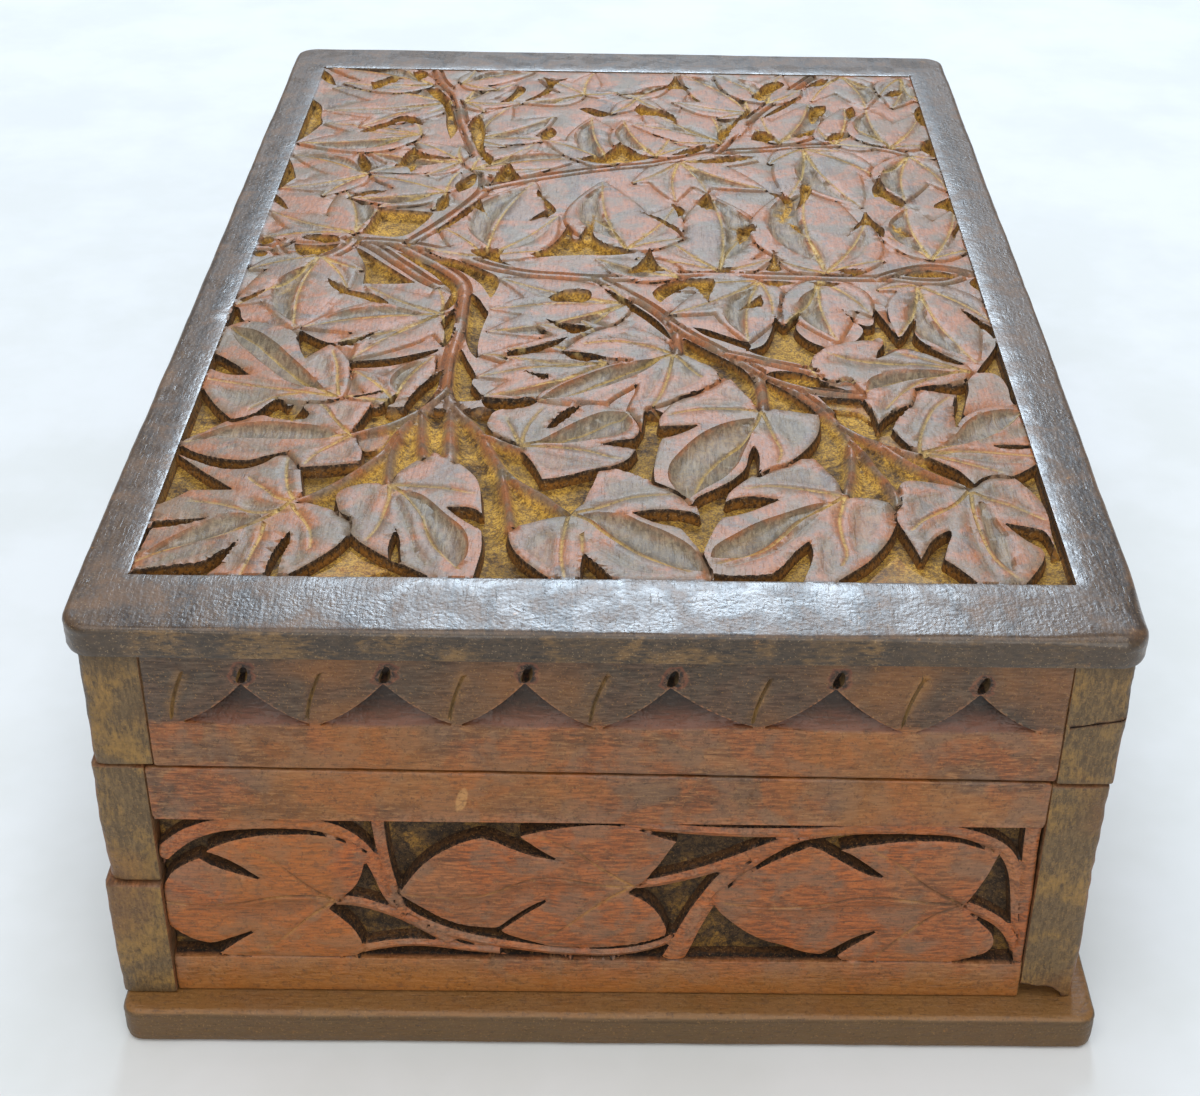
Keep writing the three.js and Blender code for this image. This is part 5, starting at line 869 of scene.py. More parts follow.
# leaves further back: stalk point, then the tip of each lobe in order round the leaf
FAR=[
 ((-56.5,1.5),[(-47.4,-4.5),(-49.5,-12.5),(-57,-29),(-69.2,-20),(-69.4,-5)]),
 ((-31.2,-22.5),[(-30,-34),(-45.4,-40.4),(-48.6,-34),(-56,-28.5),(-46.2,-11),(-33,-11)]),
 ((2.5,-17.5),[(-2.5,-8.5),(-21.5,-7),(-22.8,-20),(-22.8,-29),(-7.5,-30)]),
 ((3.5,-35.5),[(-6,-24),(-14,-26),(-23.2,-38),(-19,-36)]),
 ((-1.0,-40.6),[(-9,-35),(-18.8,-38.5),(-23.3,-46),(-21.8,-53),(-12.8,-53)]),
 ((-36.6,-54.5),[(-31,-38.5),(-45,-44),(-44.8,-53),(-40,-55.6)]),
 ((27.2,-6.8),[(9.5,-11),(10,-21.5),(24,-32),(29,-21)]),
 ((38.5,-6.0),[(30.8,-24.5),(40,-31.5),(47.2,-21)]),
 ((56.8,-8.0),[(49,-10),(51,-29),(63.8,-38.6),(69,-23)]),
 ((34.2,-42.2),[(36.4,-36.5),(42.6,-46.2),(36.4,-45.6)]),
 ((19.8,-2.5),[(7.5,2),(5,23),(18.7,34),(27.4,19),(30,3)]),
 ((40,-3.2),[(31.5,2),(34.8,20.5),(39.7,42),(50,22),(52,3)]),
 ((61,3.6),[(53.5,14),(59,30),(68.5,28),(68.8,8)]),
 ((-25,2.5),[(-37,6),(-35,16),(-17,39),(-11.5,22),(-12,5)]),
 ((2,6.5),[(-4.5,22),(-3,40),(12,28),(13.3,12)]),
 ((13,50.5),[(3,39),(12,30),(18.5,34.5),(31,36),(30,52)]),
 ((40,59),[(32,50),(35,32),(50,28),(55,44),(48,58)]),
 ((62.5,56),[(55,46),(59,31),(68.5,37),(68.5,55)]),
 ((-51,12.5),[(-69,10),(-69,22),(-56,34),(-47.5,24)]),
 ((-35,33),[(-37,24),(-48,24.5),(-54,29),(-52,41),(-33,44)]),
 ((-52,41.5),[(-60,30),(-69,34),(-69,52),(-55,54)]),
 ((-33,49),[(-40,42),(-52,43),(-54,54),(-44,60),(-34,58)]),
 ((-43,64),[(-56,55),(-69,58),(-65,70),(-56,66),(-45,72)]),
 ((-37.5,84),[(-43,76),(-57,68),(-66,78),(-66,92),(-50,90)]),
 ((-43,95),[(-52,91),(-64,95),(-68,104.5),(-50,104)]),
 ((-30.5,45),[(-22,44),(-14,46),(-7,52),(-17,62),(-28,55)]),
 ((-31,62),[(-24,58),(-15,62),(-14,76),(-24,82),(-31,77)]),
 ((-35,84),[(-30,78),(-22,84),(-24,96),(-33,104.5)]),
 ((-36.5,96),[(-28,92),(-20,104),(-34,105)]),
 ((-1,49),[(-9,52),(-16,62),(-6,76),(1,62)]),
 ((8,53.5),[(1,61),(1,75),(12,73),(20,62)]),
 ((22.5,62),[(12,62),(3,72),(5,84),(16,92),(23,74)]),
 ((-8,90),[(-16,84),(-22,84),(-19,100),(-6,104.5),(0,92)]),
 ((4,88),[(-2,78),(10,80),(12,97),(0,91)]),
 ((29.5,80),[(22,76),(12,86),(14,104),(30,97)]),
 ((34,86),[(30,98),(22,104),(38,105),(42,96)]),
 ((35,62),[(30,70),(32,78),(43,86),(44,70)]),
 ((47,62),[(44,72),(51,84),(60,74),(58,61)]),
 ((59,60),[(52,74),(56,84),(68,82),(68.5,62)]),
 ((52,104),[(46,98),(44,88),(56,84),(62,94)]),
 ((66,104),[(60,92),(62,84),(69,88)]),
 ((12,-6),[(-4,2.5),(4,3)]),
]


# --------------------------------------------------------------- lid board
PANEL = (-69.4, 68.5, -107.4, 105.0)          # the sunk panel, x and y


def lid_carving():
    cv = Carving()
    for n, (J, tips) in enumerate(FAR):
        o, v, h = far_leaf(J, tips, n)
        cv.leaf(o, v, h, step=0.85, seed=40 + n, z=-0.05, groove=(0.9, 1.0), vein_depth=0.36)
    for n, l in enumerate(NEAR):
        cv.leaf([curve(l["o"])], l["v"], l["h"], step=0.45, seed=n, z=0.0)
    for c in POCKETS:
        far = np.mean([p[1] for p in c]) > -20
        if far:
            cv.pocket(curve(c), step=0.65, wall=2.4, soft=True)
        else:
            cv.pocket(curve(c), step=0.48)
    for l in LOW:
        cv.leaf([curve(l["o"])], [], [], step=0.5, z=l["z"], cut=False, wall=4.0, seed=7)
    for line, w0, w1 in STEMS:
        far = np.mean([p[1] for p in line]) > 0
        cv.stem(curve(line, False, 0.7), min(w0 * 0.6, 1.4), min(w1 * 0.6, 1.3), z=-0.18, step=0.85 if far else 0.6,
                round_=0.2, rows=(0.45, 1.0) if far else (0.45, 1.0, 1.7), flank=1.2 if far else 2.1)
    return cv


def build_lid_board():
    lo, hi = box_mm("lid_board")
    x0, y0, x1, y1 = lo[0], lo[1], hi[0], hi[1]
    top, T = hi[2], hi[2] - lo[2]
    R = 4.5
    outline = rounded(x0, x1, y0, y1, R, 1.1, 1.3)
    px0, px1, py0, py1 = PANEL
    cv = lid_carving()
    lines = cv.lines()
    rim = rounded(px0, px1, py0, py1, 0.3, 0.5, 0.7)
    lines += [(rim, True, 0, True), (inset(rim, 0.16), True, 1, False), (inset(rim, 0.5), True, 1, False),
              (inset(rim, -0.35), True, 0, False)]
    pts, E = net(lines, 0.252, lambda q: (q[:, 0] > px0 - 0.5) & (q[:, 0] < px1 + 0.5) & (q[:, 1] > py0 - 0.5)
                 & (q[:, 1] < py1 + 0.5))
    inner = scatter(px0, px1, py0, py1, 1.35, 11, pts, 0.45)
    shell = [inset(outline, d) for d in (0.12, 0.32, 0.6, 0.95, 1.35, 1.9)]
    wide = scatter(x0 + 2.3, x1 - 2.3, y0 + 2.3, y1 - 2.3, 2.5, 12, pts, 0.9)
    wide = wide[(wide[:, 0] < px0 - 0.8) | (wide[:, 0] > px1 + 0.8) | (wide[:, 1] < py0 - 0.8) | (wide[:, 1] > py1 + 0.8)]
    P = np.vstack([pts, inner] + shell + [wide])

    def height(Q):
        X, Y = Q.T
        floor = -2.15 + 0.16 * fbm(X, Y * 0.6, 2.6, 21) + 0.12 * fbm(X, Y, 9.0, 22)
        far = smooth((Y + 57.5 + 0.6 * noise(X, X * 0, 9, 5)) / 0.7)
        start = floor * (1 - far) + (-0.34 + 0.05 * noise(X, Y, 5, 9)) * far
        Rl = Relief(Q, start, floor)
        cv.apply(Rl)
        H = Rl.H
        # the frame round the panel falls away a little to the outside, with a hip at each corner
        dx = np.maximum(px0 - X, X - px1)
        dy = np.maximum(py0 - Y, Y - py1)
        out = np.maximum(dx, dy)
        d_in = np.maximum(-out, 0)
        H = np.where(out < 0, np.maximum(np.minimum(H, np.where(d_in < 0.45, -0.62 + 1.4 * d_in, 0)), -0.1 - 6.5 * d_in), H)
        face = -0.06 * np.maximum(out - 1.2, 0) - 0.10 * np.exp(-np.maximum(out, 0) / 0.4)
        face = face + 0.05 * noise(X, Y, 14, 31) - 0.05
        H = np.where(out >= 0, face, H)
        ex = np.minimum(X - x0, x1 - X)
        ey = np.minimum(Y - y0, y1 - Y)
        cx, cy = np.maximum(R - ex, 0), np.maximum(R - ey, 0)
        d = np.where((cx > 0) & (cy > 0), R - np.hypot(cx, cy), np.minimum(ex, ey))
        r = 0.85 + 0.3 * noise(X, Y, 16, 33) + 0.12 * noise(X, Y, 3.2, 34) + 1.2 * smooth((X - 60) / 14) * smooth((-100 - Y) / 16)
        H = H - arris(np.maximum(d, 0), r)
        H = np.minimum(H, -0.01)
        outer = (out >= 0).astype(float)
        zero = np.zeros(len(Q))
        soft = smooth((Y + 30) / 20)
        return H, dict(hollow=Rl.hollow * (1 - outer), vein=Rl.vein * (1 - outer), stem=Rl.stemmy * (1 - outer),
                       ground=np.maximum(smooth((-H - 0.9) / 1.0), smooth((-H - 0.5) / (1.0 - 0.3 * soft)) * smooth(Rl.stemmy * 3))
                       * (1 - outer), frame=outer)

    def post(V):
        # hand-cut edges that aren't quite straight
        X, Y, Z = V.T
        e = lambda c, k: np.maximum(0.02, 0.20 + 0.14 * noise(c, c * 0, 38, k) + 0.05 * noise(c, c * 0, 6, k + 1))
        fx0, fx1 = smooth(1 - (X - x0) / 9), smooth(1 - (x1 - X) / 9)
        fy0, fy1 = smooth(1 - (Y - y0) / 9), smooth(1 - (y1 - Y) / 9)
        V = V.copy()
        V[:, 0] += fx0 * e(Y, 50) - fx1 * e(Y, 52)
        V[:, 1] += fy0 * e(X, 54) - fy1 * e(X, 56)
        return V

    return board("lid_board_carved", "lid", "lid_board",
                 ((0, 0, top), (1, 0, 0), (0, 1, 0), (0, 0, 1)), outline, P, height, T,
                 r_back=0.9, rings=[1.9, 2.7, 3.5, 4.3, 5.0], post=post, edge_r=1.3, rough=0.12, seed=4, E=E)


# ------------------------------------------------------------- body panels
LEAF_1 = dict(
    o=[(-41.2, 25.7, 1), (-40.3, 26.6), (-38.5, 28.6), (-37.4, 31), (-36.9, 33), (-36.1, 35.2, 1), (-38.3, 36.7),
       (-41, 38.2), (-44, 38.9), (-48, 39.0), (-52, 38.7), (-56, 37.8), (-59, 36.6), (-60.7, 35.5, 1), (-58.6, 34.5),
       (-56, 32.8), (-53.5, 30.6), (-51.9, 29.3, 1), (-55, 30.5), (-58.3, 31.8), (-60.5, 33.0), (-61.8, 34.1, 1),
       (-64, 33.0), (-66.4, 31), (-67.9, 28.4), (-70.0, 25.5, 1), (-70.0, 22.0, 1), (-67.6, 19.8), (-66, 18.3), (-63.8, 16.9), (-61.5, 16.5),
       (-58.5, 17.6), (-55.5, 18.9), (-53.8, 19.5, 1), (-54.8, 18.8), (-57, 17.2), (-59.3, 15.3), (-60.6, 14.3, 1),
       (-58, 13.5), (-50, 13.3), (-44, 13.3), (-40, 13.6), (-38, 14.9, 1), (-38.2, 17), (-39.5, 20), (-41.5, 22.4),
       (-42.8, 23.8, 1), (-42.3, 24.6)],
    v=[[(-42, 25.8), (-45, 26.6), (-49, 26.6), (-53, 25.9), (-58, 24.9), (-64, 24.7), (-67.6, 25.2)],
       [(-42.5, 26.2), (-45, 28.2), (-48, 31.3), (-51, 34.2), (-54, 36.5)],
       [(-42, 25.3), (-44, 23.9), (-47, 21.3), (-50, 18.2), (-53, 15.8)]],
    h=[([(-44, 25.9, 1), (-49, 26.2), (-54, 25.4), (-60, 24.6), (-66.5, 24.6, 1), (-60, 21.6), (-53, 21.2), (-47, 23.2)], 0.55)])
LEAF_2 = dict(
    o=[(5, 29.3, 1), (6, 30.2), (7.5, 32.5), (9, 35), (10.2, 37.3), (10.9, 38.4, 1), (9, 39), (6.5, 40), (4, 40.8),
       (1.5, 41.4), (-1.5, 41.5), (-5, 41.1), (-9, 40.3), (-12.9, 39.1, 1), (-11, 37.4), (-9, 35.8), (-6.5, 34.2, 1),
       (-8, 34.5), (-11, 35.2), (-14, 36.5), (-17, 38.1), (-19, 38.7, 1), (-21.5, 37.8), (-24, 36.4), (-26.5, 34.5),
       (-28.5, 32.3), (-30.5, 29.3), (-31.7, 27.2, 1), (-30.5, 26), (-28, 24.1), (-25.5, 22.2), (-22, 20.7), (-18, 20.2, 1),
       (-16.6, 20.4), (-14.5, 22.3), (-11.5, 24.8), (-8.4, 26.6, 1), (-9.5, 25.3), (-12, 23.3), (-14.3, 21.3),
       (-16.2, 19.6, 1), (-15, 18.7), (-11, 17.2), (-8, 16.3), (-3, 16.1), (2, 16.5), (6, 17.4), (9.5, 18.9, 1),
       (9.7, 20.0), (8.9, 22.4), (7.4, 24.9), (5.4, 26.7), (3.4, 27.7, 1), (4.2, 28.5)],
    v=[[(4.5, 29.2), (0, 29.4), (-4, 30.2), (-8, 30.8), (-12, 30.2), (-15.5, 28.6), (-19, 27.2), (-24, 26.6), (-30.5, 27)],
       [(4, 29.6), (1, 31.8), (-2, 34.3), (-5, 36.8), (-9, 38.8)],
       [(3.5, 28.6), (0.5, 26.7), (-3, 23.7), (-6.5, 20.4), (-10, 18.3)]],
    h=[([(2, 29.1, 1), (-3, 29.7), (-8, 30.4), (-12, 29.8), (-16, 28.1), (-21, 26.7), (-29, 26.7, 1), (-22, 24.4),
         (-14, 26.2), (-8, 27.8), (-3, 28)], 0.6)])
LEAF_3 = dict(
    o=[(56, 26, 1), (56.7, 27.2), (58, 30), (59, 32.5), (59.7, 34.8), (60.2, 36.5, 1), (57, 37.7), (54, 38.7), (50, 39),
       (45, 38.8), (41, 38.2), (38.3, 37.6), (36.0, 37.0, 1), (38, 35.9), (40.5, 33.9), (43.3, 31.4, 1), (41, 31.8),
       (38, 33.5), (35, 35.6), (32.9, 37.0), (31.3, 37.7, 1), (29.5, 36.7), (26, 34.7), (22.5, 32.2), (20, 29.9),
       (18, 27.8), (16.9, 26.5, 1), (17.6, 24.5), (20, 21.8), (22.8, 19.4), (25.5, 17.9), (28, 17.1), (30, 16.2),
       (32.3, 15.4), (34.4, 15.2, 1), (36.5, 16.7), (39.5, 18.9), (43.5, 20.7, 1), (41, 18.5), (38.5, 16.4),
       (36.9, 14.8, 1), (38, 13.8), (42, 13.4), (48, 13.3), (53, 13.2), (56, 13.9), (58.5, 14.9), (60.2, 15.7, 1),
       (61.3, 17.3), (61.0, 19.5), (59, 22), (57, 24), (55.6, 25, 1)],
    v=[[(55.5, 26), (52, 26.4), (47, 26.9), (43, 27.5), (39, 27.3), (35, 26.2), (31, 25.5), (26, 25.2), (19, 26)],
       [(55, 26.5), (52, 28.3), (48.5, 31), (45, 34.5), (41, 37)],
       [(55, 25.5), (51.5, 24), (48, 20.8), (45, 17.5), (43, 15)]],
    h=[([(53, 26.1, 1), (47, 26.5), (43, 27.1), (39, 26.9), (35, 25.8), (31, 25.1), (22, 25.2, 1), (30, 22.4), (38, 23),
         (45, 24.3)], 0.6)])
FRONT_STEMS = [
    ([(-68.4, 33.6), (-66, 36.2), (-63, 38.6), (-58.5, 40.4), (-52, 41.1), (-46, 41.0), (-42, 40.2), (-39, 38.5), (-36.9, 36.2),
      (-35.3, 33), (-34.2, 29.6), (-33.2, 26.5), (-31.2, 23.2), (-28, 20.7), (-24, 18.7), (-20, 17.4), (-14, 16.1),
      (-7, 15.1), (0, 14.8), (5, 15.5), (9, 17.0), (11.2, 18.6)], 2.6, 1.3),
    ([(-34.4, 43), (-34.2, 39.5), (-33.8, 35), (-33.2, 31), (-32.4, 27.5), (-31.5, 24.4)], 1.9, 1.3),
    ([(-42, 25.5), (-38.5, 25.2), (-34.5, 23.8), (-31, 21.9), (-27.5, 19.4), (-24, 16.6), (-22, 15.6)], 2.0, 1.4),
    ([(-39, 14.9), (-35, 16.0), (-31, 16.6), (-26.5, 16.4), (-22, 15.6), (-16, 15.0)], 1.6, 1.4),
    ([(10.6, 13.0), (12.0, 16.5), (13.4, 20.4), (15.2, 24.6), (17.2, 28.4), (19.0, 31.2), (22, 34), (25.5, 37), (29.5, 39.4),
      (34, 40.4), (40, 41.0)], 3.4, 1.7),
    ([(4.6, 29.3), (8.5, 30.0), (13, 31.4), (17.5, 33.2), (21.5, 35.2), (25, 37.0), (29, 39.2)], 1.6, 2.2),
    ([(2.4, 41.6), (8, 41.0), (15, 40.4), (22, 40.1), (30, 40.3), (38, 40.9), (46, 41.1), (53, 40.7), (58, 39.0), (61.2, 36.6),
      (63.0, 33), (64, 28), (64.8, 22), (65.8, 16), (66.2, 13.5)], 1.6, 2.2),
    ([(55.6, 25.7), (58.5, 24.3), (61.4, 22.4), (63.6, 19.8), (65, 16.4)], 2.0, 1.6),
    ([(64.9, 42.8), (64.9, 38), (65.2, 32), (65.6, 26), (65.9, 20), (66.1, 13)], 2.4, 1.6),
]
BODY_BAND = (13.7, 42.3)          # the sunk band's lower and upper edge, z


def shifted(leaf, fu, fz):
    g = lambda pts: [tuple([fu(p[0]), fz(p[1])] + list(p[2:])) for p in pts]
    return dict(o=g(leaf["o"]), v=[g(v) for v in leaf["v"]], h=[(g(c), d) for c, d in leaf["h"]])


def front_carving():
    cv = Carving()
    for line, w0, w1 in FRONT_STEMS:
        cv.stem(curve(line, False, 0.5), w0, w1, step=0.45, z=-0.45, cut=False, wall=4.0, keep=False)
    for n, l in enumerate((LEAF_1, LEAF_2, LEAF_3)):
        cv.leaf([curve(l["o"])], l["v"], l["h"], step=0.42, seed=80 + n, z=0.0, crown=0.35, groove=(1.3, 0.9),
                vein_depth=0.36)
    return cv


def run_carving(u0, u1, count, flip=0):
    """a vine with leaves above and below it by turns, from u0 to u1"""
    cv = Carving()
    pitch = (u1 - u0) / count
    k = pitch / 47.0
    mid = 0.5 * sum(BODY_BAND)
    up = lambda z, m: z if not m else 2 * mid - z
    line = []
    for i in range(count + 1):
        uc = u0 + i * pitch
        m = (i + flip) % 2
        part = [(-13, 41.0), (-8, 39.8), (-4, 36.6), (-1.6, 32), (0, 27.4), (1.9, 22.8), (5, 18.9), (9.5, 16.2), (15, 15.0)]
        line += [(uc + a * k, up(b, m)) for a, b in part if u0 - 2 < uc + a * k < u1 + 2]
    cv.stem(curve(line, False, 0.6), 2.3, 2.3, step=0.6, z=-0.45, cut=False, wall=4.0, keep=False)
    leaves = []
    for i in range(count):
        c = u0 + (i + 0.5) * pitch
        m = (i + flip) % 2
        leaves.append((shifted(LEAF_2, lambda u, c=c: c + (u + 10.3) * k * 0.95, lambda z, m=m: up(27.9 + (z - 28.6) * 0.93 + 0.9, m)), i))
        stalk = [(c + 14.6 * k, up(29.2, m)), (c + 17.5 * k, up(29.6, m)), (c + 20.5 * k, up(30.6, m)),
                 (c + 23.2 * k, up(32.5, m)), (c + 26 * k, up(36.0, m))]
        cv.stem(curve(stalk, False, 0.5), 1.6, 1.8, step=0.6, z=-0.5, cut=False, wall=4.0, keep=False)
    for l, i in leaves:
        cv.leaf([curve(l["o"])], l["v"], l["h"], step=0.6, seed=120 + i + 7 * flip, z=0.0, crown=0.35,
                groove=(1.3, 0.9), vein_depth=0.36)
    return cv


def scallops(peaks, bottoms):
    """the chips between hanging scallops: peaks are (u, z) of each chip's top, bottoms the lowest points of the
    scallops on both sides of each"""
    chips, marks, punches = [], [], []
    for i, (u, z) in enumerate(peaks):
        (a, za), (b, zb) = bottoms[i], bottoms[i + 1]
        left = [(a, za, 1), (u - (u - a) * 0.68, z - (z - za) * 0.80), (u - (u - a) * 0.32, z - (z - za) * 0.44), (u, z, 1)]
        right = [(u, z, 1), (u + (b - u) * 0.32, z - (z - zb) * 0.44), (u + (b - u) * 0.68, z - (z - zb) * 0.80), (b, zb, 1)]
        chips.append((left + right[1:] + [(0.5 * (a + b), 60.15)], left[:-1] + right))
        punches.append([(u - 0.5, z + 0.2), (u - 0.35, z + 1.6), (u + 0.4, z + 3.0), (u + 1.0, z + 2.9), (u + 1.15, z + 1.4),
                        (u + 0.6, z + 0.3)])
    for a, za in bottoms:
        marks.append([(a + 1.2, 69.6), (a + 0.2, 67.0), (a - 0.6, 64.2), (a - 1.0, 61.9)])
    return chips, marks, punches


FRONT_PEAKS = [(-52.3, 67.9), (-31.9, 68.2), (-11.6, 68.6), (9.3, 68.0), (33.1, 68.1), (54.0, 67.4)]
FRONT_BOTTOMS = [(-61.8, 60.8), (-42.2, 60.4), (-21.6, 60.7), (-1.2, 60.4), (22.4, 60.8), (44.3, 60.0), (63.8, 60.4)]


def wall_points(u0, u1, v0, v1, lines, fine, plain, seed, region=None):
    """points of a wall's face: along the cuts, close ones in the carved region and wide ones elsewhere"""
    inside = lambda q: (q[:, 0] > u0 + 0.12) & (q[:, 0] < u1 - 0.12) & (q[:, 1] > v0 + 0.12) & (q[:, 1] < v1 - 0.12)
    pts, E = net(lines, 0.2, inside) if lines else (np.zeros((0, 2)), [])
    out = [pts]
    if region is not None:
        a, b, c, d = region
        out.append(scatter(max(a, u0 + 0.3), min(b, u1 - 0.3), max(c, v0 + 0.3), min(d, v1 - 0.3), fine, seed, pts, 0.4))
    rest = scatter(u0 + 1.4, u1 - 1.4, v0 + 1.4, v1 - 1.4, plain, seed + 1, pts, 0.8)
    if region is not None:
        rest = rest[(rest[:, 0] < a) | (rest[:, 0] > b) | (rest[:, 1] < c) | (rest[:, 1] > d)]
    out.append(rest)
    return np.vstack(out), E


def within(q, u0, u1, v0, v1):
    return q[(q[:, 0] > u0 + 0.03) & (q[:, 0] < u1 - 0.03) & (q[:, 1] > v0 + 0.03) & (q[:, 1] < v1 - 0.03)]


def edge_drop(X, Y, u0, u1, v0, v1, r, seed, corner=0.0):
    ex, ey = np.minimum(X - u0, u1 - X), np.minimum(Y - v0, v1 - Y)
    rr = r * (1 + 0.35 * noise(X, Y, 11, seed) + 0.2 * noise(X, Y, 2.8, seed + 1))
    if corner > 0:
        cx, cy = np.maximum(corner - ex, 0), np.maximum(corner - ey, 0)
        d = np.where((cx > 0) & (cy > 0), corner - np.hypot(cx, cy), np.minimum(ex, ey))
    else:
        d = np.minimum(ex, ey)
    return arris(np.maximum(d, 0), rr)


def body_wall(name, node, place, u0, u1, v0, v1, T, cv, band_u, r=0.45, corner=0.5, post=None, step=0.9, seed=1,
              fine=0.85, sx=1.2, sy=0.8, r_back=0.35, body="body"):
    bu0, bu1 = band_u
    z0, z1 = BODY_BAND
    lines = cv.lines() if cv else []
    if cv:
        rim = rounded(bu0, bu1, z0, z1, 0.6, 0.6, 0.6)
        lines = lines + [(rim, True, 0, True), (inset(rim, 0.16), True, 1, False), (inset(rim, 0.5), True, 1, True),
                         (inset(rim, -0.3), True, 1, False)]
    outline = rounded(u0, u1, v0, v1, corner, sx, sy)
    rings = [inset(outline, d * r) for d in (0.12, 0.4, 0.8, 1.35)]
    pts, E = wall_points(u0, u1, v0, v1, lines, fine, 2.2, seed, (bu0, bu1, z0, z1) if cv else None)
    P = np.vstack([pts] + [within(q, u0, u1, v0, v1) for q in rings])

    def height(Q):
        X, Y = Q.T
        zero = np.zeros(len(Q))
        H = -0.04 + 0.04 * noise(X, Y, 9, seed) - 0.03 * np.abs(noise(X / 6, Y, 1.3, seed + 2))
        hollow = vein = ground = zero
        frame_ = np.ones(len(Q))
        if cv:
            floor = -3.05 + 0.2 * fbm(X, Y, 3.0, seed + 4) + 0.15 * fbm(X, Y, 10, seed + 5)
            Rl = Relief(Q, floor.copy(), floor)
            cv.apply(Rl)
            d_in = np.minimum(np.minimum(X - bu0, bu1 - X), np.minimum(Y - z0, z1 - Y))
            inside = d_in > 0
            Hp = np.minimum(Rl.H, np.where(d_in < 0.4, -0.6 + 1.5 * d_in, 0))
            Hp = np.maximum(Hp, -0.08 - 7.0 * np.maximum(d_in, 0))
            H = np.where(inside, Hp, H - 0.10 * np.exp(np.minimum(d_in, 0) / 0.35))
            frame_ = (~inside).astype(float)
            hollow, vein = Rl.hollow * inside, Rl.vein * inside
            ground = smooth((-H - 1.3) / 1.2) * inside
        H = H - edge_drop(X, Y, u0, u1, v0, v1, r, seed + 6, corner)
        H = np.minimum(H, -0.01)
        return H, dict(hollow=hollow, vein=vein, ground=ground, frame=frame_)

    lowest = r * 1.6 + 0.25
    k = max(2, int(round((T - lowest - r_back) / 1.3)))
    side = list(np.linspace(lowest, T - r_back - 0.2, k))
    return board(name, body, node, place, outline, P, height, T, r_back=r_back, rings=side, post=post, seed=seed, E=E)


def lid_wall(name, node, place, u0, u1, v0, v1, T, parts, r=0.45, corner=0.5, post=None, seed=1, sx=1.2, sy=0.8,
             r_back=0.35):
    outline = rounded(u0, u1, v0, v1, corner, sx, sy)
    lines, chips, marks, punches = [], [], [], []
    if parts:
        chips = [(curve(c), curve(arc, False)) for c, arc in parts[0]]
        marks = [curve(m, False, 0.5) for m in parts[1] if u0 + 2 < m[0][0] < u1 - 2]
        punches = [curve(p) for p in parts[2]]
        for c, _ in chips:
            p, n, _ = evenly(c, 0.42)
            s = 1 if area(c) > 0 else -1
            lines += [(p, True, 0, True), (p + n * s * 0.34, True, 1, True), (p - n * s * 0.3, True, 2, False)]
        for c in punches:
            p, n, _ = evenly(c, 0.3)
            s = 1 if area(c) > 0 else -1
            lines += [(p, True, 0, True), (p + n * s * 0.3, True, 1, False)]
        for m in marks:
            p, n, _ = evenly(m, 0.5, False)
            lines += [(p, False, 0, True), (p + n * 0.3, False, 1, True), (p - n * 0.3, False, 1, True)]
    rings = [inset(outline, d * r) for d in (0.12, 0.4, 0.8, 1.35)]
    pts, E = wall_points(u0, u1, v0, v1, lines, 0.9, 2.2, seed, (u0, u1, 59.8, 72.4) if parts else None)
    P = np.vstack([pts] + [within(q, u0, u1, v0, v1) for q in rings])

    def height(Q):
        X, Y = Q.T
        H = -0.04 + 0.04 * noise(X, Y, 9, seed) - 0.03 * np.abs(noise(X / 6, Y, 1.3, seed + 2))
        vein, ground, hollow, chip = (np.zeros(len(Q)) for _ in range(4))
        R = Relief(Q, H, H)
        for c, arc in chips:
            i = R.near(c, 0.6)
            x, y = Q[i].T
            s = signed(c, x, y)
            high = np.maximum(np.interp(x, arc[:, 0], arc[:, 1]) - 60.1, 0.15)
            t = np.clip((y - 60.1) / high, 0, 1)
            deep = -0.34 - (np.minimum(2.3, 0.25 + 0.62 * high) - 0.2) * t ** 0.9 + 0.08 * noise(x, y, 1.6, seed + 8)
            cut = np.maximum(np.minimum(deep, -0.02), -0.12 + 6.5 * s)
            H[i] = np.where(s < 0, np.minimum(H[i], cut), H[i] - 0.10 * np.exp(-s / 0.3))
            # chip rises with the depth of the chip and is 1 in the punches; the material paints it as shade
            chip[i] = np.maximum(chip[i], smooth(-s / 0.12) * (s < 0) * (0.2 + 0.8 * np.clip((y - 60.1) / 7.0, 0, 1)))
        scallop = smooth((Y - 60.6) / 0.7) * (chip == 0) if chips else chip
        for c in punches:
            i = R.near(c, 0.3)
            x, y = Q[i].T
            s = signed(c, x, y)
            H[i] = np.where(s < 0, np.minimum(H[i], np.maximum(-2.2, -0.1 + 6 * s)), H[i])
            chip[i] = np.where(s < 0.08, 1.0, chip[i])
        for m in marks:
            i = R.near(m, 0.6)
            x, y = Q[i].T
            d, t = along(m, x, y)
            w = np.clip(1 - d / 0.34, 0, 1)
            H[i] -= 0.45 * w
            vein[i] = np.maximum(vein[i], np.clip(1.2 - d / 0.34, 0, 1))
        H = H - edge_drop(X, Y, u0, u1, v0, v1, r, seed + 6, corner)
        return np.minimum(H, -0.01), dict(hollow=hollow, vein=vein, ground=ground, frame=np.ones(len(Q)), chip=chip,
                                          scallop=scallop)

    lowest = r * 1.6 + 0.25
    k = max(2, int(round((T - lowest - r_back) / 1.3)))
    side = list(np.linspace(lowest, T - r_back - 0.2, k))
    return board(name, "lid", node, place, outline, P, height, T, r_back=r_back, rings=side, post=post, seed=seed, E=E)


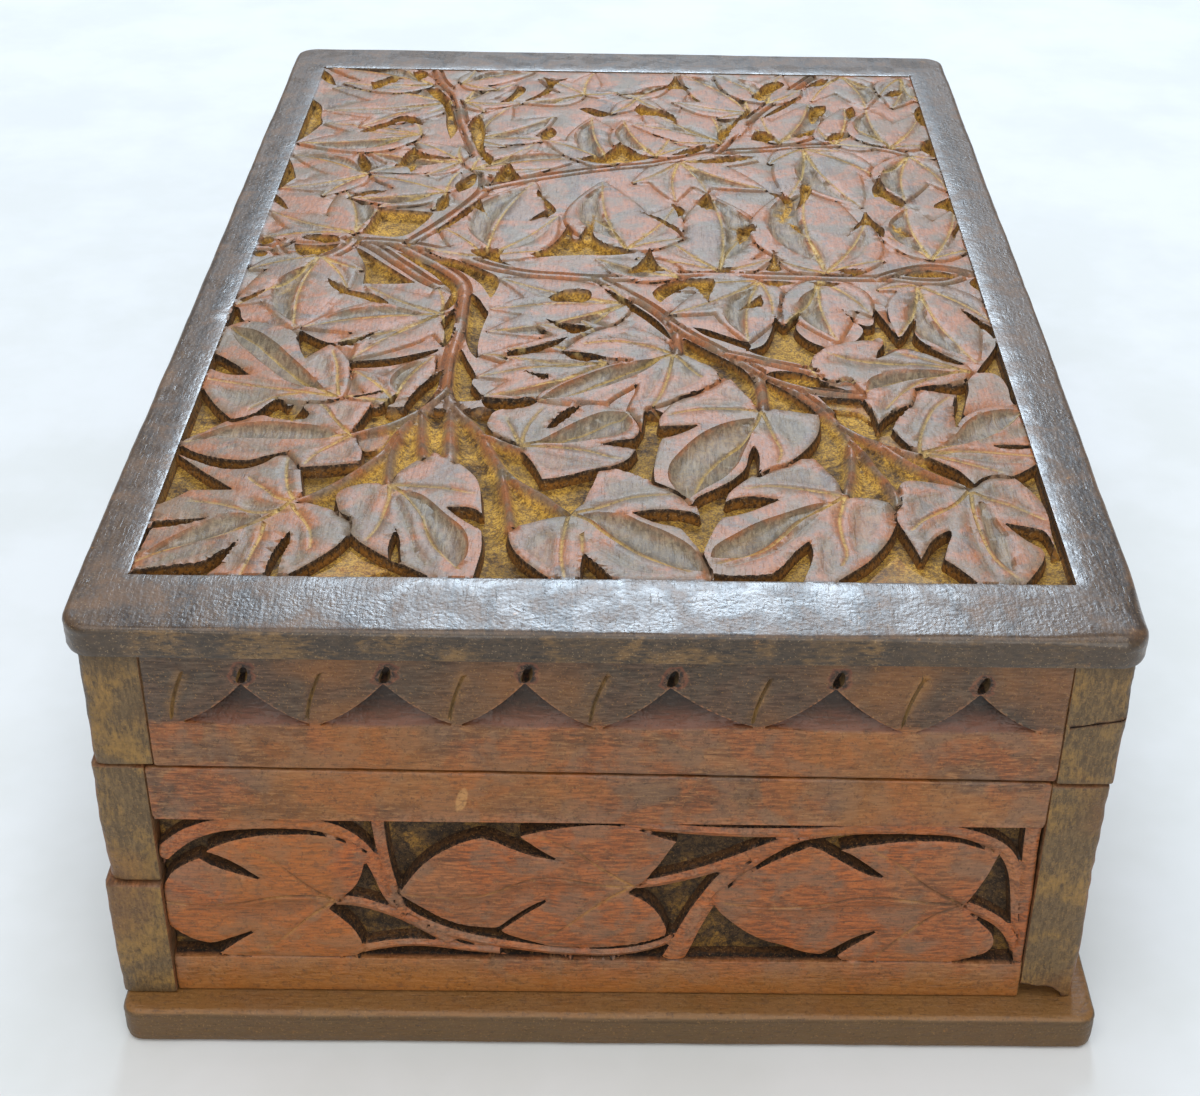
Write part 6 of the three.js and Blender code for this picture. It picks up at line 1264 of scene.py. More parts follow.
# ------------------------------------------------------------ other boards
def softened(V, faces, r, seed):
    """rounds the edges where two of the given planes meet; a plane is (axis, value, which side the wood is)"""
    V = V.copy()
    for (a0, v0, s0), (a1, v1, s1), rr in faces:
        other = 3 - a0 - a1
        R = rr * (1 + 0.3 * noise(V[:, other], V[:, other] * 0, 7, seed) + 0.15 * noise(V[:, other], V[:, other] * 0, 2.2, seed + 3))
        d0, d1 = s0 * (V[:, a0] - v0), s1 * (V[:, a1] - v1)
        i = (d0 < R) & (d1 < R)
        q0, q1 = np.maximum(R - d0, 0), np.maximum(R - d1, 0)
        l = np.maximum(np.hypot(q0, q1), 1e-9)
        k = np.where(i & (l > R), R / l, 1)
        V[:, a0] = np.where(i, v0 + s0 * (R - q0 * k), V[:, a0])
        V[:, a1] = np.where(i, v1 + s1 * (R - q1 * k), V[:, a1])
    return V


def cut_away(ob, cutters):
    """takes closed cutter meshes (points in mm, faces) out of a board"""
    made = []
    for n, (V, F) in enumerate(cutters):
        me = bpy.data.meshes.new("cutter")
        me.from_pydata((np.array(V, float) * MM).tolist(), [], F)
        c = bpy.data.objects.new("cutter", me)
        bpy.context.scene.collection.objects.link(c)
        m = ob.modifiers.new("cut", "BOOLEAN")
        m.operation, m.object, m.solver = "DIFFERENCE", c, "EXACT"
        made.append(c)
    bpy.context.view_layer.update()
    me = bpy.data.meshes.new_from_object(ob.evaluated_get(bpy.context.evaluated_depsgraph_get()))
    ob.modifiers.clear()
    old, ob.data = ob.data, me
    me.name = ob.name
    bpy.data.meshes.remove(old)
    for c in made:
        m = c.data
        bpy.data.objects.remove(c)
        bpy.data.meshes.remove(m)
    me.shade_smooth()
    me.set_sharp_from_angle(angle=math.radians(38))
    return ob


def cuboid(x0, x1, y0, y1, z0, z1):
    V = [(x, y, z) for x in (x0, x1) for y in (y0, y1) for z in (z0, z1)]
    return V, [(0, 1, 3, 2), (4, 6, 7, 5), (0, 4, 5, 1), (2, 3, 7, 6), (0, 2, 6, 4), (1, 5, 7, 3)]


def screw_hole(x, y, z, way, sides=16):
    """clearance for a countersunk screw driven the given way along z"""
    prof = [(0.95, 8.3), (0.95, 0.95), (1.75, 0.27), (1.75, -0.6)]
    V, F = [], []
    for r, d in prof:
        for k in range(sides):
            a = 2 * math.pi * k / sides
            V.append((x + r * math.cos(a), y + r * math.sin(a), z + way * d))
    for i in range(len(prof) - 1):
        for k in range(sides):
            j = (k + 1) % sides
            q = (i * sides + k, i * sides + j, (i + 1) * sides + j, (i + 1) * sides + k)
            F.append(q if way < 0 else q[::-1])
    bottom = tuple(range(sides))
    top = tuple(range(3 * sides, 4 * sides))
    F.append(bottom[::-1] if way < 0 else bottom)
    F.append(top if way < 0 else top[::-1])
    return V, F


def split_cut(line, y0, depth, seed):
    """a drying split: a thin wedge along line (x, z, width) that closes at y0 + depth"""
    top = [(x, z + w / 2 + 0.10 * float(noise(x, 0, 1.1, seed)[0])) for x, z, w in line]
    low = [(x, z - w / 2 + 0.10 * float(noise(x, 0, 1.1, seed + 1)[0])) for x, z, w in line]
    ring = top + low[::-1]
    mid = [((a[0] + b[0]) / 2, (a[1] + b[1]) / 2) for a, b in zip(top, low)]
    n = len(ring)
    V = [(x, y0 - 1.5, z) for x, z in ring]
    V += [(mx, y0 + depth * (0.55 + 0.45 * math.sin(1.3 + i * 0.4)), mz + s * 0.03) for s, seq in ((1, list(enumerate(mid))), (-1, list(enumerate(mid))[::-1]))
          for i, (mx, mz) in seq]
    F = [tuple(range(n)), tuple(range(2 * n - 1, n - 1, -1))]
    F += [(i, n + i, n + (i + 1) % n, (i + 1) % n) for i in range(n)]
    A = np.array(V)
    # turned so that the faces point out
    vol = sum(float(np.dot(A[f[0]], np.cross(A[f[i]], A[f[i + 1]]))) for f in F for i in range(1, len(f) - 1))
    return V, (F if vol > 0 else [f[::-1] for f in F])


def foot_chip():
    """a piece broken from the foot of the right-hand tab, deepest in front"""
    front = [(65.6, 5.9), (65.6, 10.0), (67.9, 9.75), (69.2, 9.3), (70.6, 9.5), (72.0, 9.05), (73.2, 8.1), (74.1, 5.9)]
    rear = [(65.6, 5.9), (65.6, 8.6), (67.7, 8.4), (69.0, 8.0), (70.1, 7.9), (71.2, 7.5), (72.2, 6.7), (72.8, 5.9)]
    n = len(front)
    V = [(x, -120.6, z) for x, z in front] + [(x, -112.6 - 0.25 * (i % 3), z) for i, (x, z) in enumerate(rear)]
    F = [tuple(range(n)), tuple(range(2 * n - 1, n - 1, -1))] + [(i, n + i, n + (i + 1) % n, (i + 1) % n) for i in range(n)]
    A = np.array(V)
    vol = sum(float(np.dot(A[f[0]], np.cross(A[f[i]], A[f[i + 1]]))) for f in F for i in range(1, len(f) - 1))
    return V, (F if vol > 0 else [f[::-1] for f in F])


def build_walls():
    out = []
    # ends of the body, between the side boards; their top edge falls towards the hinge side
    def body_post(V):
        V = V.copy()
        V[:, 2] -= (V[:, 0] + 68.0) / 134.5 * 1.25 * smooth((V[:, 2] - 43.5) / 8.6)
        return V

    def lid_post(V):
        V = V.copy()
        V[:, 2] -= (V[:, 0] + 66.5) / 133.5 * 1.25 * smooth((59.8 - V[:, 2]) / 7.3)
        return V

    front, back = ((0, -119, 0), (1, 0, 0), (0, 0, 1), (0, -1, 0)), ((0, 119, 0), (-1, 0, 0), (0, 0, 1), (0, 1, 0))
    out.append(body_wall("body_front_carved", "body_front_wall", front, -68.0, 66.5, 6.5, 52.125, 9.0, front_carving(),
                         (-70.0, 68.5), post=body_post, seed=201))
    out.append(body_wall("body_back_carved", "body_back_wall", back, -66.5, 68.0, 6.5, 52.125, 9.0,
                         run_carving(-66.5, 68.0, 3, 1), (-68.5, 70.0), post=body_post, seed=211, fine=1.1))
    chips = scallops(FRONT_PEAKS, FRONT_BOTTOMS)
    out.append(lid_wall("lid_front_carved", "lid_front_wall", front, -66.5, 67.0, 52.5, 73.0, 9.0, chips, post=lid_post,
                        seed=221))
    pk = [(-53.0, 67.8), (-32.4, 68.1), (-10.8, 68.4), (10.9, 68.0), (31.6, 68.3), (52.8, 67.7)]
    bt = [(-63.2, 60.6), (-42.6, 60.4), (-21.8, 60.6), (0.2, 60.3), (21.2, 60.5), (42.2, 60.2), (63.0, 60.5)]
    out.append(lid_wall("lid_back_carved", "lid_back_wall", back, -67.0, 66.5, 52.5, 73.0, 9.0, scallops(pk, bt),
                        post=lid_post, seed=231))

    # the long sides
    band = (-110.5, 111.0)
    cvL, cvR = run_carving(-110.5, 111.0, 5, 0), run_carving(-110.5, 110.5, 5, 1)

    def left(x):
        return ((x, 0, 0), (0, -1, 0), (0, 0, 1), (-1, 0, 0))

    def right(x):
        return ((x, 0, 0), (0, 1, 0), (0, 0, 1), (1, 0, 0))

    def ends(x_out, sx, y0, y1, z0, z1, r, seed, top=True, foot=True):
        f = [((0, x_out, sx), (1, y0, 1), r), ((0, x_out, sx), (1, y1, -1), r * 0.8)]
        if top:
            f += [((2, z1, -1), (1, y0, 1), 0.8), ((0, x_out, sx), (2, z1, -1), 0.7)]
        if foot:
            f += [((2, z0, 1), (1, y0, 1), 0.6), ((0, x_out, sx), (2, z0, 1), 0.5)]
        return lambda V: softened(V, f, r, seed)

    out.append(body_wall("body_left_lower_carved", "body_left_wall_lower", left(-77.0), -119.0, 119.75, 6.5, 29.25, 9.0, cvL, band,
                         post=ends(-77.0, 1, -119.75, 119, 6.5, 29.25, 2.1, 301), seed=241,
                         fine=1.1, sx=1.4))
    out.append(body_wall("body_left_upper_carved", "body_left_wall_upper", left(-76.25), -119.0, 119.0, 29.75, 52.25, 8.25, cvL, band,
                         post=ends(-76.25, 1, -119.0, 119, 29.75, 52.25, 2.3, 311), seed=251,
                         fine=1.1, sx=1.4))
    side_pk = [(-105 + 21 * i + 0.5 * math.sin(i * 2.1), 68.0 + 0.4 * math.sin(i * 1.3)) for i in range(11)]
    side_bt = [(-115.5 + 21 * i + 0.4 * math.cos(i * 1.7), 60.5 + 0.25 * math.sin(i * 2.3)) for i in range(12)]
    out.append(lid_wall("lid_left_carved", "lid_left_wall", left(-75.5), -119.0, 119.0, 52.625, 73.0, 9.0,
                        scallops(side_pk, side_bt), post=ends(-75.5, 1, -119, 119, 52.625, 73.0, 2.2, 321, top=False),
                        seed=261, sx=1.4))
    br = body_wall("body_right_carved", "body_right_wall", right(75.5), -119.0, 119.0, 6.5, 50.25, 9.0, cvR, (-110.5, 110.5),
                   post=ends(75.5, -1, -119, 119, 6.5, 50.25, 2.1, 331), seed=271, fine=1.1, sx=1.4)
    lr = lid_wall("lid_right_carved", "lid_right_wall", right(76.0), -119.0, 119.0, 50.75, 73.0, 9.0,
                  scallops(side_pk, side_bt), post=ends(76.0, -1, -119, 119, 50.75, 73.0, 2.2, 341, top=False),
                  seed=281, sx=1.4)
    bc, lc = [foot_chip()], []
    for yc in (-70.0, 70.0):
        bc.append(cuboid(67.75, 77.5, yc - 13.25, yc + 13.25, 49.0, 52.25))
        lc.append(cuboid(67.75, 78.0, yc - 13.25, yc + 13.25, 48.75, 52.0))
        for dy in (-7.0, 7.0):
            bc.append(screw_hole(71.5, yc + dy, 50.25, -1))
            lc.append(screw_hole(71.5, yc + dy, 50.75, 1))
    crack = [(67.6 + i * 0.7, 61.55 + 0.2 * i * 0.7 * 0.92, 0.14 + 0.05 * i) for i in range(14)]
    lc.append(split_cut(crack, -119.0, 4.5, 17))
    out += [cut_away(br, bc), cut_away(lr, lc)]
    return out


def build_base():
    lo, hi = box_mm("base_board")
    x0, y0, x1, y1, top = lo[0], lo[1], hi[0], hi[1], hi[2]
    T, R = hi[2] - lo[2], 3.0
    outline = rounded(x0, x1, y0, y1, R, 1.2, 1.2)
    rings = [inset(outline, d) for d in (0.12, 0.32, 0.6, 0.95, 1.35, 1.9)]
    shelf = scatter(x0 + 2.2, x1 - 2.2, y0 + 2.2, y1 - 2.2, 1.6, 401)
    keep = (shelf[:, 0] < x0 + 8) | (shelf[:, 0] > x1 - 8) | (shelf[:, 1] < y0 + 9) | (shelf[:, 1] > y1 - 9)
    wide = scatter(x0 + 9, x1 - 9, y0 + 10, y1 - 10, 6.0, 402)
    P = np.vstack(rings + [shelf[keep], wide])

    def height(Q):
        X, Y = Q.T
        ex, ey = np.minimum(X - x0, x1 - X), np.minimum(Y - y0, y1 - Y)
        cx, cy = np.maximum(R - ex, 0), np.maximum(R - ey, 0)
        d = np.where((cx > 0) & (cy > 0), R - np.hypot(cx, cy), np.minimum(ex, ey))
        r = 1.15 + 0.3 * noise(X, Y, 14, 403) + 0.15 * noise(X, Y, 3.5, 404)
        H = -0.03 - 0.03 * np.abs(noise(X, Y, 9, 405)) - arris(np.maximum(d, 0), r)
        z = np.zeros(len(Q))
        return np.minimum(H, -0.01), dict(hollow=z, vein=z, ground=z, frame=z + 1)

    def post(V):
        V = V.copy()
        X, Y = V[:, 0].copy(), V[:, 1].copy()
        e = lambda c, k: 0.14 + 0.12 * noise(c, c * 0, 34, k) + 0.06 * noise(c, c * 0, 5, k + 1)
        V[:, 0] += smooth(1 - (X - x0) / 4) * e(Y, 410) - smooth(1 - (x1 - X) / 4) * e(Y, 412)
        V[:, 1] += smooth(1 - (Y - y0) / 4) * e(X, 414) - smooth(1 - (y1 - Y) / 4) * e(X, 416)
        return V

    return board("base_board_worn", "body", "base_board", ((0, 0, top), (1, 0, 0), (0, 1, 0), (0, 0, 1)),
                 outline, P, height, T, r_back=0.8, rings=[1.7, 2.5, 3.4, 4.3, 5.2], post=post, rough=0.12, seed=8)


# --------------------------------------------------------------- materials
def srgb(r, g, b):
    f = lambda c: ((c / 255 + 0.055) / 1.055) ** 2.4 if c > 10.3 else c / 255 / 12.92
    return (f(r), f(g), f(b), 1.0)


class Graph:
    def __init__(self, name):
        self.mat = bpy.data.materials.new(name)
        self.mat.use_nodes = True
        self.tree = self.mat.node_tree
        self.tree.nodes.clear()
        self.k = 0

    def add(self, kind, **props):
        n = self.tree.nodes.new(kind)
        for a, v in props.items():
            setattr(n, a, v)
        n.location = (self.k % 12 * 180, -(self.k // 12) * 240)
        self.k += 1
        return n

    def put(self, socket, value):
        if isinstance(value, bpy.types.NodeSocket):
            self.tree.links.new(value, socket)
        else:
            socket.default_value = value

    def coords(self):
        n = self.add("ShaderNodeTexCoord")
        m = self.add("ShaderNodeVectorMath", operation="SCALE")
        self.put(m.inputs[0], n.outputs["Object"])
        m.inputs["Scale"].default_value = 1000.0
        self.normal = n.outputs["Normal"]
        return m.outputs[0]

    def stretch(self, vec, s):
        m = self.add("ShaderNodeVectorMath", operation="MULTIPLY")
        self.put(m.inputs[0], vec)
        m.inputs[1].default_value = s
        return m.outputs[0]

    def move(self, vec, s):
        m = self.add("ShaderNodeVectorMath", operation="ADD")
        self.put(m.inputs[0], vec)
        self.put(m.inputs[1], s)
        return m.outputs[0]

    def noise(self, vec, scale, detail=3.0, rough=0.55, dist=0.0):
        n = self.add("ShaderNodeTexNoise")
        self.put(n.inputs["Vector"], vec)
        n.inputs["Scale"].default_value = scale
        n.inputs["Detail"].default_value = detail
        n.inputs["Roughness"].default_value = rough
        n.inputs["Distortion"].default_value = dist
        return n.outputs[0]

    def math(self, op, a, b=0.0, clamp=False):
        n = self.add("ShaderNodeMath", operation=op, use_clamp=clamp)
        self.put(n.inputs[0], a)
        self.put(n.inputs[1], b)
        return n.outputs[0]

    def step(self, v, lo, hi, a=0.0, b=1.0):
        n = self.add("ShaderNodeMapRange", interpolation_type="SMOOTHSTEP")
        self.put(n.inputs["Value"], v)
        n.inputs["From Min"].default_value, n.inputs["From Max"].default_value = lo, hi
        n.inputs["To Min"].default_value, n.inputs["To Max"].default_value = a, b
        return n.outputs[0]

    def mix(self, fac, a, b, blend="MIX"):
        n = self.add("ShaderNodeMix", data_type="RGBA", blend_type=blend)
        self.put(n.inputs[0], fac)
        self.put(n.inputs[6], a)
        self.put(n.inputs[7], b)
        return n.outputs[2]

    def attr(self, name):
        return self.add("ShaderNodeAttribute", attribute_name=name, attribute_type="GEOMETRY").outputs["Fac"]

    def split(self, vec):
        n = self.add("ShaderNodeSeparateXYZ")
        self.put(n.inputs[0], vec)
        return n.outputs


def wood(name, axis, face, tones, seed, shine=0.42, coat=0.2, spec=0.45, tint=False, glaze=0.36, bumps=0.8):
    """Old oiled walnut. axis is the way the grain runs, face the way the carved face looks, tones its colours."""
    g = Graph(name)
    raw = g.coords()
    n = g.split(g.normal)
    P = g.move(raw, (seed * 31.7, seed * 17.3, seed * 9.1))
    s = [1.0, 1.0, 1.0]
    s[axis] = 0.05
    G = g.stretch(P, tuple(s))
    warp = g.noise(P, 0.045, 2.0, 0.5)
    wv = g.add("ShaderNodeCombineXYZ")
    for k in range(3):
        if k != axis:
            g.put(wv.inputs[k], g.math("MULTIPLY", warp, 4.0))
    G = g.move(G, wv.outputs[0])
    figure = g.noise(G, 0.24, 3.0, 0.55, 0.15)
    s[axis] = 0.16
    H = g.stretch(P, tuple(s))
    streak = g.noise(H, 2.1, 5.0, 0.7, 0.25)
    s[axis] = 0.09
    pore = g.step(g.noise(g.stretch(P, tuple(s)), 3.1, 2.0, 0.6), 0.62, 0.72)
    patch = g.noise(P, 0.105, 4.0, 0.55, 0.7)
    patch2 = g.noise(g.move(P, (71.0, 13.0, 47.0)), 0.14, 4.0, 0.6, 0.5)
    broad = g.noise(P, 0.028, 3.0, 0.55, 0.3)
    fine = g.noise(P, 1.7, 5.0, 0.68)
    grit = g.noise(P, 2.9, 3.0, 0.6)

    def tone(t):
        c = g.mix(g.step(figure, 0.34, 0.60), t["dark"], t["mid"])
        c = g.mix(g.step(streak, 0.46, 0.68, 0.0, 0.75), c, t["light"])
        return g.mix(g.step(streak, 0.48, 0.32, 0.0, 0.5), c, t["dark"])

    c = tone(tones)
    frame_ = g.attr("frame")
    reds = g.mix(g.step(streak, 0.36, 0.62), tones["red2"], tones["red"])
    c = g.mix(g.step(g.math("ADD", patch, g.math("MULTIPLY", fine, 0.12)), tones.get("redfrom", 0.50), tones.get("redfrom", 0.50) + 0.12, 0.0, tones["reds"]), c, reds)
    if "leafred" in tones:
        c = g.mix(g.math("MULTIPLY", g.math("SUBTRACT", 1.0, frame_), g.step(broad, 0.36, 0.56, 0.35, 0.8)), c, g.mix(g.step(streak, 0.32, 0.66), tones["red2"], tones["leafred"]))
    c = g.mix(g.step(g.math("ADD", patch2, g.math("MULTIPLY", fine, 0.12)), 0.52, 0.66, 0.0, tones["hazes"]), c, tones["haze"])
    if "frame" in tones:
        cf = tone(tones["frame"])
        cf = g.mix(g.step(patch2, 0.50, 0.68, 0.0, 0.45), cf, tones["frame"]["rub"])
        c = g.mix(frame_, c, cf)
    if "scallop" in tones:
        cs = g.mix(g.step(streak, 0.38, 0.66), tones["scallop"][0], tones["scallop"][1])
        c = g.mix(g.math("MULTIPLY", g.attr("scallop"), 0.8), c, cs)
    if tint:
        z = g.math("ADD", g.split(raw)[2], g.math("MULTIPLY", patch, 9.0))
        c = g.mix(g.step(z, 21.0, 10.0, 0.0, 0.62), c, tones["tint"])
        c = g.mix(g.step(broad, 0.50, 0.62, 0.0, 0.35), c, tones["tint"])
    if tint:
        x, y, z = g.split(raw)
        du = g.math("MULTIPLY", g.math("ADD", g.math("ADD", x, 21.4), g.math("MULTIPLY", g.math("SUBTRACT", z, 46.6), -0.22)), 1.15)
        dv = g.math("MULTIPLY", g.math("SUBTRACT", z, 46.6), 0.42)
        r = g.math("ADD", g.math("ADD", g.math("MULTIPLY", du, du), g.math("MULTIPLY", dv, dv)), g.math("MULTIPLY", fine, 1.1))
        c = g.mix(g.math("MULTIPLY", g.step(r, 1.75, 1.15, 0.0, 0.7), g.step(y, -112.0, -115.0)), c, srgb(186, 138, 84))
    # painted shade: faces that do not look up or down are darkened (used for the base)
    if "side" in tones:
        c = g.mix(g.step(g.math("ABSOLUTE", n[2]), 0.7, 0.35, 0.0, 0.6), c, tones["side"])
    hollow, vein, ground, edge, dip = (g.attr(k) for k in ("hollow", "vein", "ground", "edge", "dip"))
    scrape = g.noise(H, 1.2, 4.0, 0.6, 0.8)
    hc = g.mix(g.step(scrape, 0.36, 0.66), tones["hollow"][0], tones["hollow"][1])
    c = g.mix(g.math("MULTIPLY", hollow, tones["hollows"]), c, hc)
    # the sunk ground, with old polish and dust left in it; on the upright panels its darker tones are also painted
    # shade
    soil = g.noise(P, 1.25, 5.0, 0.75, 0.4)
    gc = g.mix(g.step(soil, 0.44, 0.56), tones["soil"], tones["dust"])
    gold = g.mix(g.step(soil, 0.40, 0.54), tones["dust"], tones["ochre"])
    gc = g.mix(g.step(patch2, *tones["gold"]), gc, gold)
    gc = g.mix(g.step(grit, 0.52, 0.60, 0.0, 0.7), gc, tones["soil"])
    c = g.mix(ground, c, gc)
    # painted shade: chips and punches go from the reddish wood of their shallow part to near-black where they are
    # deepest
    chip = g.attr("chip")
    deep = g.step(g.math("ADD", chip, g.math("MULTIPLY", g.math("SUBTRACT", streak, 0.5), 0.7)), 0.15, 0.75)
    c = g.mix(g.step(chip, 0.0, 0.25, 0.0, 0.92), c, g.mix(deep, tones["chip"][1], tones["chip"][0]))
    # steep cut walls get a dark painted shade, with ochre dust at their foot where they meet the ground
    inner = g.math("MAXIMUM", g.math("SUBTRACT", 1.0, frame_), chip)
    steep = g.step(g.math("ABSOLUTE", n[face]), 0.86, 0.45)
    steep = g.math("MULTIPLY", g.math("MULTIPLY", steep, inner), g.math("SUBTRACT", 1.0, g.math("MULTIPLY", g.attr("stem"), 0.8)))
    foot = g.math("MULTIPLY", g.step(ground, 0.05, 0.75), g.step(fine, 0.38, 0.56, 0.25, 1.0))
    c = g.mix(steep, c, g.mix(g.step(fine, 0.50, 0.62), g.mix(foot, tones["wall"][0], tones["foot"]), g.mix(foot, tones["wall"][1], tones["foot"])))
    seam = g.mix(g.step(patch2, 0.42, 0.56), tones["seam"], tones["seam2"])
    c = g.mix(g.math("MULTIPLY", vein, g.step(fine, 0.34, 0.54, 0.3, 1.0)), c, seam)
    # painted shade: places lower than what is round them are darkened towards the darkest wall tone
    painted_recess_shade = g.math("MULTIPLY", g.step(dip, 0.15, 1.2), g.step(patch, 0.35, 0.65, 0.8, 0.35))
    c = g.mix(g.math("MULTIPLY", painted_recess_shade, 0.7), c, tones["wall"][0])
    # raised edges turn lighter in patches: real edge wear plus painted glints
    wear_and_glint = g.math("MULTIPLY", g.step(edge, 0.5, 0.95), g.step(fine, 0.46, 0.58, 0.0, tones["rub"]))
    c = g.mix(wear_and_glint, c, tones["wear_and_glint"])
    # end grain
    end = g.step(g.math("ABSOLUTE", n[axis]), 0.55, 0.85)
    if axis == face:
        end = 0.0
    end = g.math("MULTIPLY", end, frame_)
    run = [1.0, 1.0, 1.0]
    run[0 if face == 2 else 2] = 0.3
    fibre = g.noise(g.stretch(P, tuple(run)), 1.9, 6.0, 0.72, 0.3)
    ce = g.mix(g.step(fibre, 0.30, 0.66), tones["end"][0], tones["end"][1])
    rubbed = g.math("ADD", g.math("MULTIPLY", patch, 0.7), g.math("MULTIPLY", fibre, 0.5))
    ce = g.mix(g.step(rubbed, 0.56, 0.76, 0.0, 0.7), ce, tones["end"][2])
    ce = g.mix(g.step(patch2, 0.48, 0.68, 0.0, 0.3), ce, tones["end"][0])
    ce = g.mix(g.step(broad, 0.50, 0.60, 0.0, 0.4), ce, tones.get("rust", tones["end"][1]))
    c = g.mix(end, c, ce)
    # pores, specks of old polish, grime
    c = g.mix(g.math("MULTIPLY", pore, tones["pores"]), c, tones["wall"][0])
    if "spots" in tones:
        spot = g.step(g.noise(P, 0.34, 5.0, 0.7, 0.6), 0.64, 0.72)
        spot = g.math("MULTIPLY", g.math("MULTIPLY", spot, frame_), g.step(fine, 0.42, 0.60, 0.25, 0.7))
        c = g.mix(spot, c, tones["spots"])
    grime = g.step(g.noise(P, 0.75, 6.0, 0.75, 0.2), 0.53, 0.62)
    c = g.mix(g.math("MULTIPLY", grime, 0.42), c, tones["grime"])
    c = g.mix(g.math("MULTIPLY", g.step(grit, 0.60, 0.68, 0.0, 0.45), g.math("SUBTRACT", 1.0, g.step(chip, 0.0, 0.2))), c, tones["speck"])
    c = g.mix(g.step(fine, 0.44, 0.34, 0.0, 0.4), c, tones["wall"][0])
    rough = g.math("ADD", g.math("MULTIPLY", fine, 0.30), shine - 0.15)
    if "gloss" in tones:
        rough = g.math("ADD", rough, g.math("MULTIPLY", frame_, g.step(patch2, 0.42, 0.60, -tones["gloss"], tones["gloss"])))
    rough = g.math("ADD", rough, g.math("MULTIPLY", ground, 0.42))
    rough = g.math("ADD", rough, g.math("MULTIPLY", hollow, 0.06))
    rough = g.math("ADD", rough, g.math("MULTIPLY", steep, 0.3))
    rough = g.math("ADD", rough, g.math("MULTIPLY", vein, 0.25), True)
    # relief finer than the mesh: fibres, tool crinkle, pores and grit
    fibres = g.noise(g.move(H, (5.0, 3.0, 1.0)), 1.5, 2.0, 0.5, 0.3)
    soft = g.noise(P, 1.7, 2.0, 0.5)
    crinkle = g.math("ADD", g.math("MULTIPLY", g.noise(P, 0.55, 1.0, 0.5, 1.0), 0.9), g.math("MULTIPLY", g.noise(P, 1.7, 1.0, 0.5, 0.9), 0.42))
    height = g.math("ADD", g.math("MULTIPLY", fibres, tones["ridges"]), g.math("MULTIPLY", soft, 0.25))
    height = g.math("ADD", height, g.math("MULTIPLY", crinkle, g.math("ADD", g.math("MULTIPLY", frame_, tones["crinkle"] - 0.25), 0.25)))
    height = g.math("SUBTRACT", height, g.math("MULTIPLY", pore, 0.12))
    height = g.math("ADD", height, g.math("MULTIPLY", ground, g.math("MULTIPLY", g.math("ADD", soil, fine), 0.7)))
    height = g.math("ADD", height, g.math("MULTIPLY", hollow, g.math("MULTIPLY", g.noise(H, 1.2, 2.0, 0.5, 0.8), 0.8)))
    b = g.add("ShaderNodeBsdfPrincipled")
    g.put(b.inputs["Base Color"], c)
    g.put(b.inputs["Roughness"], rough)
    b.inputs["Specular IOR Level"].default_value = spec
    b.inputs["Coat Weight"].default_value = coat
    b.inputs["Coat Roughness"].default_value = glaze
    bump = g.add("ShaderNodeBump")
    bump.inputs["Strength"].default_value = bumps
    bump.inputs["Distance"].default_value = 0.0003
    g.put(bump.inputs["Height"], height)
    g.put(b.inputs["Normal"], bump.outputs[0])
    g.put(b.inputs["Coat Normal"], bump.outputs[0])
    o = g.add("ShaderNodeOutputMaterial")
    g.tree.links.new(b.outputs[0], o.inputs[0])
    return g.mat


def metal(name, bright, dull, tarnish, rough, seed):
    g = Graph(name)
    P = g.move(g.coords(), (seed * 13.1, seed * 7.7, 0))
    spot = g.noise(P, 0.8, 5.0, 0.65, 0.3)
    fine = g.noise(P, 3.5, 4.0, 0.6)
    rub = g.noise(g.stretch(P, (1.0, 0.12, 1.0)), 2.4, 4.0, 0.6)
    c = g.mix(g.step(spot, 0.38, 0.66), bright, dull)
    c = g.mix(g.step(fine, 0.55, 0.72, 0.0, 0.8), c, tarnish)
    b = g.add("ShaderNodeBsdfPrincipled")
    g.put(b.inputs["Base Color"], c)
    b.inputs["Metallic"].default_value = 1.0
    g.put(b.inputs["Roughness"], g.math("ADD", g.math("MULTIPLY", spot, 0.35), rough - 0.15))
    bump = g.add("ShaderNodeBump")
    bump.inputs["Strength"].default_value = 0.4
    bump.inputs["Distance"].default_value = 0.00008
    g.put(bump.inputs["Height"], g.math("ADD", rub, g.math("MULTIPLY", fine, 0.5)))
    g.put(b.inputs["Normal"], bump.outputs[0])
    o = g.add("ShaderNodeOutputMaterial")
    g.tree.links.new(b.outputs[0], o.inputs[0])
    return g.mat


LID_TONES = dict(
    dark=srgb(94, 70, 53), mid=srgb(124, 94, 72), light=srgb(144, 112, 86), red=srgb(168, 100, 52), red2=srgb(142, 85, 46),
    reds=0.85, redfrom=0.46, haze=srgb(114, 103, 84), hazes=0.65, hollow=(srgb(88, 77, 60), srgb(140, 125, 100)), hollows=0.8,
    soil=srgb(66, 42, 13), dust=srgb(152, 112, 46), ochre=srgb(214, 167, 70), gold=(0.36, 0.54),
    # wall: dark tones painted on steep cut walls as painted shade, also used for pores and dark specks
    wall=(srgb(36, 23, 11), srgb(80, 53, 22)), foot=srgb(140, 92, 32), seam=srgb(212, 184, 116), seam2=srgb(184, 158, 104),
    # wear_and_glint: lighter tone for raised edges, real edge wear plus painted glints; rub sets how much
    wear_and_glint=srgb(162, 134, 112), rub=0.3, pores=0.2, ridges=0.25, crinkle=0.35, spots=srgb(176, 124, 62),
    # chip: the first tone is painted shade for the deep part of chips and punches, the second the wood of the shallow
    # part
    chip=(srgb(60, 40, 28), srgb(84, 56, 40)), grime=srgb(84, 68, 54), speck=srgb(168, 142, 104),
    gloss=0.13, frame=dict(dark=srgb(50, 37, 28), mid=srgb(80, 60, 43), light=srgb(102, 78, 55), rub=srgb(124, 88, 54)),
    end=(srgb(34, 26, 18), srgb(72, 56, 38), srgb(134, 100, 52)))
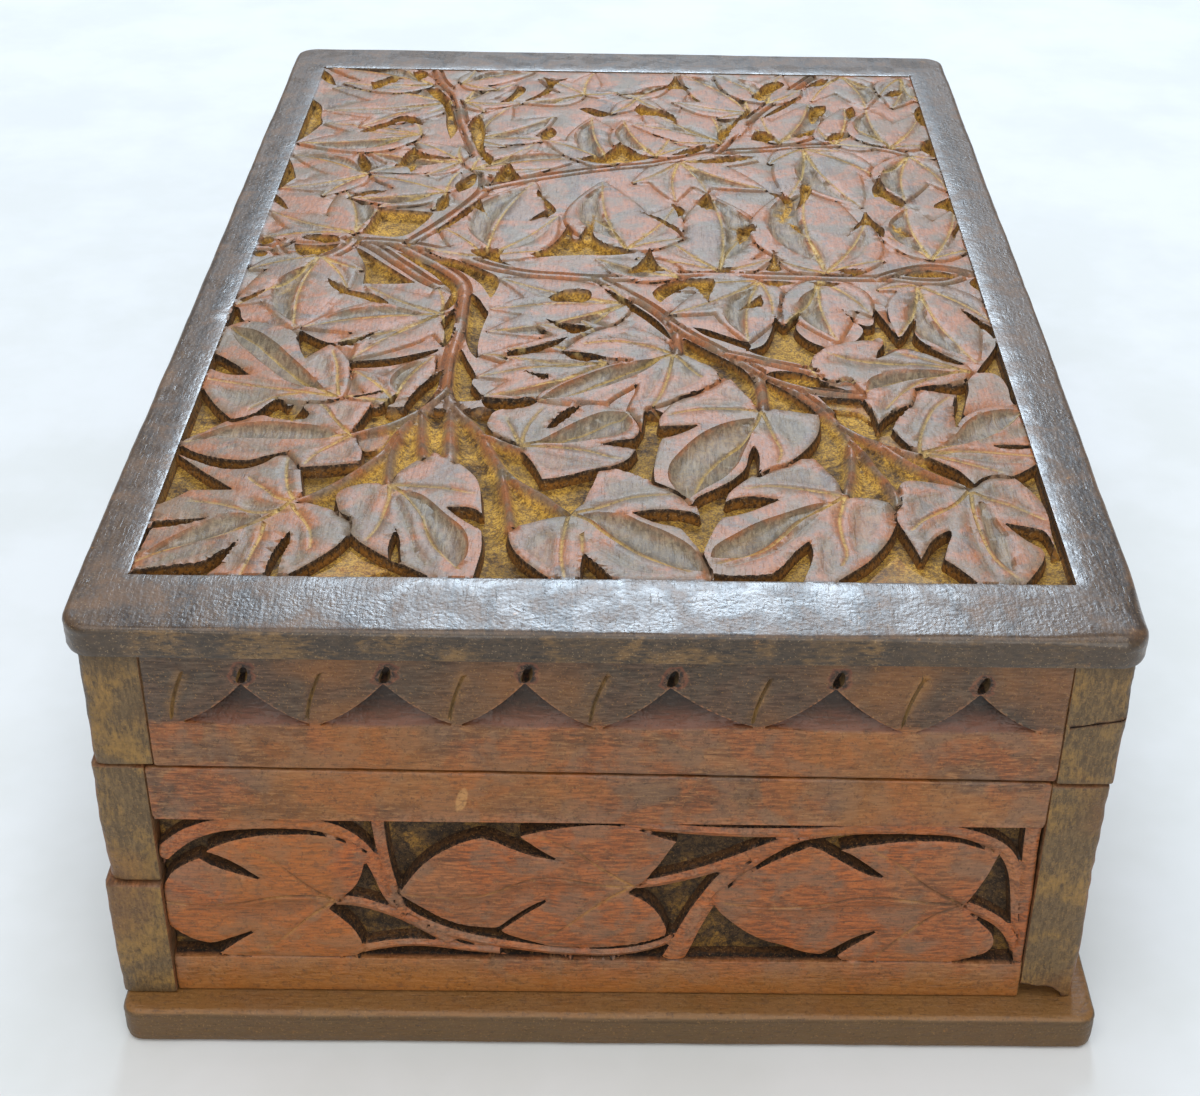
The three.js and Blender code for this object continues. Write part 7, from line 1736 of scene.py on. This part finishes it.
END_TONES = dict(
    dark=srgb(80, 51, 31), mid=srgb(132, 88, 55), light=srgb(162, 118, 78), red=srgb(158, 90, 46), red2=srgb(100, 58, 32),
    reds=0.7, leafred=srgb(178, 92, 34), haze=srgb(116, 92, 72), hazes=0.55,
    hollow=(srgb(100, 60, 34), srgb(140, 86, 48)), hollows=0.5,
    # ground tones darker than the lid's: painted shade for the narrow sunk ground of the upright panels, over its soil
    # and dust
    soil=srgb(46, 33, 18), dust=srgb(92, 68, 38), ochre=srgb(156, 114, 50), gold=(0.44, 0.58),
    # wall: dark tones painted on steep cut walls as painted shade, also used for pores and dark specks
    wall=(srgb(26, 17, 10), srgb(66, 40, 22)), foot=srgb(88, 56, 24), seam=srgb(84, 54, 26), seam2=srgb(164, 118, 62),
    # wear_and_glint: lighter tone for raised edges, real edge wear plus painted glints; rub sets how much
    wear_and_glint=srgb(186, 130, 92), rub=0.22, pores=0.35, ridges=0.5, crinkle=0.35,
    # chip: the first tone is painted shade for the deep part of chips and punches, the second the wood of the shallow
    # part
    chip=(srgb(26, 18, 12), srgb(106, 62, 42)), scallop=(srgb(42, 38, 31), srgb(80, 72, 61)),
    grime=srgb(84, 60, 42), speck=srgb(160, 120, 70), tint=srgb(160, 100, 38),
    end=(srgb(76, 60, 41), srgb(110, 89, 60), srgb(148, 112, 56)))
SIDE_TONES = dict(END_TONES, rust=srgb(118, 78, 46), dark=srgb(86, 62, 43), mid=srgb(120, 86, 58), light=srgb(146, 108, 72), red=srgb(144, 92, 56),
                  leafred=srgb(156, 94, 50), grime=srgb(74, 58, 41), end=(srgb(78, 62, 42), srgb(112, 91, 62), srgb(152, 116, 58)))
BASE_TONES = dict(END_TONES, dark=srgb(70, 51, 34), mid=srgb(102, 75, 49), light=srgb(124, 94, 62), red=srgb(128, 86, 52),
                  # side: painted shade for the base board's upright faces
                  leafred=srgb(128, 84, 48), tint=srgb(136, 96, 48), side=srgb(58, 51, 32), spots=srgb(156, 106, 50), end=(srgb(62, 49, 35), srgb(98, 79, 54), srgb(128, 100, 54)))


def dress(ob, mat, rim=None):
    me = ob.data
    me.materials.clear()
    me.materials.append(mat)
    if rim is not None:
        me.materials.append(rim)
        f = np.zeros(len(me.vertices), np.float32)
        me.attributes["frame"].data.foreach_get("value", f)
        loops, start = np.zeros(len(me.loops), np.int32), np.zeros(len(me.polygons), np.int32)
        me.loops.foreach_get("vertex_index", loops)
        me.polygons.foreach_get("loop_start", start)
        me.polygons.foreach_set("material_index", (np.minimum.reduceat(f[loops], start) > 0.5).astype(np.int32))


lid_board = build_lid_board()
walls = build_walls()
base = build_base()
dress(lid_board, wood("walnut_lid", 1, 2, LID_TONES, 1, shine=0.48, coat=0.08, spec=0.34, bumps=0.5),
      wood("walnut_lid_frame", 1, 2, LID_TONES, 1, shine=0.44, coat=0.42, spec=0.42, glaze=0.27, bumps=0.42))
mats = {"y": wood("walnut_end_boards", 0, 1, END_TONES, 2, shine=0.48, coat=0.22, spec=0.32, tint=True, glaze=0.22),
        "x": wood("walnut_side_boards", 1, 0, SIDE_TONES, 3, shine=0.52, coat=0.08, spec=0.32)}
for w in walls:
    dress(w, mats["y" if ("front" in w.name or "back" in w.name) else "x"])
dress(base, wood("walnut_base", 0, 2, BASE_TONES, 4, shine=0.5, coat=0.12, spec=0.38, tint=True))
brass = metal("old_brass", srgb(176, 142, 78), srgb(128, 98, 52), srgb(74, 58, 38), 0.42, 1)
steel = metal("old_steel", srgb(150, 146, 138), srgb(104, 98, 90), srgb(78, 58, 44), 0.45, 2)
for name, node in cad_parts.items():
    if name.startswith("hinge") and "leaf" in name:
        dress(node, brass)
    elif name.startswith("screw") or "pin" in name:
        dress(node, steel)


# ------------------------------------------------------- floor, light, camera
def build_floor():
    n, half = 40, 2.2
    me = bpy.data.meshes.new("floor")
    q = np.linspace(-half, half, n + 1)
    V = [(x, y + 0.6, -0.0003) for y in q for x in q]
    F = [(j * (n + 1) + i, j * (n + 1) + i + 1, (j + 1) * (n + 1) + i + 1, (j + 1) * (n + 1) + i) for j in range(n) for i in range(n)]
    me.from_pydata(V, [], F)
    ob = bpy.data.objects.new("floor", me)
    bpy.context.scene.collection.objects.link(ob)
    g = Graph("floor_white")
    P = g.coords()
    big = g.noise(P, 0.02, 4.0, 0.6)
    c = g.mix(g.step(big, 0.35, 0.65), srgb(216, 219, 219), srgb(223, 226, 228))
    b = g.add("ShaderNodeBsdfPrincipled")
    g.put(b.inputs["Base Color"], c)
    b.inputs["Roughness"].default_value = 0.85
    b.inputs["Specular IOR Level"].default_value = 0.1
    o = g.add("ShaderNodeOutputMaterial")
    g.tree.links.new(b.outputs[0], o.inputs[0])
    me.materials.append(g.mat)
    return ob


def area_light(name, place, target, size, power, colour=(1, 1, 1)):
    l = bpy.data.lights.new(name, "AREA")
    l.shape, l.size, l.size_y = "RECTANGLE", size[0], size[1]
    l.energy, l.color = power, colour
    ob = bpy.data.objects.new(name, l)
    bpy.context.scene.collection.objects.link(ob)
    ob.location = place
    d = Vector(target) - Vector(place)
    ob.rotation_mode = "QUATERNION"
    ob.rotation_quaternion = d.to_track_quat("-Z", "Y")
    return ob


build_floor()
area_light("window_back", (0.03, 1.31, 1.09), (0, 0, 0.05), (0.66, 0.42), 20.5, (0.70, 0.85, 1.0))
area_light("soft_top", (-0.1, -0.45, 1.7), (0, 0, 0), (1.8, 1.6), 20, (1.0, 0.99, 0.97))
area_light("fill_front", (0.2, -1.6, 0.75), (0, 0, 0.04), (1.6, 1.0), 13, (1.0, 0.98, 0.95))
world = bpy.data.worlds.new("studio")
world.use_nodes = True
world.node_tree.nodes["Background"].inputs[0].default_value = (0.95, 0.97, 1.0, 1.0)
world.node_tree.nodes["Background"].inputs[1].default_value = 0.3
bpy.context.scene.world = world
bpy.context.scene.view_settings.view_transform = "Standard"


def build_camera():
    yaw, pitch, roll = 0.0151, 0.5732, 0.0203
    fw = Vector((math.sin(yaw) * math.cos(pitch), math.cos(yaw) * math.cos(pitch), -math.sin(pitch)))
    right = Vector((math.cos(yaw), -math.sin(yaw), 0))
    up = right.cross(fw)
    r2 = math.cos(roll) * right + math.sin(roll) * up
    u2 = -math.sin(roll) * right + math.cos(roll) * up
    cam = bpy.data.cameras.new("camera")
    cam.sensor_width, cam.lens = 36.0, 59.34
    cam.shift_x, cam.shift_y = -0.0417, -0.0142
    cam.clip_start, cam.clip_end = 0.01, 20
    ob = bpy.data.objects.new("camera", cam)
    bpy.context.scene.collection.objects.link(ob)
    back = -fw
    m = Matrix(((r2.x, u2.x, back.x, 0.00248), (r2.y, u2.y, back.y, -0.34512), (r2.z, u2.z, back.z, 0.24082), (0, 0, 0, 1)))
    ob.matrix_world = m
    bpy.context.scene.camera = ob


build_camera()
